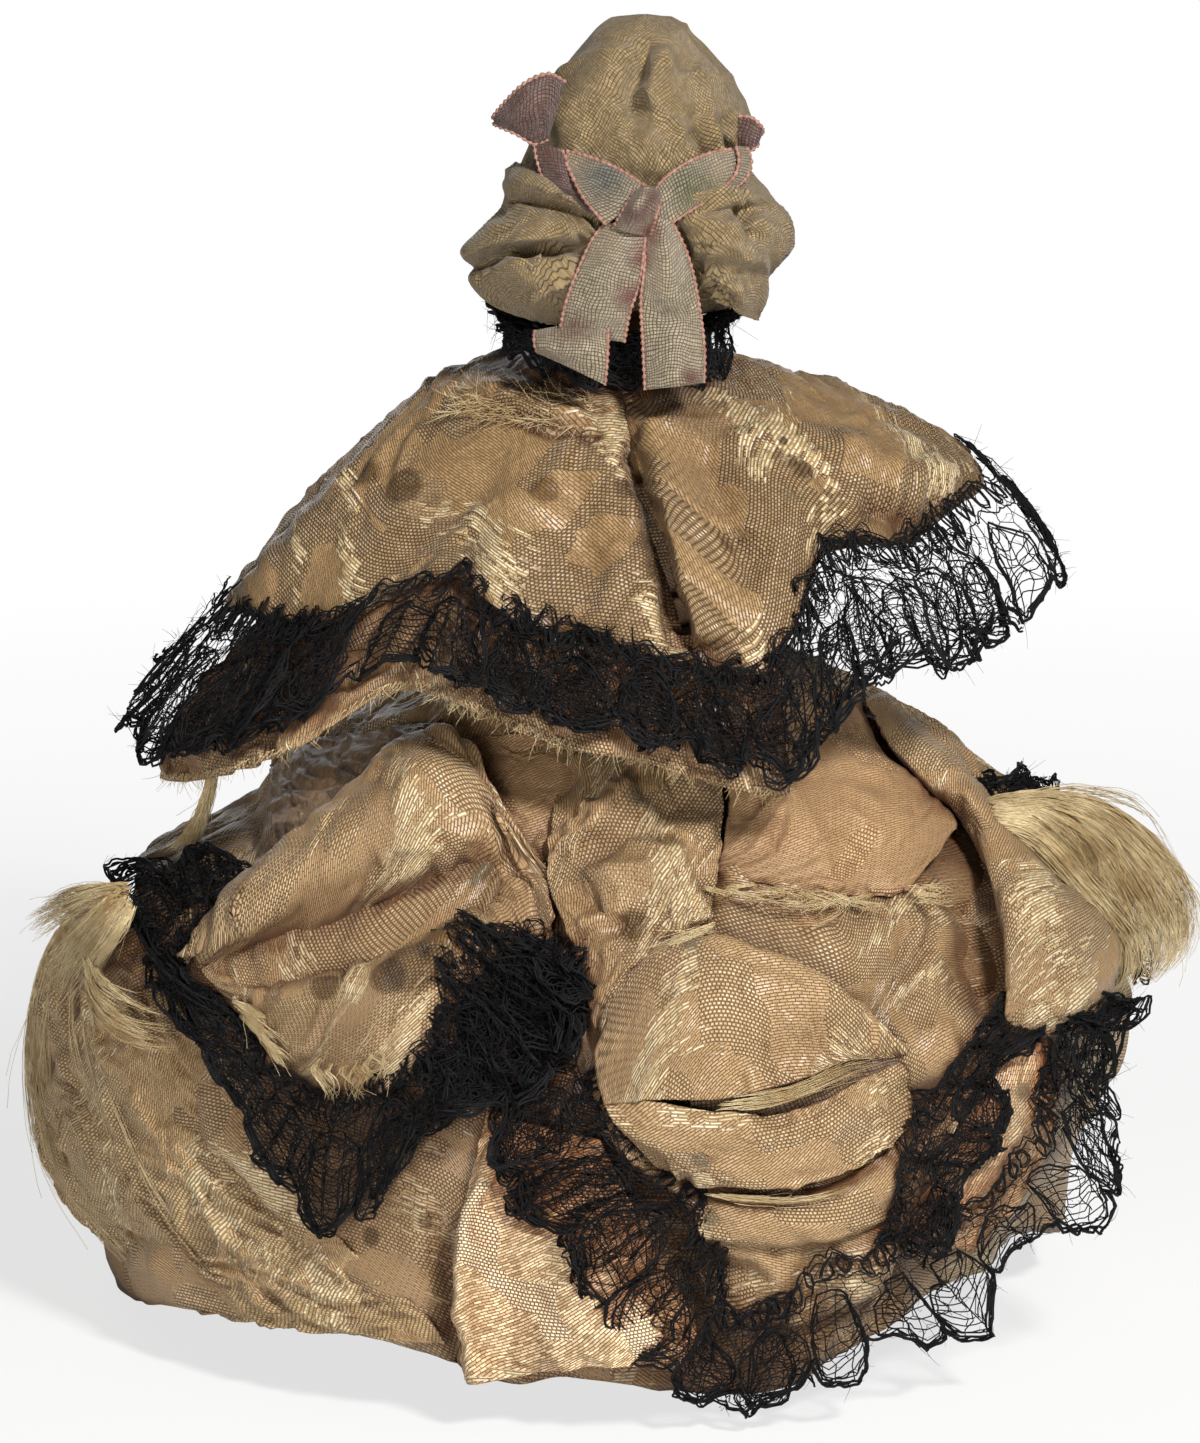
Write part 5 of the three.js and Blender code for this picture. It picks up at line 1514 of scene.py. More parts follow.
    def centre(self) -> None:
        """The tail in the middle of the back."""
        net = (
            ((560, 765, 1.0), (600, 742, 1.6), (650, 736, 1.8), (705, 742, 1.0)),
            ((556, 800, 1.6), (605, 775, 3.0), (655, 765, 3.4), (722, 780, 1.6)),
            ((548, 850, 2.0), (600, 825, 3.2), (662, 820, 3.8), (722, 835, 1.8)),
            ((550, 890, 1.6), (600, 880, 3.4), (660, 880, 4.0), (716, 885, 1.6)),
            ((568, 935, 1.6), (612, 935, 3.2), (658, 930, 3.6), (706, 925, 1.8)),
            ((585, 990, 1.6), (612, 985, 2.6), (640, 975, 2.8), (668, 962, 2.0)),
            ((596, 1030, 1.0), (606, 1020, 1.6), (620, 1008, 1.8), (632, 1000, 1.2)),
        )
        folds = (
            Fold(self.spots(((640, 770), (600, 820), (562, 862))), 1.2, 0.9, 1.6, 0.2),
            Fold(self.spots(((700, 790), (640, 830), (570, 868))), -1.0, 0.8, 1.2, 0.2),
            Fold(self.spots(((690, 850), (630, 868), (572, 876))), 0.8, 1.0, 1.0, 0.2),
            Fold(self.spots(((640, 950), (600, 910), (560, 884))), -0.9, 0.8, 1.0, 0.2),
        )
        self.draped("centre_tail_silk", net, self.finishes.silk, 62, 41, ["overskirt_centre"],
                    folds, size=(80, 100), creases=0.7)

    def build(self) -> None:
        """Builds the gown from the skin outwards."""
        self.bodice()
        self.sleeves()
        self.lining()
        self.skirt()
        self.overskirt("overskirt_left", (10, 112), LEFT_SILK, self.left_folds, 28, 21)
        self.overskirt("overskirt_right", (-108, 8.5), RIGHT_SILK, self.right_folds, -12, 24)
        self.centre()
        silk, satin = self.finishes.silk, self.finishes.satin
        # The left facet's cloth is real; its darker finish paints the shadow that the cape casts on it.
        self.draped("left_facet_satin", self.left_facet, self.finishes.brown, 35, 33, creases=0.4)
        self.draped("throat_silk", self.throat, satin, 0, 35, creases=0.5)
        hollow = (
            Fold(self.spots(((186, 952), (290, 884), (390, 806), (462, 748))), 1.3, 2.4, 1.8, 0.2),
            Fold(self.spots(((205, 978), (300, 950), (420, 905), (520, 858))), -2.2, 1.6, 2.4, 0.15),
            Fold(self.spots(((240, 992), (330, 985), (430, 950), (505, 905))), 0.6, 1.4, 1.6, 0.2),
        )
        self.draped("left_puff_silk", self.puff, silk, 38, 31, folds=hollow, size=(150, 110))
        self.draped("satin_facet_silk", self.satin_facet, satin, -30, 43, creases=0.4)
        self.draped("rolled_drape_silk", self.roll, silk, 25, 45, ["side_drape_right"],
                    creases=0.3)
        self.draped("tear_gauze", self.tear_gauze, self.finishes.gauze, 10, 49, size=(60, 24))
        self.draped("petal_silk_top", self.petal_top, silk, 8, 47, size=(140, 90))
        self.draped("petal_silk_low", self.petal_low, silk, 8, 48, size=(140, 70))
        self.draped("under_petal_silk", self.under_petal, silk, -6, 50, size=(110, 50),
                    creases=0.3)
        # The train and the right hem wear the pale silk, whose lighter tone is painted light.
        self.draped("train_silk", self.train, self.finishes.pale, 4, 52, size=(110, 110),
                    creases=0.4)
        self.draped("hem_silk_right", self.hem_right, self.finishes.pale, 60, 53, size=(60, 110),
                    creases=0.4)
        self.draped("torn_silk_left", self.torn_left, self.finishes.faded, 40, 34, on_gown=False,
                    size=(90, 150), creases=0.8)


@dataclass
class Cape:
    """The cape: two panels of silk with a seam down the back, and a fringe; its loose strip is made with the
    frays.
    """

    finishes: Wardrobe
    top: float = 82.2
    neck: float = 3.7
    front_edge: float = 97.0
    neck_edge: float = 160.0
    back: Curve = Curve((0, 3.7), (0.8, 7), (2.4, 10), (6, 14.4), (12, 20.5), (19, 27), (26, 30), (34, 32))
    left: Curve = Curve((0, 3.7), (0.7, 7.2), (1.6, 10.6), (2.8, 14.4), (8.5, 20.5), (12, 24),
                        (21.5, 31.5), (29.5, 38.5), (34, 40))
    right: Curve = Curve((0, 3.7), (0.7, 7.2), (1.6, 11), (2.8, 15.6), (5.2, 22), (9, 28.4), (11.4, 30.8),
                         (16.4, 34.4), (24, 36))
    silk_edge: Curve = Curve((-97, 9.8), (-90, 10.2), (-74, 11.1), (-53, 12.4), (-39, 13), (-30, 17),
                             (-22, 20.9), (3, 18.3), (16, 17.5), (31, 14.7), (38, 15.3), (53, 19.2),
                             (80, 21.2), (97, 21.6))
    lace_edge: Curve = Curve((-97, 15.5), (-90, 16.6), (-76, 19.7), (-53, 21.7), (-36, 23), (-27, 28.4),
                             (-20, 28.5), (-4, 25.7), (9, 24.7), (25, 21.8), (38, 21.7), (49, 26.8),
                             (72, 32.2), (85, 30.5), (97, 28))
    left_folds: tuple[Fold, ...] = (
        Fold(((-1.4, 72), (-2.6, 68), (-4, 62), (-5.6, 54)), -1.8, 2.6, 0.8, 0.08),
        Fold(((9, 73.6), (4, 72.4), (0, 72.2)), -1.0, 0.4, 0.5, 0.2),
        Fold(((12, 76.5), (7, 74.2), (1, 73.2)), 1.1, 0.9, 0.6, 0.2, 0.2),
        Fold(((14, 74), (22, 66), (32, 57)), 1.4, 3.0, 2.2),
        Fold(((12, 70), (17, 63), (25, 55)), -1.0, 2.0, 2.0),
        Fold(((6, 70), (9, 62), (12, 55)), 0.8, 2.6, 2.6),
        Fold(((2, 70), (2.4, 62), (2, 54)), -0.7, 1.6, 1.6),
        Fold(((30, 62), (33, 57.5), (34, 54)), 1.1, 1.6, 1.6),
    )
    right_folds: tuple[Fold, ...] = (
        Fold(((-3, 73), (-4.6, 66), (-6, 60), (-7.4, 54)), 2.2, 3.4, 1.0, 0.05),
        Fold(((-6.4, 73), (-9, 66), (-12, 57)), -1.2, 1.6, 1.8),
        Fold(((-20, 67.6), (-25, 65.3), (-29, 64.6)), -2.0, 1.0, 1.8, 0.25),
        Fold(((-17, 71.5), (-23, 69.0), (-30, 67.6)), 1.3, 2.2, 1.2, 0.2),
        Fold(((-10, 75), (-14, 68), (-15, 61)), 1.0, 3.0, 3.0),
        Fold(((-16, 70), (-19, 66), (-20, 62)), -0.8, 2.0, 2.0),
    )

    def radius(self, angle: Array, z: Array) -> Array:
        """Radius of the middle of the silk at each angle and height."""
        drop = self.top - z
        sideways = np.abs(np.sin(np.radians(np.minimum(90, np.abs(angle))))) ** 1.6
        side = np.where(angle > 0, self.left(drop), self.right(drop))
        folds = 0.9 * wave(angle / 26 + 0.1) * ease(drop / 12)
        return mix(self.back(drop), side, sideways) + folds

    def seam(self, share: Array | float) -> Array:
        """Angle of the seam down the back, which drifts to the doll's right as it goes down."""
        return -2.0 - 11.0 * ease(share)

    def silk_height(self, angle: Array) -> Array:
        """Height of the silk's lower edge."""
        return self.top - self.silk_edge(angle)

    def lace_height(self, angle: Array) -> Array:
        """Height of the lace's lower edge."""
        return self.top - self.lace_edge(angle)

    def panel(self, side: int) -> Array:
        """One half of the cape.

        Args:
            side: 1 for the doll's left and -1 for its right.

        Returns:
            Rows by columns by x, y and z.
        """
        u, v = span(150, 100)
        edge = mix(self.neck_edge, self.front_edge, ease(v / 0.22))
        angle = mix(self.seam(v), side * edge, u)
        below = mix(self.seam(1.0), side * self.front_edge, u)
        z = self.top - v**1.4 * self.silk_edge(below)
        off = angle - self.seam(v)
        sunk = 0.8 * np.exp(-((off / 4) ** 2)) * ease(v / 0.1)
        raised = 0.2 * np.exp(-(((off + 9) / 6) ** 2)) * ease(v / 0.3)
        return around(angle, self.radius(angle, z) - sunk + raised, z)

    def build(self) -> None:
        """Builds the cape."""
        for name, side, folds, grain in (
            ("cape_left", 1, self.left_folds, 4), ("cape_right", -1, self.right_folds, 38),
        ):
            points = self.panel(side)
            flat = flat_places(points)
            points = crumpled(folded(points, folds), flat, 0.5, 6.0, 50 + side)
            points = crumpled(points, flat, 0.16, 1.8, 60 + side)
            made = cloth_piece(f"{name}_silk", points, self.finishes.cape, nodes=[name],
                               grain=grain, thickness=0.22)
        u, v = span(120, 30)
        angle = mix(-26, 74, u)
        z = mix(self.top - self.silk_edge(angle) + 2, self.top - self.lace_edge(angle) - 1.9, v)
        points = around(angle, self.radius(angle, z) - 1.3, z)
        flat = flat_places(points)
        points = crumpled(points, flat, 0.8, 3.0, 71)
        made = cloth_piece("cape_fringe_silk", points, self.finishes.silk,
                           nodes=["cape_fringe"], grain=60, thickness=0.2)


@dataclass
class LaceBand:
    """A gathered band of black lace, crushed into further layers where it is crowded.

    Attributes:
        name: What its pieces' names start with.
        radius: The surface that it hangs on.
        crowd: How crowded it is at each angle, from 0 to 1.
        seed: Picks its disorder.
        angles: Where it starts and ends.
        top: Height of its sewn edge at each angle.
        bottom: Height of its free edge.
        fullness: Flat length over the length of the edge it is sewn to.
        heading: How far it stands up over the seam.
        depth: How far its gathers stand out.
        width: Its flat width.
        repeat: Flat length of a scallop.
        node: The frame's node that it stands for.
        sewn: Pixels along its sewn edge, where the photograph sets its place; angles are then shares of it.
        free: Pixels along its free edge.
    """

    finishes: Wardrobe
    name: str
    radius: Surface
    crowd: Curve
    seed: int
    angles: tuple[float, float] = (0, 1)
    top: Callable | None = None
    bottom: Callable | None = None
    fullness: float = 1.2
    heading: float = 1.1
    depth: float = 1.0
    width: float = 9.2
    repeat: float = 7.2
    node: str = ""
    sewn: tuple[tuple[float, float], ...] = ()
    free: tuple[tuple[float, float], ...] = ()

    def base(self, angle: Array, v: Array, out: float, seed: int) -> Array:
        """The band without its gathers.

        Args:
            angle: Angles round the doll, or shares of the sewn edge.
            v: Shares of the way from the sewn edge to the free one.
            out: How far the band lies over its surface.
            seed: Picks the disorder of its heading.

        Returns:
            Rows by columns by x, y and z.
        """
        if not self.sewn:
            frill = self.heading * (0.8 + 0.5 * ripple(angle / 3.0, 0 * angle, 2.6, seed + 3))
            z = mix(self.top(angle) + frill, self.bottom(angle), v)
            return around(angle, self.radius(angle, z) + out, z)
        ends = []
        for row in (self.sewn, self.free):
            line = smooth_line(row, 600)
            ends.append(np.stack([np.interp(angle, np.linspace(0, 1, 600), column) for column in line.T], -1))
        frill = 0.1 * self.heading * (1 + 0.5 * ripple(60 * angle, 0 * angle, 6.0, seed + 3))
        share = (v * (1 + frill) - frill)[..., None]
        spots = np.concatenate([mix(ends[0], ends[1], share), np.full(angle.shape + (1,), out)], -1)
        points = SIGHT.lie(spots, self.radius)
        near = np.arange(-14, 15)
        picks = np.clip(np.arange(points.shape[1])[:, None] + near, 0, points.shape[1] - 1)
        return points[:, picks].mean(2)

    def patch(self, angles: tuple[float, float], pitch: float, depth: float, out: float, crush: float,
              seed: int) -> Patch:
        """A length of the band as it hangs, with its gathers.

        Args:
            angles: Where this length starts and ends.
            pitch: Distance from gather to gather along the edge.
            depth: How far they stand out.
            out: How far the band lies over its surface.
            crush: How far it is crumpled in every direction.
            seed: Picks the disorder.

        Returns:
            The band, read by its flat places.
        """
        columns = 40 + int(abs(angles[1] - angles[0]) * (1100 if self.sewn else 9))
        u, v = span(columns, 16)
        base = self.base(mix(*angles, u), v, out, seed)
        middle = base[len(base) // 2]
        edge = np.concatenate([[0], np.cumsum(np.linalg.norm(np.diff(middle, axis=0), axis=1))])
        s = edge[None] + 0 * v
        wander = ripple(s / pitch, v * 0.5, 3.0, seed)
        phase = 2 * np.pi * s / pitch + 1.6 * wander
        loose = 0.3 + 0.7 * ease((v * self.width - 0.5) / 4)
        size = depth * loose * np.clip(0.8 + 0.4 * ripple(s, v, 8.0, seed + 5), 0.1, 2)
        normal = normals(base)
        along = np.gradient(base, axis=1)
        along /= np.maximum(np.linalg.norm(along, axis=-1, keepdims=True), 1e-9)
        points = base + normal * (size * (0.9 + 0.9 * np.sin(phase)))[..., None]
        points = points + along * (0.07 * pitch * np.sin(2 * phase + 0.6) * loose)[..., None]
        for axis in range(3):
            points[..., axis] += crush * 0.5 * ripple(s, v * 7, 2.4, seed + 31 + axis)
            points[..., axis] += 0.07 * ripple(s, v * 7, 0.9, seed + 41 + axis)
        points[..., 2] += 0.35 * ripple(s, v, 7.0, seed + 9) * v
        return Patch(points, edge * (self.fullness + 0.1 * crush), np.linspace(0, self.width + 0.4, 17))

    def scallop(self, s: Array) -> Array:
        """The free edge's flat place, scallop after scallop."""
        return self.width - 1.7 + 2.1 * np.abs(np.sin(np.pi * s / self.repeat)) ** 0.7

    def weave(self, threads: Threads, patch: Patch, seed: int, fine: float) -> None:
        """Draws the lace's threads on a patch: net, eyelets, filled petals and a corded edge.

        Args:
            threads: Takes the threads.
            patch: The band as it hangs.
            seed: Picks the disorder.
            fine: Scales how thick the threads are.
        """
        length = patch.across[-1]

        def laid(s: Array, w: Array, radius: float) -> None:
            bend = 0.2 * ripple(s, w, 3.0, seed + 20)
            sag = 0.2 * ripple(s, w, 3.0, seed + 21)
            threads.add(patch.at(np.clip(s + bend, 0, length), np.minimum(w + sag, self.scallop(s))),
                        fine * radius)

        mesh, pitch, swing = 0.95, 1.2, 0.3
        count = int(length / mesh)
        s = np.arange(count) * mesh
        for k, w in enumerate(np.arange(0.9, self.width - 1.2, pitch)):
            odd = (np.arange(count) + k) % 2 == 0
            laid(s[None], (w + np.where(odd, swing, -swing))[None], 0.055)
            ties = s[odd]
            down = w + swing + np.linspace(0, pitch - 2 * swing, 3)
            laid(ties[:, None] + 0 * down, down[None] + 0 * ties[:, None], 0.06)
        edge_s = np.linspace(0, length, max(8, int(length / 0.25)))
        loops = 0.12 * np.sin(edge_s * 2 * np.pi / 0.9)
        for inset, radius in ((0.0, 0.17), (0.3, 0.15), (0.8, 0.09)):
            laid(edge_s[None], (self.scallop(edge_s) - inset + loops)[None], radius)
        for w, radius in ((0.1, 0.1), (0.4, 0.1), (2.05, 0.09)):
            laid(edge_s[None], (w + 0.25 * np.abs(np.sin(edge_s * np.pi / 2.1)))[None], radius)
        turn = np.linspace(0, 2 * np.pi, 11)
        rings = np.arange(1.0, length - 1.0, 2.1)[:, None]
        for size, radius in ((0.72, 0.11), (0.56, 0.08)):
            laid(rings + size * np.cos(turn)[None], 1.25 + size * np.sin(turn)[None] + 0 * rings, radius)
        middles = np.arange(0, length - self.repeat * 0.6, self.repeat)[:, None] + self.repeat / 2
        wide, tall, centre = self.repeat * 0.44, 3.1, self.width - 3.1
        turn = np.linspace(0, 2 * np.pi, 25)
        for size, radius in ((1.0, 0.13), (0.9, 0.09)):
            laid(middles + wide * size * np.cos(turn)[None],
                 centre + tall * size * np.sin(turn)[None] + 0 * middles, radius)
        across = np.linspace(-1, 1, 13)
        for level in np.linspace(-0.85, 0.9, 10):
            reach = math.sqrt(1 - level**2)
            arc = centre + tall * (level + 0.12 * (1 - across**2))
            laid(middles + wide * reach * across[None], arc[None] + 0 * middles, 0.075)
        down = np.linspace(-1, 1, 9)
        for place in np.linspace(-0.75, 0.75, 5):
            reach = math.sqrt(1 - place**2)
            sway = wide * (place + 0.07 * np.sin(down * 5))
            laid(middles + sway[None], centre + tall * reach * down[None] + 0 * middles, 0.07)

    def fuzz(self, threads: Threads, patch: Patch, count: int, rng: np.random.Generator) -> None:
        """Adds loose fibres and broken ends.

        Args:
            threads: Takes the fibres.
            patch: The band as it hangs.
            count: How many.
            rng: Gives the disorder.
        """
        s = rng.uniform(0, patch.across[-1], count)
        w = rng.uniform(0, self.width + 0.6, count)
        start = patch.at(s, np.minimum(w, self.scallop(s)))
        way = rng.normal(0, 1, (count, 3))
        way[:, :2] += 0.5 * start[:, :2] / np.linalg.norm(start[:, :2], axis=1, keepdims=True)
        way /= np.linalg.norm(way, axis=1, keepdims=True)
        bend = rng.normal(0, 0.7, (count, 3))
        size = rng.uniform(0.3, 1.1, count)[:, None, None]
        t = np.linspace(0, 1, 5)[:, None]
        lines = start[:, None] + size * (way[:, None] * t + bend[:, None] * t**2)
        threads.add(lines, mix(0.03, 0.01, np.linspace(0, 1, 5))[None])

    def crowded(self, least: float) -> list[tuple[float, float]]:
        """The lengths that are more crowded than a given value, as pairs of angles."""
        angle = np.linspace(*self.angles, 200)
        inside = np.concatenate([[False], self.crowd(angle) > least, [False]])
        starts = np.flatnonzero(~inside[:-1] & inside[1:])
        ends = np.flatnonzero(inside[:-1] & ~inside[1:]) - 1
        return [(angle[a], angle[b]) for a, b in zip(starts, ends) if b - a > 6]

    def build(self) -> None:
        """Builds the band and the layers that it is crushed into."""
        rng = np.random.default_rng(self.seed)
        layers = [("threads", [self.angles], 8.0, 0.6, 0.7, 0.1)]
        layers += [("second", self.crowded(0.4), 6.0, 0.6, 0.4, 0.5)]
        layers += [("third", self.crowded(0.7), 4.4, 0.5, 0.1, 0.9)]
        for k, (label, lengths, pitch, depth, out, crush) in enumerate(layers):
            threads = Threads()
            for j, angles in enumerate(lengths):
                seed = self.seed + 1000 * k + 10 * j
                patch = self.patch(angles, pitch, depth * self.depth, out, crush, seed)
                self.weave(threads, patch, seed, 0.7 if k else 0.9)
                self.fuzz(threads, patch, int(patch.across[-1] * 7), rng)
            if threads.count:
                nodes = [self.node] if k == 0 else []
                label = f"{self.name}_{label}"
                piece(label, threads.mesh(label), self.finishes.lace, nodes=nodes)


@dataclass
class Frays:
    """Silk that has lost its cross threads and hangs in tufts."""

    finishes: Wardrobe

    def tuft(self, name: str, node: str, starts: Array, ways: Array, bend: Array, length: Array,
             radius: float) -> None:
        """A tuft of threads.

        Args:
            name: The piece's name.
            node: The frame's node that it stands for.
            starts: Where the threads start.
            ways: Which way they set out.
            bend: Which way they bend.
            length: How long each is.
            radius: Their radius at the root.
        """
        t = np.linspace(0, 1, 9)
        lines = starts[:, None] + length[:, None, None] * (
            ways[:, None] * t[:, None] + bend[:, None] * t[:, None] ** 2)
        threads = Threads()
        threads.add(lines, mix(radius, radius * 0.35, t)[None])
        piece(name, threads.mesh(name), self.finishes.fray, nodes=[node])

    def swept(self, name: str, node: str, tufts: Sequence[tuple], seed: int, depth: float = 1.0,
              on_gown: bool = False, thick: float = 0.06) -> None:
        """Tufts whose locks run along guide lines in the photograph.

        Args:
            name: The piece's name.
            node: The frame's node that it stands for.
            tufts: How many threads each has, how they crowd to its first guide, and its guides, which are
                lines of (pixel across, pixel down, distance behind the doll's middle).
            seed: Picks their disorder.
            depth: How far locks stand out from one another.
            on_gown: Whether the third numbers are heights over the overskirt instead.
            thick: Radius of a thread at its root.
        """
        rng = np.random.default_rng(seed)
        threads = Threads()
        for count, towards, guides in tufts:
            net = SIGHT.laid(guides, BELL.overskirt, 60, 40) if on_gown else SIGHT.free(guides, 60, 40)
            patch = Patch(net, np.linspace(0, 1, 61), np.linspace(0, 1, 41))
            locks = max(12, count // 9)
            lock = rng.integers(0, locks, count)
            t = np.linspace(0, 1, 20)
            lane = (rng.uniform(0, 1, locks) ** towards)[lock] + rng.normal(0, 0.02, count)
            sway = rng.uniform(-1, 1, locks)[lock][:, None]
            start = rng.uniform(0, 0.5, locks)[lock] ** 2 + rng.uniform(0, 0.05, count)
            end = rng.uniform(0.55, 1.0, locks)[lock] - rng.uniform(0, 0.15, count)
            along = np.clip(mix(start[:, None], end[:, None], t), 0, 1)
            lanes = lane[:, None] + 0.09 * np.sin(7 * along + 5 * sway)
            lanes = lanes + rng.normal(0, 0.05, (count, 1)) * t**2
            lines = patch.at(along, np.clip(lanes, 0, 1))
            away = lines * np.array([1.0, 1.0, 0.0])
            away /= np.maximum(np.linalg.norm(away, axis=-1, keepdims=True), 1e-6)
            layer = depth * (0.5 + 0.5 * sway) * hump(along) + rng.uniform(-0.12, 0.12, (count, 1))
            lines = lines + away * layer[..., None]
            lines += np.cumsum(rng.normal(0, 0.035, lines.shape), axis=1)
            threads.add(lines, mix(thick, 0.4 * thick, t)[None] * rng.uniform(0.6, 1.3, (count, 1)))
            stray = lines[: count // 12]
            loose = rng.normal(0, 1, (len(stray), 1, 3)) * (t**2)[None, :, None] * 0.9
            threads.add(stray + loose, 0.02)
        piece(name, threads.mesh(name), self.finishes.fray, nodes=[node])

    def build(self, cape: Cape) -> None:
        """Builds the tufts."""
        self.swept("left_fray_threads", "silk_fray_left", [
            (240, 3.2, (
                ((116, 888, 12), (62, 932, 3), (38, 1010, 0), (35, 1090, 0), (54, 1175, 2), (105, 1240, 7),
                 (156, 1292, 12)),
                ((120, 890, 14), (82, 945, 9), (68, 1020, 8), (74, 1100, 9), (101, 1185, 12), (164, 1262, 18),
                 (232, 1314, 23.5)),
                ((126, 893, 16), (106, 960, 14), (107, 1035, 15.5), (127, 1115, 17.5), (167, 1195, 21.5),
                 (237, 1268, 26), (322, 1324, 31)),
            )),
            (300, 1.0, (
                ((130, 880, 16), (90, 886, 13), (58, 898, 9), (20, 918, 5)),
                ((132, 900, 19), (98, 908, 16), (66, 924, 11), (34, 950, 6)),
            )),
            (420, 1.0, (
                ((120, 888, 18), (96, 912, 16), (62, 950, 10), (42, 1000, 5)),
                ((136, 905, 20), (124, 940, 20), (96, 980, 16), (66, 1030, 9)),
            )),
            (110, 1.0, (
                ((84, 950, 16), (110, 985, 20), (150, 1010, 23), (206, 1024, 25)),
                ((78, 985, 16), (104, 1020, 20), (146, 1044, 23), (200, 1056, 25)),
            )),
        ], 81, 1.0, False, 0.032)
        self.swept("right_fray_threads", "silk_fray_right", [
            (1500, 1.0, (
                ((984, 798, 12), (1035, 792, 9), (1098, 806, 6), (1152, 850, 4), (1186, 900, 3),
                 (1190, 945, 4), (1160, 985, 6)),
                ((988, 806, 14), (1038, 806, 12), (1090, 832, 9), (1134, 875, 7), (1160, 920, 6),
                 (1158, 962, 7), (1128, 998, 8)),
                ((992, 818, 15), (1030, 828, 14), (1070, 860, 12), (1105, 900, 10), (1128, 940, 9),
                 (1128, 975, 9), (1108, 1003, 10)),
                ((998, 835, 15), (1025, 855, 14), (1055, 885, 13), (1085, 915, 12), (1104, 945, 11),
                 (1106, 975, 11), (1094, 1000, 11)),
            )),
            (90, 1.0, (
                ((1000, 800, 13), (1040, 820, 14), (1070, 850, 13.5), (1090, 900, 12.5)),
                ((1040, 800, 12), (1090, 825, 11), (1120, 870, 10), (1125, 930, 9)),
            )),
            (60, 1.0, (
                ((1010, 796, 10), (1070, 786, 7), (1130, 800, 3), (1176, 850, 1)),
                ((1060, 800, 9), (1130, 830, 5), (1180, 890, 2), (1204, 960, 1)),
            )),
        ], 82, 1.5, False, 0.042)
        self.swept("torn_edge_threads", "", [
            (130, 1.0, (
                ((705, 880, 1.0), (703, 890, 2.0), (700, 900, 2.2)),
                ((760, 884, 1.2), (762, 894, 2.2), (764, 906, 2.4)),
                ((815, 888, 1.4), (822, 904, 2.4), (830, 932, 2.4)),
                ((870, 892, 1.4), (878, 902, 2.2), (890, 914, 2.0)),
            )),
            (110, 1.0, (
                ((716, 922, 2.6), (690, 932, 3.6), (640, 948, 3.4)),
                ((714, 934, 2.6), (680, 944, 4.0), (624, 975, 3.2)),
            )),
            (30, 1.0, (
                ((905, 884, 3.4), (935, 886, 3.8), (964, 888, 3.8)),
                ((915, 905, 2.6), (940, 904, 3.2), (966, 900, 3.4)),
            )),
            (50, 1.0, (
                ((725, 1096, 4.6), (790, 1086, 5.0), (850, 1060, 3.4), (892, 1056, 1.2)),
                ((712, 1112, 4.2), (780, 1104, 4.2), (840, 1080, 3.2), (896, 1062, 1.2)),
            )),
            (40, 1.0, (
                ((700, 1190, 2.4), (750, 1196, 3.0), (810, 1194, 3.0), (862, 1182, 2.4)),
                ((706, 1202, 2.2), (756, 1208, 2.8), (812, 1206, 2.8), (868, 1190, 2.2)),
            )),
            (130, 1.0, (
                ((232, 1000, 1.6), (252, 1008, 2.0), (276, 1026, 2.2), (300, 1056, 2.2)),
                ((240, 1015, 1.6), (258, 1032, 2.0), (274, 1054, 2.2), (296, 1078, 2.0)),
            )),
            (90, 1.0, (
                ((310, 1056, 2.2), (316, 1078, 2.4), (322, 1100, 1.8)), ((345, 1060, 2.4), (350, 1082, 2.4),
                                                                        (352, 1108, 1.8)),
                ((385, 1046, 2.4), (386, 1064, 2.4), (388, 1086, 1.8)),
            )),
            (60, 1.0, (
                ((640, 735, 2.4), (660, 748, 3.0), (690, 752, 2.4)),
                ((636, 752, 2.8), (660, 764, 3.6), (694, 766, 2.8)),
            )),
        ], 85, 0.4, True, 0.036)
        rng = np.random.default_rng(83)
        count = 520
        angle = rng.uniform(-26, 74, count)
        z = cape.top - cape.lace_edge(angle) - 1.2
        starts = around(angle, cape.radius(angle, z) - 1.2 + rng.uniform(-0.3, 0.3, count), z)
        ways = np.stack([rng.normal(0.3, 0.5, count), rng.normal(0.15, 0.15, count),
                         np.full(count, -1.0)], -1)
        bend = rng.normal(0, 0.35, (count, 3))
        self.tuft("cape_fringe_threads", "", starts, ways, bend, rng.uniform(0.4, 1.5, count), 0.035)
        count = 420
        angle = rng.uniform(8, 62, count)
        z = cape.top - rng.uniform(2.2, 4.2, count)
        starts = around(angle, cape.radius(angle, z) + 0.1, z)
        ways = np.stack([rng.normal(1.0, 0.4, count), rng.normal(0.4, 0.4, count),
                         rng.normal(0.1, 0.4, count)], -1)
        bend = rng.normal(0, 0.5, (count, 3))
        self.tuft("cape_neck_threads", "", starts, ways, bend, rng.uniform(0.5, 1.8, count), 0.03)
        self.swept("loose_strip_threads", "loose_silk_strip", [
            (240, 1.0, (
                ((213, 748, 7), (205, 792, 6.6), (182, 832, 6), (143, 864, 5)),
                ((216, 748, 7), (213, 795, 6.8), (204, 830, 6.4), (190, 864, 6)),
            )),
        ], 86, 0.15)


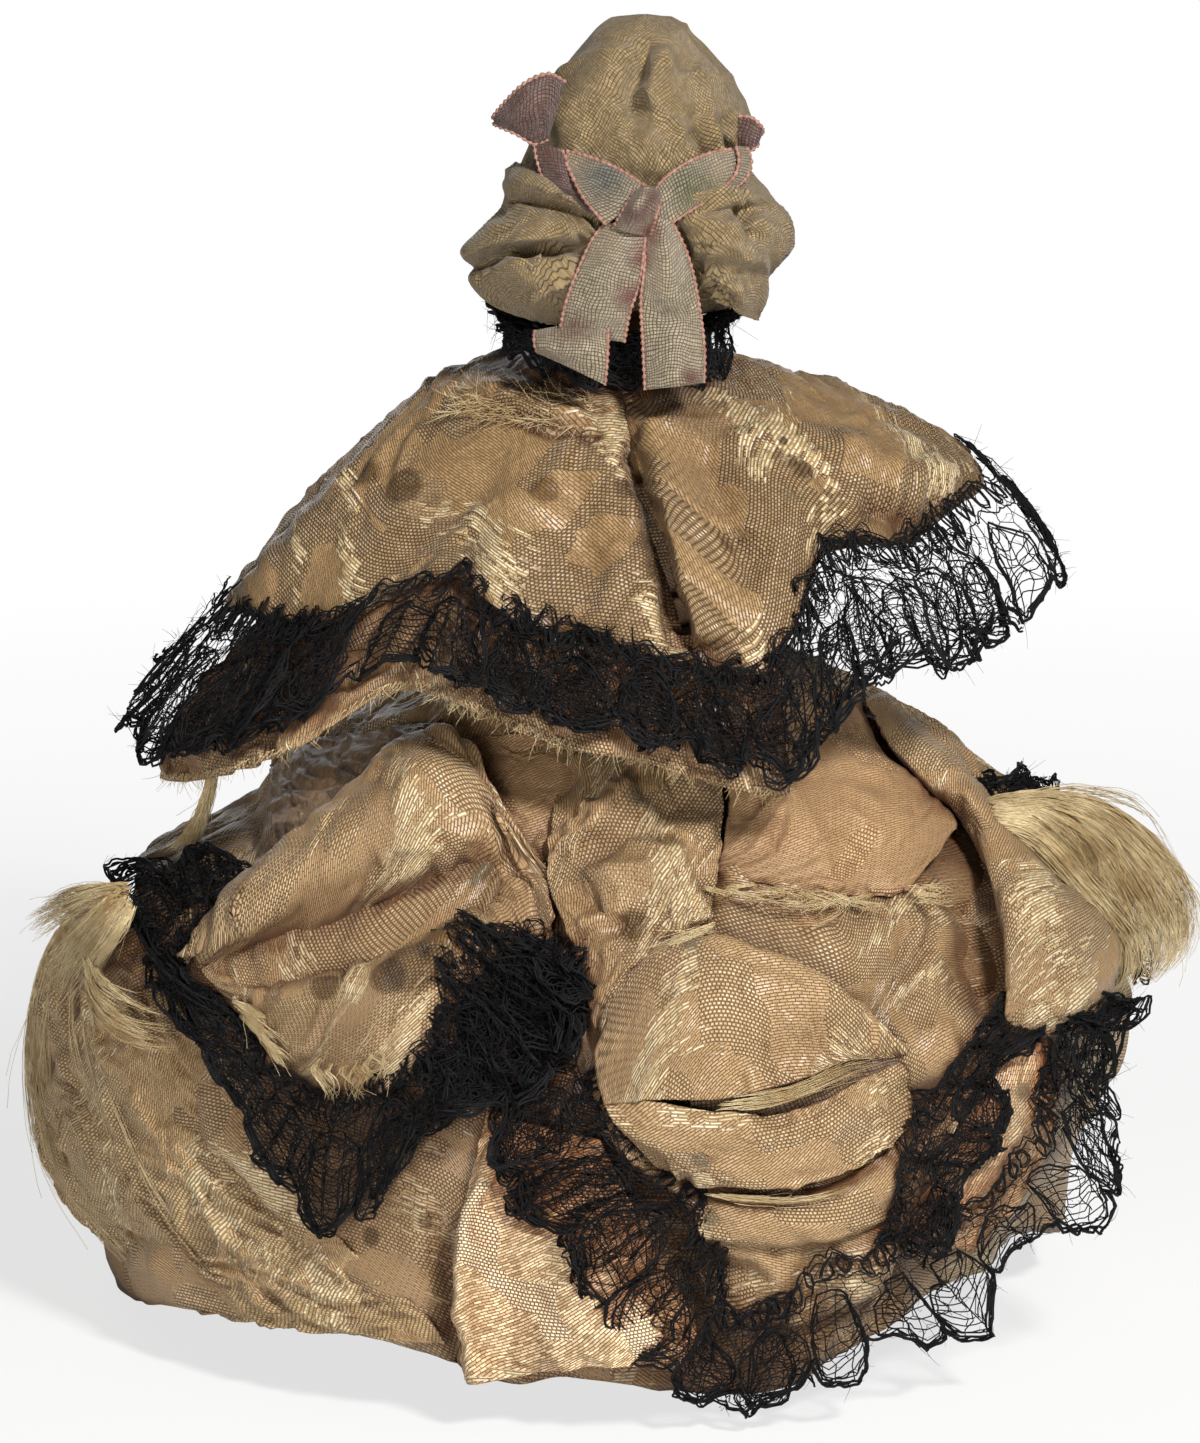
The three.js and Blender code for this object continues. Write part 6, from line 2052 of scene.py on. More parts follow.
@dataclass
class Bonnet:
    """The muslin bonnet: a soft crown and a curtain gathered in two puffs."""

    finishes: Wardrobe
    lean: float = 2.3
    half_width: float = 8.5
    half_depth: float = 9.0
    rim: float = 95.3
    opening: float = 6.2
    top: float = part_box("bonnet_crown")[1].z / MM
    swell: Curve = Curve((0, 1.0), (0.22, 1.02), (0.31, 1.03), (0.37, 1.05), (0.44, 1.02), (0.57, 0.92),
                         (0.77, 0.71), (0.92, 0.45), (1, 0.26))
    left_puff: Curve = Curve((84.3, 7.4), (85, 9.4), (86.5, 11.4), (88.5, 13.2), (90.2, 13.8), (92, 12.2),
                             (94.2, 10.8), (96.7, 10.2), (98.5, 9.2))
    right_puff: Curve = Curve((84.3, 7.6), (84.9, 10.2), (87, 11.5), (89, 12.6), (91, 13.5), (94, 13.6),
                              (96, 11.8), (97.2, 10.2), (98.5, 9.2))
    left_net: tuple = (
        ((585, 196, 11.4), (560, 178, 10.6), (535, 165, 8.2), (516, 159, 4.5), (520, 166, 0)),
        ((594, 210, 12.2), (562, 194, 12.8), (530, 183, 11.4), (502, 180, 6.5), (507, 186, 0)),
        ((598, 222, 12.4), (566, 211, 11.4), (534, 205, 9.8), (504, 206, 6.0), (510, 210, 0)),
        ((600, 229, 12.8), (562, 221, 13.3), (520, 225, 12.4), (481, 230, 7.4), (490, 234, 0)),
        ((600, 237, 12.6), (556, 237, 13.9), (508, 245, 12.9), (463, 252, 7.2), (474, 256, 0)),
        ((598, 245, 12.2), (556, 250, 11.4), (512, 258, 10.2), (476, 266, 5.8), (484, 268, 0)),
        ((598, 253, 12.4), (552, 261, 13.5), (512, 268, 12.8), (472, 279, 7.2), (480, 284, 0)),
        ((596, 270, 12.6), (556, 281, 13.9), (522, 288, 12.4), (490, 299, 7.2), (494, 303, 0)),
        ((590, 296, 12.4), (562, 302, 12.8), (540, 309, 11.2), (515, 313, 7.0), (518, 311, 1)),
        ((584, 318, 11.0), (568, 322, 10.6), (552, 323, 9.4), (538, 321, 7.0), (540, 315, 2)),
    )
    right_net: tuple = (
        ((664, 196, 11.4), (690, 180, 11.0), (716, 170, 8.6), (744, 172, 4.2), (742, 176, 0)),
        ((668, 206, 12.2), (700, 194, 13.2), (736, 190, 11.8), (769, 194, 6.4), (764, 198, 0)),
        ((670, 216, 12.2), (704, 212, 12.4), (738, 208, 10.6), (784, 208, 6.0), (779, 211, 0)),
        ((672, 224, 12.5), (706, 224, 13.9), (744, 222, 13.0), (791, 224, 7.2), (785, 226, 0)),
        ((676, 234, 12.2), (710, 240, 13.3), (750, 241, 12.9), (791, 245, 7.2), (785, 245, 0)),
        ((682, 248, 12.0), (712, 256, 13.6), (746, 258, 12.6), (781, 260, 7.2), (775, 260, 0)),
        ((690, 262, 11.8), (716, 270, 12.2), (744, 274, 11.0), (768, 276, 6.0), (764, 277, 0)),
        ((696, 276, 11.8), (718, 286, 12.9), (742, 292, 12.5), (765, 300, 7.4), (758, 301, 0)),
        ((698, 288, 11.0), (718, 304, 11.4), (740, 315, 10.8), (757, 320, 7.0), (750, 315, 1)),
    )
    left_tuck: tuple = (
        ((540, 250, 12.6), (514, 256, 12.8), (490, 264, 10.4), (474, 272, 7.6)),
        ((536, 262, 14.2), (512, 264, 14.4), (490, 274, 11.6), (476, 282, 8.0)),
        ((532, 276, 14.0), (514, 274, 13.6), (498, 284, 11.2), (486, 292, 8.0)),
        ((546, 298, 13.4), (530, 292, 12.2), (514, 296, 10.8), (500, 300, 8.0)),
    )
    left_folds: tuple[Fold, ...] = (
        Fold(((2.0, 88.6), (6.0, 90.0), (9.4, 91.6)), 0.5, 0.5, 0.5, 0.2),
        Fold(((2.0, 87.4), (6.0, 87.6), (11.0, 86.2)), -0.6, 0.4, 0.5, 0.2),
        Fold(((2.2, 86.0), (5.4, 84.2), (8.4, 82.6)), 0.5, 0.4, 0.5, 0.2),
    )
    right_folds: tuple[Fold, ...] = (
        Fold(((-10.2, 91.6), (-11.6, 89.6), (-12.8, 87.6)), -1.0, 0.5, 0.7, 0.15),
        Fold(((-5.4, 88.8), (-9.0, 88.0), (-12.0, 86.6)), 0.6, 0.5, 0.6, 0.2),
        Fold(((-6.2, 86.6), (-8.6, 84.2), (-10.6, 82.0)), -0.8, 0.5, 0.6, 0.2),
        Fold(((-5.2, 89.6), (-8.4, 91.4), (-12.0, 92.0)), 0.5, 0.5, 0.6, 0.2),
    )
    crown_folds: tuple[Fold, ...] = (
        Fold(((-3.3, 106.6), (-2.4, 103.6), (-1.6, 101), (-0.8, 98.6)), -2.0, 0.7, 0.9, 0.15),
        Fold(((3.6, 103.6), (4.4, 100.4), (5.6, 97.4)), 0.9, 1.0, 1.4, 0.3),
        Fold(((-1.6, 98.4), (-3.2, 95.6), (-3.6, 92.8)), 0.9, 1.2, 1.2, 0.3),
        Fold(((4.8, 95.8), (1.4, 94.6), (-1.6, 92.6)), 0.8, 1.0, 0.8, 0.3),
        Fold(((-6.4, 97.8), (-7.6, 96.6), (-8.2, 94.4)), -1.1, 0.5, 0.7, 0.2),
        Fold(((-4.4, 105), (-3.2, 102), (-2.6, 99)), 0.8, 1.0, 1.0),
        Fold(((-0.4, 106), (0.6, 102.5), (2.4, 99)), 0.7, 1.2, 1.6),
        Fold(((-5.2, 103.6), (-6.2, 103), (-7.2, 102.6)), -0.8, 0.7, 0.8, 0.3),
        Fold(((-4, 95.5), (-3.2, 99), (-4.5, 102)), 0.5, 1.2, 1.2),
        Fold(((-8.2, 94.5), (-7.6, 97.5), (-6.6, 100)), -0.8, 0.6, 0.7, 0.2),
        Fold(((-9.8, 95), (-9.4, 97.5), (-8.6, 99)), -0.7, 0.5, 0.6, 0.2),
        Fold(((-9, 94.8), (-8.5, 97.5), (-7.5, 99.5)), 0.5, 0.6, 0.6, 0.2),
        Fold(((3, 95), (1.5, 97.5), (-1, 98)), -0.5, 0.8, 0.8),
        Fold(((4.6, 96), (4, 100), (2.4, 104)), 0.4, 1.6, 1.6),
    )

    def rim_height(self, angle: Array) -> Array:
        """Height of the crown's rim, which rises over the face."""
        return self.rim + self.opening * ease((np.abs(angle) - 75) / 75)

    def build(self) -> None:
        """Builds the crown and the two puffs."""
        u, v = span(220, 90)
        angle = mix(-180, 180, u)
        small = wave(angle / 9 + 0.4 * np.sin(angle / 17))
        creases = 0.3 * wave(angle / 30) * v + 0.25 * small * (1 - v) ** 3
        radius = (ellipse(angle, self.half_width, self.half_depth) - creases) * self.swell(v)
        radius = radius * np.sqrt(np.clip((1 - v) / 0.06, 0, 1)) * 0.995 + 0.02
        z = mix(self.rim_height(angle), self.top - 1.3, v**1.25)
        points = around(angle, radius, z, (-self.lean, 1))
        flat = np.stack([SIGHT.seen(points)[0] * 1.15, points[..., 2] * 1.2 - 0.4 * points[..., 1]], -1)
        moved = folded(points, self.crown_folds)
        moved = crumpled(moved, flat, 0.55, 4.2, 91, 0.9)
        blend = ease((1 - v) / 0.15)[..., None]
        points = mix(points, moved, blend)
        points[:, -1] = points[:, 0]
        points[-1] = points[-1].mean(0)
        made = cloth_piece("bonnet_crown_muslin", points[::-1], self.finishes.muslin,
                           nodes=["bonnet_crown"], wrap=True, thickness=0.18, grain=35)
        for side, sign in (("left", 1), ("right", -1)):
            self.curtain(side, sign)

    def curtain(self, side: str, sign: int) -> None:
        """One puff of the curtain.

        Args:
            side: left or right.
            sign: 1 for the doll's left and -1 for its right.
        """
        u, v = span(170, 80)
        angle = sign * mix(1, 128, u)
        sideways = ease(np.abs(angle) / 75)
        top = self.rim + mix(1.4, 3.8, sideways)
        low = mix(86.8, 85.8, sideways) + 2.6 * ease((np.abs(angle) - 90) / 40)
        z = mix(top, low, v)
        full = self.left_puff if sign > 0 else self.right_puff
        behind = Curve((84.3, 7.6), (84.9, 9.6), (87, 11.0), (90, 11.4), (93, 10.9), (96, 9.9), (98, 9.4))
        radius = mix(behind(z), full(z), sideways) - mix(2.2, 0.8, ease((np.abs(angle) - 90) / 30))
        pleats = 0.6 * wave(7 * np.abs(angle) / 130 + 0.3 * v) * hump(v)
        front = ease((np.abs(angle) - 95) / 33)
        radius = mix(radius + pleats, 9.6, 0.6 * front)
        points = around(angle, radius, z, (-self.lean / 2, 0))
        points = crumpled(points, flat_places(points), 0.2, 3.6, 95 + sign)
        made = cloth_piece(f"bonnet_puff_{side}", points, self.finishes.muslin,
                           nodes=[f"bonnet_curtain_{side}"], thickness=0.18, grain=20 * sign)
        self.pouch(f"bonnet_pouch_{side}", self.left_net if sign > 0 else self.right_net,
                   self.left_folds if sign > 0 else self.right_folds, 95 + sign)
        if sign > 0:
            self.pouch("bonnet_tuck_left", self.left_tuck, (), 99)

    def pouch(self, name: str, net: tuple, folds: Sequence[Fold], seed: int) -> None:
        """The outer muslin of a puff, where the photograph shows it.

        Args:
            name: The piece's name.
            net: Rows of pixels across and down and distances behind the doll's middle.
            folds: Its folds.
            seed: Picks its creases.
        """
        points = SIGHT.free(net, 90, 120)
        flat = flat_places(points)
        points = crumpled(folded(points, folds), flat, 0.5, 3.8, seed, 0.9)
        made = cloth_piece(name, points, self.finishes.muslin, thickness=0.16, grain=25)


@dataclass
class Ribbons:
    """The picot ribbon: a band, a knot, two tails, two bow loops and a twisted loop."""

    finishes: Wardrobe
    bonnet: Bonnet
    width: float = 6.1
    picots: Threads = field(default_factory=lambda: Threads(sides=5))

    def edging(self, line: Array) -> None:
        """A looped edge of pink silk.

        Args:
            line: Points along the ribbon's edge.
        """
        steps = np.linalg.norm(np.diff(line, axis=0), axis=1)
        length = np.concatenate([[0], np.cumsum(steps)])
        count = max(8, int(length[-1] / 0.11))
        at = np.linspace(0, length[-1], count)
        fine = np.stack([np.interp(at, length, column) for column in line.T], -1)
        beads = 0.15 + 0.06 * np.sin(at * 2 * np.pi / 0.55)
        self.picots.add(fine[None], beads[None])

    def ribbon(self, name: str, node: str, points: Array, flat: Array, finish: bpy.types.Material) -> None:
        """A ribbon with its two looped edges.

        Args:
            name: The piece's name.
            node: The frame's node that it stands for, or nothing.
            points: Rows by columns by x, y and z, with its edges as the first row and the last.
            flat: Where each point lay on the flat ribbon.
            finish: Its material.
        """
        made = piece(name, lattice_mesh(name, points, flat), finish, nodes=[node])
        thicken(made, 0.12)
        self.edging(points[0])
        self.edging(points[-1])

    def band(self, centre: Array, half: Array) -> None:
        """The ribbon round the crown.

        Args:
            centre: Points along its middle.
            half: Half its width at each point.
        """
        up = np.array([0.0, 0.0, 1.0])
        w = np.linspace(-1, 1, 13)[:, None]
        along = np.gradient(centre, axis=0)
        out = np.cross(along, up)
        out /= np.maximum(np.linalg.norm(out, axis=-1, keepdims=True), 1e-9)
        gather = 1 - half / (self.width / 2)
        ripples = 0.3 * gather * np.cos(w * 7) + 0.3 * np.cos(w * 1.6)
        walk = np.arange(len(centre)) / 6 + w
        ripples = ripples + 0.16 * ripple(walk, w * 2 + 0 * walk, 3.0, seed=16)
        points = centre + up * (w * half)[..., None] + out * ripples[..., None]
        length = np.cumsum(np.linalg.norm(along, axis=1))
        flat = np.stack(np.broadcast_arrays(w * self.width / 2, length), -1)
        self.ribbon("ribbon_band_silk", "ribbon_band", points, flat, self.finishes.ribbon)

    def loop(self, name: str, node: str, finish: bpy.types.Material, net: tuple) -> None:
        """A loop of ribbon that stands free of the bonnet.

        Args:
            name: The piece's name.
            node: The frame's node that it stands for.
            finish: Its material.
            net: Rows across the ribbon of pixels across and down and distance behind the doll's middle.
        """
        points = SIGHT.free(net, 60, 12)
        self.ribbon(name, node, points, flat_places(points, 90), finish)

    def build(self) -> None:
        """Builds the ribbon."""
        lean, depth = self.bonnet.lean, self.bonnet.half_depth
        angle = np.linspace(66, 294, 180)
        turned = from_back(angle)
        half = np.where(turned > 0, 2.5, 1.6) * mix(1, 0.45, ease((np.abs(turned) - 60) / 30))
        rise = self.bonnet.rim_height(turned) - self.bonnet.rim
        z = np.where(turned > 0, 99.0, 99.4) + 0.5 * rise * ease((np.abs(turned) - 95) / 40)
        radius = ellipse(angle, self.bonnet.half_width, depth) * 0.95 + 0.6
        centre = around(angle, radius, z, (-lean, 1))
        self.band(centre, half)
        ribbon = self.finishes.ribbon
        self.loop("ribbon_band_left_silk", "", ribbon, (
            ((566, 151, 10.4), (590, 157, 11.6), (622, 171, 12.6), (652, 191, 13.6)),
            ((567, 160, 11.0), (586, 177, 12.6), (606, 192, 13.4), (630, 207, 14.4)),
            ((564, 158, 10.8), (573, 178, 12.4), (585, 200, 13.2), (606, 225, 14.0)),
        ))
        self.loop("ribbon_band_right_silk", "", ribbon, (
            ((745, 149, 9.0), (718, 151, 11.2), (688, 162, 12.4), (662, 181, 13.2), (652, 196, 13.8)),
            ((747, 164, 9.4), (722, 170, 12.0), (694, 184, 13.2), (672, 198, 13.8), (656, 210, 14.4)),
            ((746, 178, 9.0), (728, 189, 11.4), (700, 205, 12.8), (678, 219, 13.6), (662, 230, 13.8)),
        ))
        self.loop("ribbon_turn_right_silk", "", ribbon, (
            ((736, 146, 10.2), (739, 160, 10.8), (735, 175, 11.2), (722, 189, 12.2)),
            ((747, 147, 9.0), (751, 162, 9.2), (746, 178, 9.8), (731, 193, 11.4)),
        ))
        self.loop("ribbon_tail_left_silk", "ribbon_tail_left", ribbon, (
            ((606, 222, 13.2), (592, 240, 13.6), (578, 270, 14.2), (566, 302, 14.2), (559, 334, 13.4)),
            ((626, 226, 14.0), (618, 246, 14.8), (606, 275, 15.2), (596, 306, 14.8), (590, 338, 13.8)),
            ((646, 226, 13.6), (644, 250, 14.4), (639, 285, 14.4), (630, 312, 14.2), (624, 342, 13.4)),
        ))
        self.loop("ribbon_fold_silk", "", ribbon, (
            ((608, 324, 13.6), (608, 340, 15.0), (607, 362, 15.4), (605, 385, 15.2)),
            ((582, 325, 13.6), (581, 338, 15.0), (580, 354, 15.6), (579, 372, 15.0)),
            ((556, 327, 13.2), (555, 337, 14.4), (555, 350, 15.0), (556, 361, 14.4)),
            ((535, 331, 12.6), (534, 338, 13.6), (535, 346, 13.8), (538, 353, 13.2)),
        ))
        self.loop("ribbon_tail_right_silk", "ribbon_tail_right", ribbon, (
            ((644, 214, 13.4), (645, 262, 14.4), (641, 300, 14.8), (643, 345, 14.4), (645, 390, 14.8)),
            ((656, 214, 14.0), (667, 262, 15.4), (670, 300, 15.6), (674, 318, 14.6), (674, 345, 15.4),
             (674, 387, 15.8)),
            ((668, 214, 13.6), (688, 256, 14.2), (698, 300, 14.2), (704, 345, 13.9), (704, 383, 14.4)),
        ))
        self.loop("ribbon_knot_silk", "ribbon_knot", ribbon, (
            ((636, 190, 13.6), (625, 207, 15.0), (613, 228, 14.0)),
            ((646, 186, 15.6), (637, 206, 16.6), (627, 232, 15.0)),
            ((655, 188, 14.8), (648, 208, 15.6), (639, 235, 14.4)),
            ((662, 196, 13.6), (657, 214, 15.8), (650, 236, 14.0)),
        ))
        self.loop("ribbon_bow_left_silk", "ribbon_bow_left", self.finishes.bow, (
            ((566, 82, 9.0), (548, 74, 9.8), (524, 84, 10.0), (500, 108, 9.4), (494, 117, 8.4),
             (520, 92, 7.4), (556, 84, 6.8)),
            ((556, 112, 9.4), (540, 108, 10.8), (520, 112, 11.0), (502, 121, 10.0), (496, 122, 8.2),
             (520, 112, 7.0), (552, 112, 6.6)),
            ((548, 140, 9.0), (534, 144, 9.8), (516, 134, 10.0), (500, 127, 9.4), (495, 124, 8.4),
             (516, 130, 7.4), (546, 138, 6.8)),
        ))
        self.loop("ribbon_bow_right_silk", "ribbon_bow_right", self.finishes.bow, (
            ((738, 116, 8.2), (752, 118, 8.4), (762, 128, 7.8), (760, 134, 6.4), (744, 124, 5.6)),
            ((738, 132, 8.2), (750, 136, 8.4), (760, 136, 7.8), (758, 138, 6.4), (744, 138, 5.6)),
            ((740, 150, 8.2), (748, 152, 8.4), (757, 146, 7.8), (756, 144, 6.4), (744, 150, 5.6)),
        ))
        self.loop("ribbon_twist_silk", "ribbon_twist_left", self.finishes.bow, (
            ((534, 143, 9.6), (537, 160, 10.4), (545, 182, 11.2), (560, 198, 11.8), (580, 207, 12.2)),
            ((549, 146, 10.2), (556, 164, 11.6), (566, 184, 12.2), (580, 203, 12.6), (592, 213, 12.6)),
            ((562, 150, 10.4), (571, 168, 11.4), (583, 192, 12.0), (594, 210, 12.6), (603, 222, 12.8)),
        ))
        piece("ribbon_picots", self.picots.mesh("ribbon_picots"), self.finishes.picot)


@dataclass
class CarvedDoll:
    """The carved and pegged body, with its painted head."""

    finishes: Wardrobe
    lean: float = 0.8
    chin: float = 87.0
    height: float = 20.4
    width: Curve = Curve((0.0, 3.0), (0.04, 3.54), (0.16, 4.84), (0.35, 5.6), (0.55, 5.9), (0.75, 5.49),
                         (0.9, 4.13), (0.975, 2.36), (1.0, 0.4))
    depth: Curve = Curve((0.0, 3.2), (0.04, 4.03), (0.16, 5.46), (0.35, 6.24), (0.55, 6.5), (0.75, 6.11),
                         (0.9, 4.68), (0.975, 2.73), (1.0, 0.4))

    def skin(self, angle: Array, share: Array, out: float) -> Array:
        """Points just over the carved head."""
        radius = ellipse(angle, self.width(share), self.depth(share)) + out
        return around(angle, radius, self.chin + self.height * share, (-self.lean, 0))

    def feature(self, name: str, centre: tuple[float, float], size: tuple[float, float], out: float,
                finish: bpy.types.Material, bend: float = 0.0) -> None:
        """A painted spot on the face.

        Args:
            name: The piece's name.
            centre: Angle and share of the head's height.
            size: Half its width in degrees and half its height as a share.
            out: How far it stands out of the face.
            finish: Its paint.
            bend: How far its ends drop, as a share of the head's height.
        """
        u, v = span(20, 8)
        turn, reach = 2 * np.pi * u, mix(1.0, 0.02, v)
        across = np.cos(turn) * reach
        angle = centre[0] + size[0] * across
        share = centre[1] + size[1] * np.sin(turn) * reach - bend * across**2
        points = self.skin(angle, share, out)
        mesh = lattice_mesh(name, points, flat_places(points), True)
        piece(name, mesh, finish)

    def build(self) -> None:
        """Dresses the frame's own nodes and paints the head."""
        for name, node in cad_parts.items():
            wooden = name.startswith(("head", "nose", "upper_arm", "forearm", "thigh", "lower_leg"))
            pegged = "pin" in name or "peg" in name
            if wooden or pegged:
                node.data.materials.clear()
                node.data.materials.append(self.finishes.peg if pegged else self.finishes.wood)
        u, v = span(96, 60)
        points = self.skin(mix(96, 264, u), mix(0.02, 0.86, v), 0.14)
        face = piece("painted_face", lattice_mesh("painted_face", points, flat_places(points)),
                     self.finishes.flesh)
        thicken(face, 0.1, -1)
        hairline = Curve((60, 0.1), (100, 0.18), (120, 0.3), (145, 0.62), (165, 0.76), (180, 0.8),
                         (195, 0.76), (215, 0.62), (240, 0.3), (260, 0.18), (300, 0.1))
        angle = mix(0, 360, u)
        points = self.skin(angle, mix(0.995, hairline(angle), v), 0.32)
        points += normals(points) * (0.1 * wave(angle / 12 + 2 * v))[..., None]
        points[:, -1] = points[:, 0]
        hair = piece("painted_hair", lattice_mesh("painted_hair", points, flat_places(points), True),
                     self.finishes.hair)
        thicken(hair, 0.15, -1)
        for side, sign in (("left", -1), ("right", 1)):
            self.feature(f"eye_white_{side}", (180 + 19 * sign, 0.53), (8.5, 0.028), 0.27, self.finishes.eye)
            self.feature(f"eye_pupil_{side}", (180 + 19 * sign, 0.53), (3.6, 0.026), 0.33, self.finishes.hair)
            self.feature(f"eye_lid_{side}", (180 + 19 * sign, 0.56), (9.5, 0.007), 0.33,
                         self.finishes.hair, 0.02)
            self.feature(f"eyebrow_{side}", (180 + 20 * sign, 0.625), (11, 0.008), 0.27,
                         self.finishes.hair, 0.022)
        self.feature("mouth_paint", (180, 0.22), (10, 0.018), 0.27, self.finishes.mouth, -0.01)


@dataclass
class Studio:
    """A plain pale floor, soft lamps and the camera behind the doll.

    Attributes:
        floor_half: Half the floor's side.
        sensor: Longer side of the camera's film, in millimetres.
        lamps: Each lamp's name, its place, its side and its power in watts.
    """

    floor_half: float = 1500.0
    sensor: float = 36.0
    lamps: tuple[tuple[str, tuple[float, float, float], float, float], ...] = (
        ("key", (-200, 390, 420), 80, 4.3),
        ("low", (130, 500, 80), 160, 1.2),
        ("front", (40, -480, 60), 300, 0.5),
    )

    def floor(self) -> None:
        """A pale floor that shows nearly white and keeps the doll's shadow."""
        half = self.floor_half
        corners = np.array([[-half, -half, 0], [half, -half, 0], [half, half, 0], [-half, half, 0]], float)
        mesh = new_mesh("floor", corners, [np.array([[0, 1, 2, 3]])])
        made = bpy.data.objects.new("floor", mesh)
        bpy.context.scene.collection.objects.link(made)
        finish = bpy.data.materials.new("pale_paper")
        finish.use_nodes = True
        tree = finish.node_tree
        tree.nodes.clear()
        paper = add(tree, "ShaderNodeBsdfDiffuse", {"Color": linear("#e6e6e4")}).outputs[0]
        white = add(tree, "ShaderNodeEmission", {"Color": (1, 1, 1, 1), "Strength": 1.0}).outputs[0]
        seen = add(tree, "ShaderNodeLightPath").outputs["Is Camera Ray"]
        place = add(tree, "ShaderNodeTexCoord").outputs["Object"]
        away = add(tree, "ShaderNodeVectorMath", {0: place}, operation="LENGTH").outputs["Value"]
        clear = add(tree, "ShaderNodeMapRange", {
            "Value": away, "From Min": 0.07, "From Max": 0.25, "To Min": 0.72, "To Max": 1.0,
        }).outputs[0]
        share = add(tree, "ShaderNodeMath", {0: seen, 1: clear}, operation="MULTIPLY").outputs[0]
        both = add(tree, "ShaderNodeMixShader", {0: share, 1: paper, 2: white}).outputs[0]
        add(tree, "ShaderNodeOutputMaterial", {"Surface": both})
        mesh.materials.append(finish)

    def world(self) -> None:
        """A soft grey sky that the camera sees as white."""
        world = bpy.data.worlds.new("studio_sky")
        bpy.context.scene.world = world
        world.use_nodes = True
        tree = world.node_tree
        tree.nodes.clear()
        soft = add(tree, "ShaderNodeBackground", {"Color": (1, 1, 1, 1), "Strength": 0.11}).outputs[0]
        white = add(tree, "ShaderNodeBackground", {"Color": (1, 1, 1, 1), "Strength": 1.0}).outputs[0]
        seen = add(tree, "ShaderNodeLightPath").outputs["Is Camera Ray"]
        both = add(tree, "ShaderNodeMixShader", {0: seen, 1: soft, 2: white}).outputs[0]
        add(tree, "ShaderNodeOutputWorld", {"Surface": both})

    def lamp(self, name: str, place: tuple[float, float, float], size: float, power: float) -> None:
        """A square soft lamp aimed at the doll.

        Args:
            name: The lamp's name.
            place: Where it stands.
            size: Its side.
            power: Its power in watts.
        """
        light = bpy.data.lights.new(name, "AREA")
        light.size = size * MM
        light.energy = power
        made = bpy.data.objects.new(name, light)
        bpy.context.scene.collection.objects.link(made)
        self.aim_at(made, place)

    def aim_at(self, thing: bpy.types.Object, place: Sequence[float]) -> None:
        """Puts a lamp or camera at a place and turns it to the doll."""
        at, aim = np.array(place, float), np.array(SIGHT.aim, float)
        thing.location = at * MM
        thing.rotation_mode = "QUATERNION"
        thing.rotation_quaternion = Vector(aim - at).to_track_quat("-Z", "Y")

    def camera(self) -> None:
        """The camera, level with the photographed view from behind."""
        data = bpy.data.cameras.new("camera")
        data.sensor_width = self.sensor
        data.lens = self.sensor * SIGHT.distance / SIGHT.field_height
        data.clip_start, data.clip_end = 0.01, 10.0
        made = bpy.data.objects.new("camera", data)
        bpy.context.scene.collection.objects.link(made)
        self.aim_at(made, SIGHT.eye)
        bpy.context.scene.camera = made

    def build(self) -> None:
        """Builds the studio."""
        self.floor()
        self.world()
        for name, place, size, power in self.lamps:
            self.lamp(name, place, size, power)
        self.camera()
        bpy.context.scene.view_settings.view_transform = "Standard"


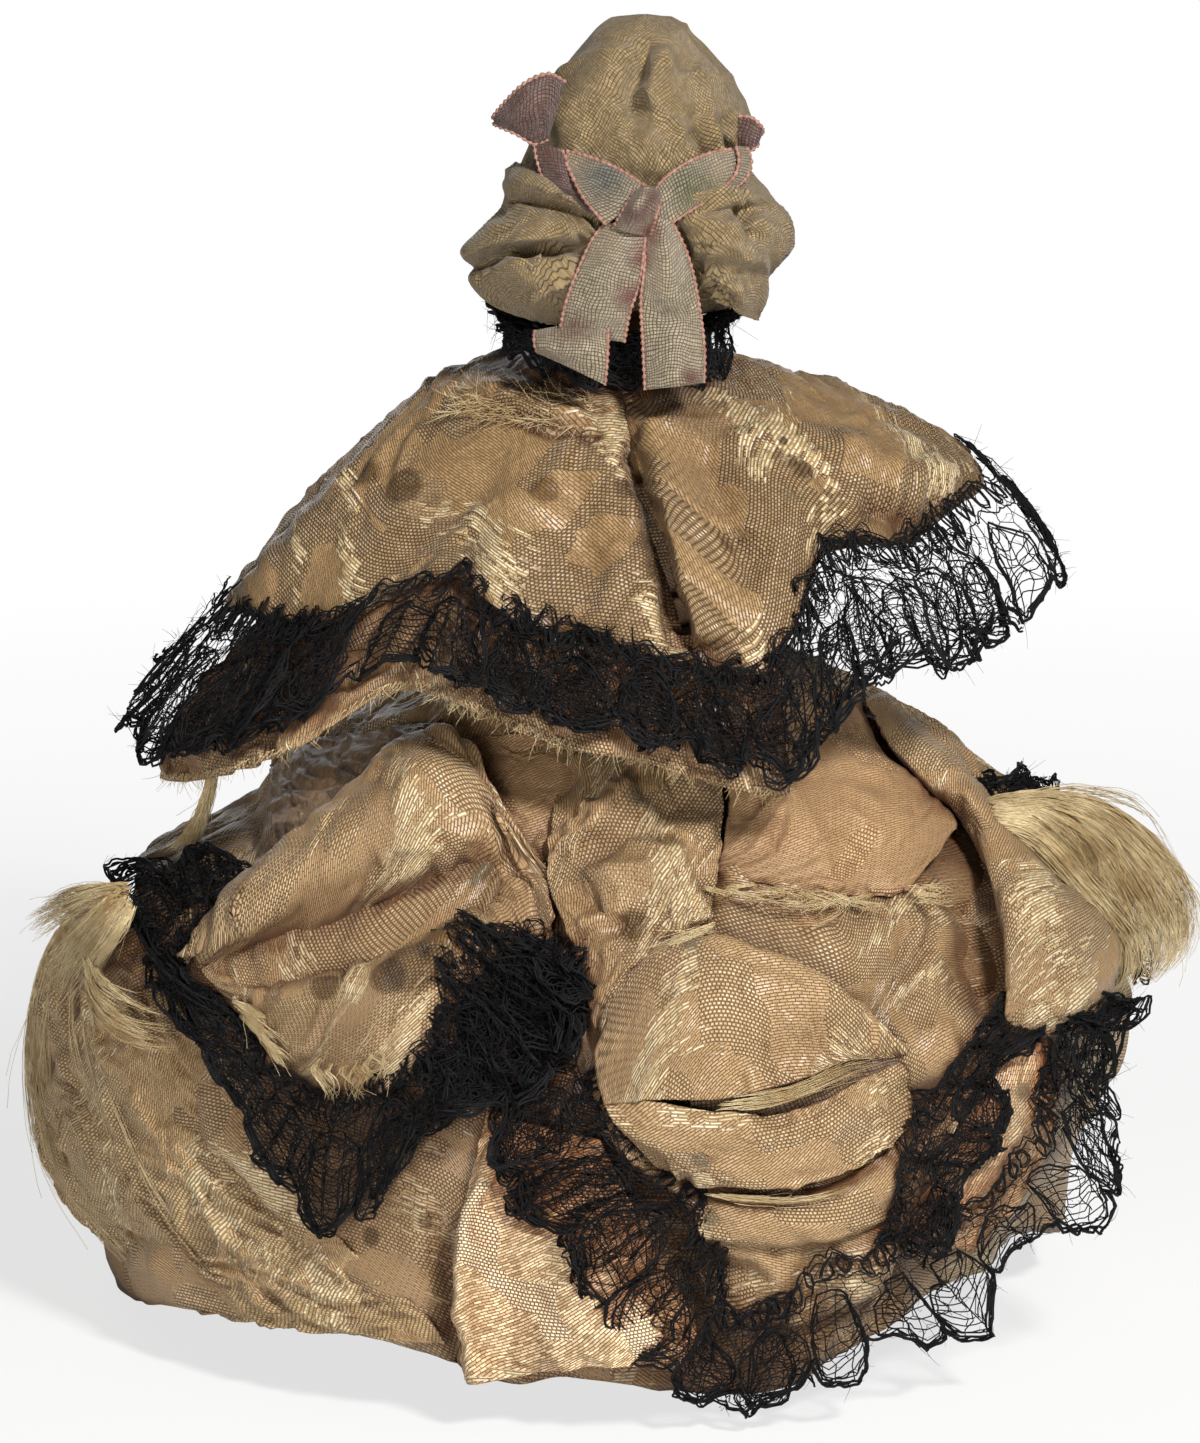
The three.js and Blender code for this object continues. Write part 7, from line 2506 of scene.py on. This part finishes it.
def laces(finishes: Wardrobe, cape: Cape) -> list[LaceBand]:
    """Every band of lace on the doll.

    Args:
        finishes: The doll's materials.
        cape: The cape that two of them are sewn to.

    Returns:
        The bands.
    """
    crowded_left = Curve((0, 0.9), (20, 0.9), (28, 0.35), (42, 0.2), (50, 0.9), (76, 0.95), (84, 0.25),
                         (97, 0.1))
    crowded_right = Curve((-97, 0.05), (-78, 0.1), (-66, 0.5), (-55, 0.9), (0, 0.95))
    hem = Curve((-108, 0.5), (-92, 0.7), (-80, 0.5), (-70, 0.1), (-48, 0.1), (-36, 0.4), (-26, 0.5),
                (-14, 0.2), (-6, 0.35), (0, 0.8), (8.5, 0.95))
    swag_sewn = ((250, 885), (205, 925), (182, 960), (184, 985), (225, 1008), (250, 1045), (275, 1075),
                 (310, 1090), (335, 1105), (360, 1092), (395, 1075), (430, 1060), (455, 1045), (470, 1000),
                 (490, 960), (530, 945), (560, 940))
    swag_free = ((246, 862), (180, 856), (112, 872), (140, 925), (160, 990), (195, 1045), (235, 1105),
                 (262, 1165), (305, 1218), (350, 1236), (388, 1190), (420, 1142), (470, 1110), (520, 1100),
                 (570, 1080), (588, 1010), (592, 955))
    hem_sewn = ((590, 1070), (605, 1105), (650, 1150), (683, 1185), (695, 1230), (712, 1270), (722, 1310),
                (750, 1312), (790, 1300), (820, 1275), (860, 1255), (885, 1245), (920, 1240), (950, 1220),
                (985, 1195), (1015, 1165), (1035, 1135), (1045, 1100), (1052, 1060), (1062, 1025),
                (1075, 1000))
    hem_free = ((500, 1110), (488, 1165), (515, 1212), (560, 1242), (590, 1322), (640, 1372), (690, 1400),
                (745, 1416), (800, 1392), (850, 1385), (885, 1345), (930, 1348), (975, 1345), (1000, 1300),
                (1012, 1255), (1060, 1240), (1108, 1222), (1118, 1160), (1105, 1085), (1115, 1040),
                (1136, 1002))
    inner_sewn = ((882, 1250), (890, 1215), (902, 1175), (920, 1125), (938, 1090), (962, 1055), (990, 1020),
                  (1010, 996), (1045, 986), (1085, 988))
    inner_free = ((935, 1262), (950, 1225), (965, 1175), (1008, 1145), (1008, 1105), (1000, 1070),
                  (1045, 1035), (1066, 1018), (1104, 1018), (1128, 1012))
    full_swag = Curve((0, 0.9), (0.2, 0.8), (0.3, 0.7), (0.5, 0.5), (0.62, 0.8), (0.7, 1.0), (1, 1.0))
    full_hem = Curve((0, 0.95), (0.15, 0.9), (0.22, 0.5), (0.34, 0.7), (0.42, 0.4), (0.5, 0.25), (0.6, 0.1),
                     (0.78, 0.2), (0.86, 0.7), (1, 0.7))
    even = Curve((0, 0.6), (1, 0.6))
    return [
        LaceBand(finishes, "cape_lace_left", cape.radius, crowded_left, 101, (0, 97), cape.silk_height,
                 cape.lace_height, node="cape_lace_left"),
        LaceBand(finishes, "cape_lace_right", cape.radius, crowded_right, 102, (0, -97), cape.silk_height,
                 cape.lace_height, node="cape_lace_right"),
        LaceBand(finishes, "lace_swag_left", BELL.raised(1.0), full_swag, 103, node="lace_swag_left",
                 sewn=swag_sewn, free=swag_free),
        LaceBand(finishes, "lace_bunch", BELL.raised(2.0), Curve((0, 1), (1, 1)), 107, depth=2.2, heading=2.4,
                 sewn=((428, 1088), (446, 1050), (460, 990), (478, 952), (516, 940), (556, 950)),
                 free=((466, 1116), (512, 1096), (540, 1066), (574, 1044), (592, 1002), (582, 962))),
        LaceBand(finishes, "lace_peek", BELL.raised(-0.5), even, 110,
                 sewn=((972, 806), (1000, 798), (1030, 800), (1060, 812)),
                 free=((968, 782), (1002, 776), (1036, 784), (1062, 800))),
        LaceBand(finishes, "lace_hem_right", BELL.raised(0.9), full_hem, 104, node="lace_hem_right",
                 sewn=hem_sewn, free=hem_free),
        LaceBand(finishes, "lace_hem_inner", BELL.raised(0.9), Curve((0, 0.7), (1, 0.7)), 108,
                 sewn=inner_sewn, free=inner_free),
        LaceBand(finishes, "lace_hem_side", BELL.raised(-1.0), hem, 109, (-96, -108), RIGHT_SILK,
                 RIGHT_LACE_EDGE),
        LaceBand(finishes, "neck_ruff", lambda angle, z: cape.neck + 0.6 + (z - cape.top - 0.4) / 2.8 * 5.2,
                 Curve((0, 0.5), (360, 0.5)), 105, (0, 360), lambda angle: cape.top + 0.4 + 0 * angle,
                 lambda angle: cape.top + 3.4 + 0 * angle, fullness=2.0, heading=0.2, depth=0.8, width=5.5,
                 node="neck_ruff"),
        LaceBand(finishes, "neck_ruff_back", lambda angle, z: 10.0 + 0 * angle, Curve((0, 0.5), (1, 0.5)),
                 111, depth=0.7, width=4.0, repeat=4.0,
                 sewn=((508, 330), (560, 342), (620, 346), (680, 340), (728, 318)),
                 free=((502, 352), (552, 374), (620, 390), (690, 386), (732, 374))),
    ]


def main() -> None:
    """Builds the doll, its clothes and the studio."""
    logging.basicConfig(level=logging.INFO, format="%(name)s %(message)s")
    finishes = Wardrobe.make()
    Studio().build()
    CarvedDoll(finishes).build()
    Gown(finishes).build()
    cape = Cape(finishes)
    cape.build()
    for band in laces(finishes, cape):
        band.build()
    Frays(finishes).build(cape)
    bonnet = Bonnet(finishes)
    bonnet.build()
    Ribbons(finishes, bonnet).build()


if __name__ == "__main__":
    main()
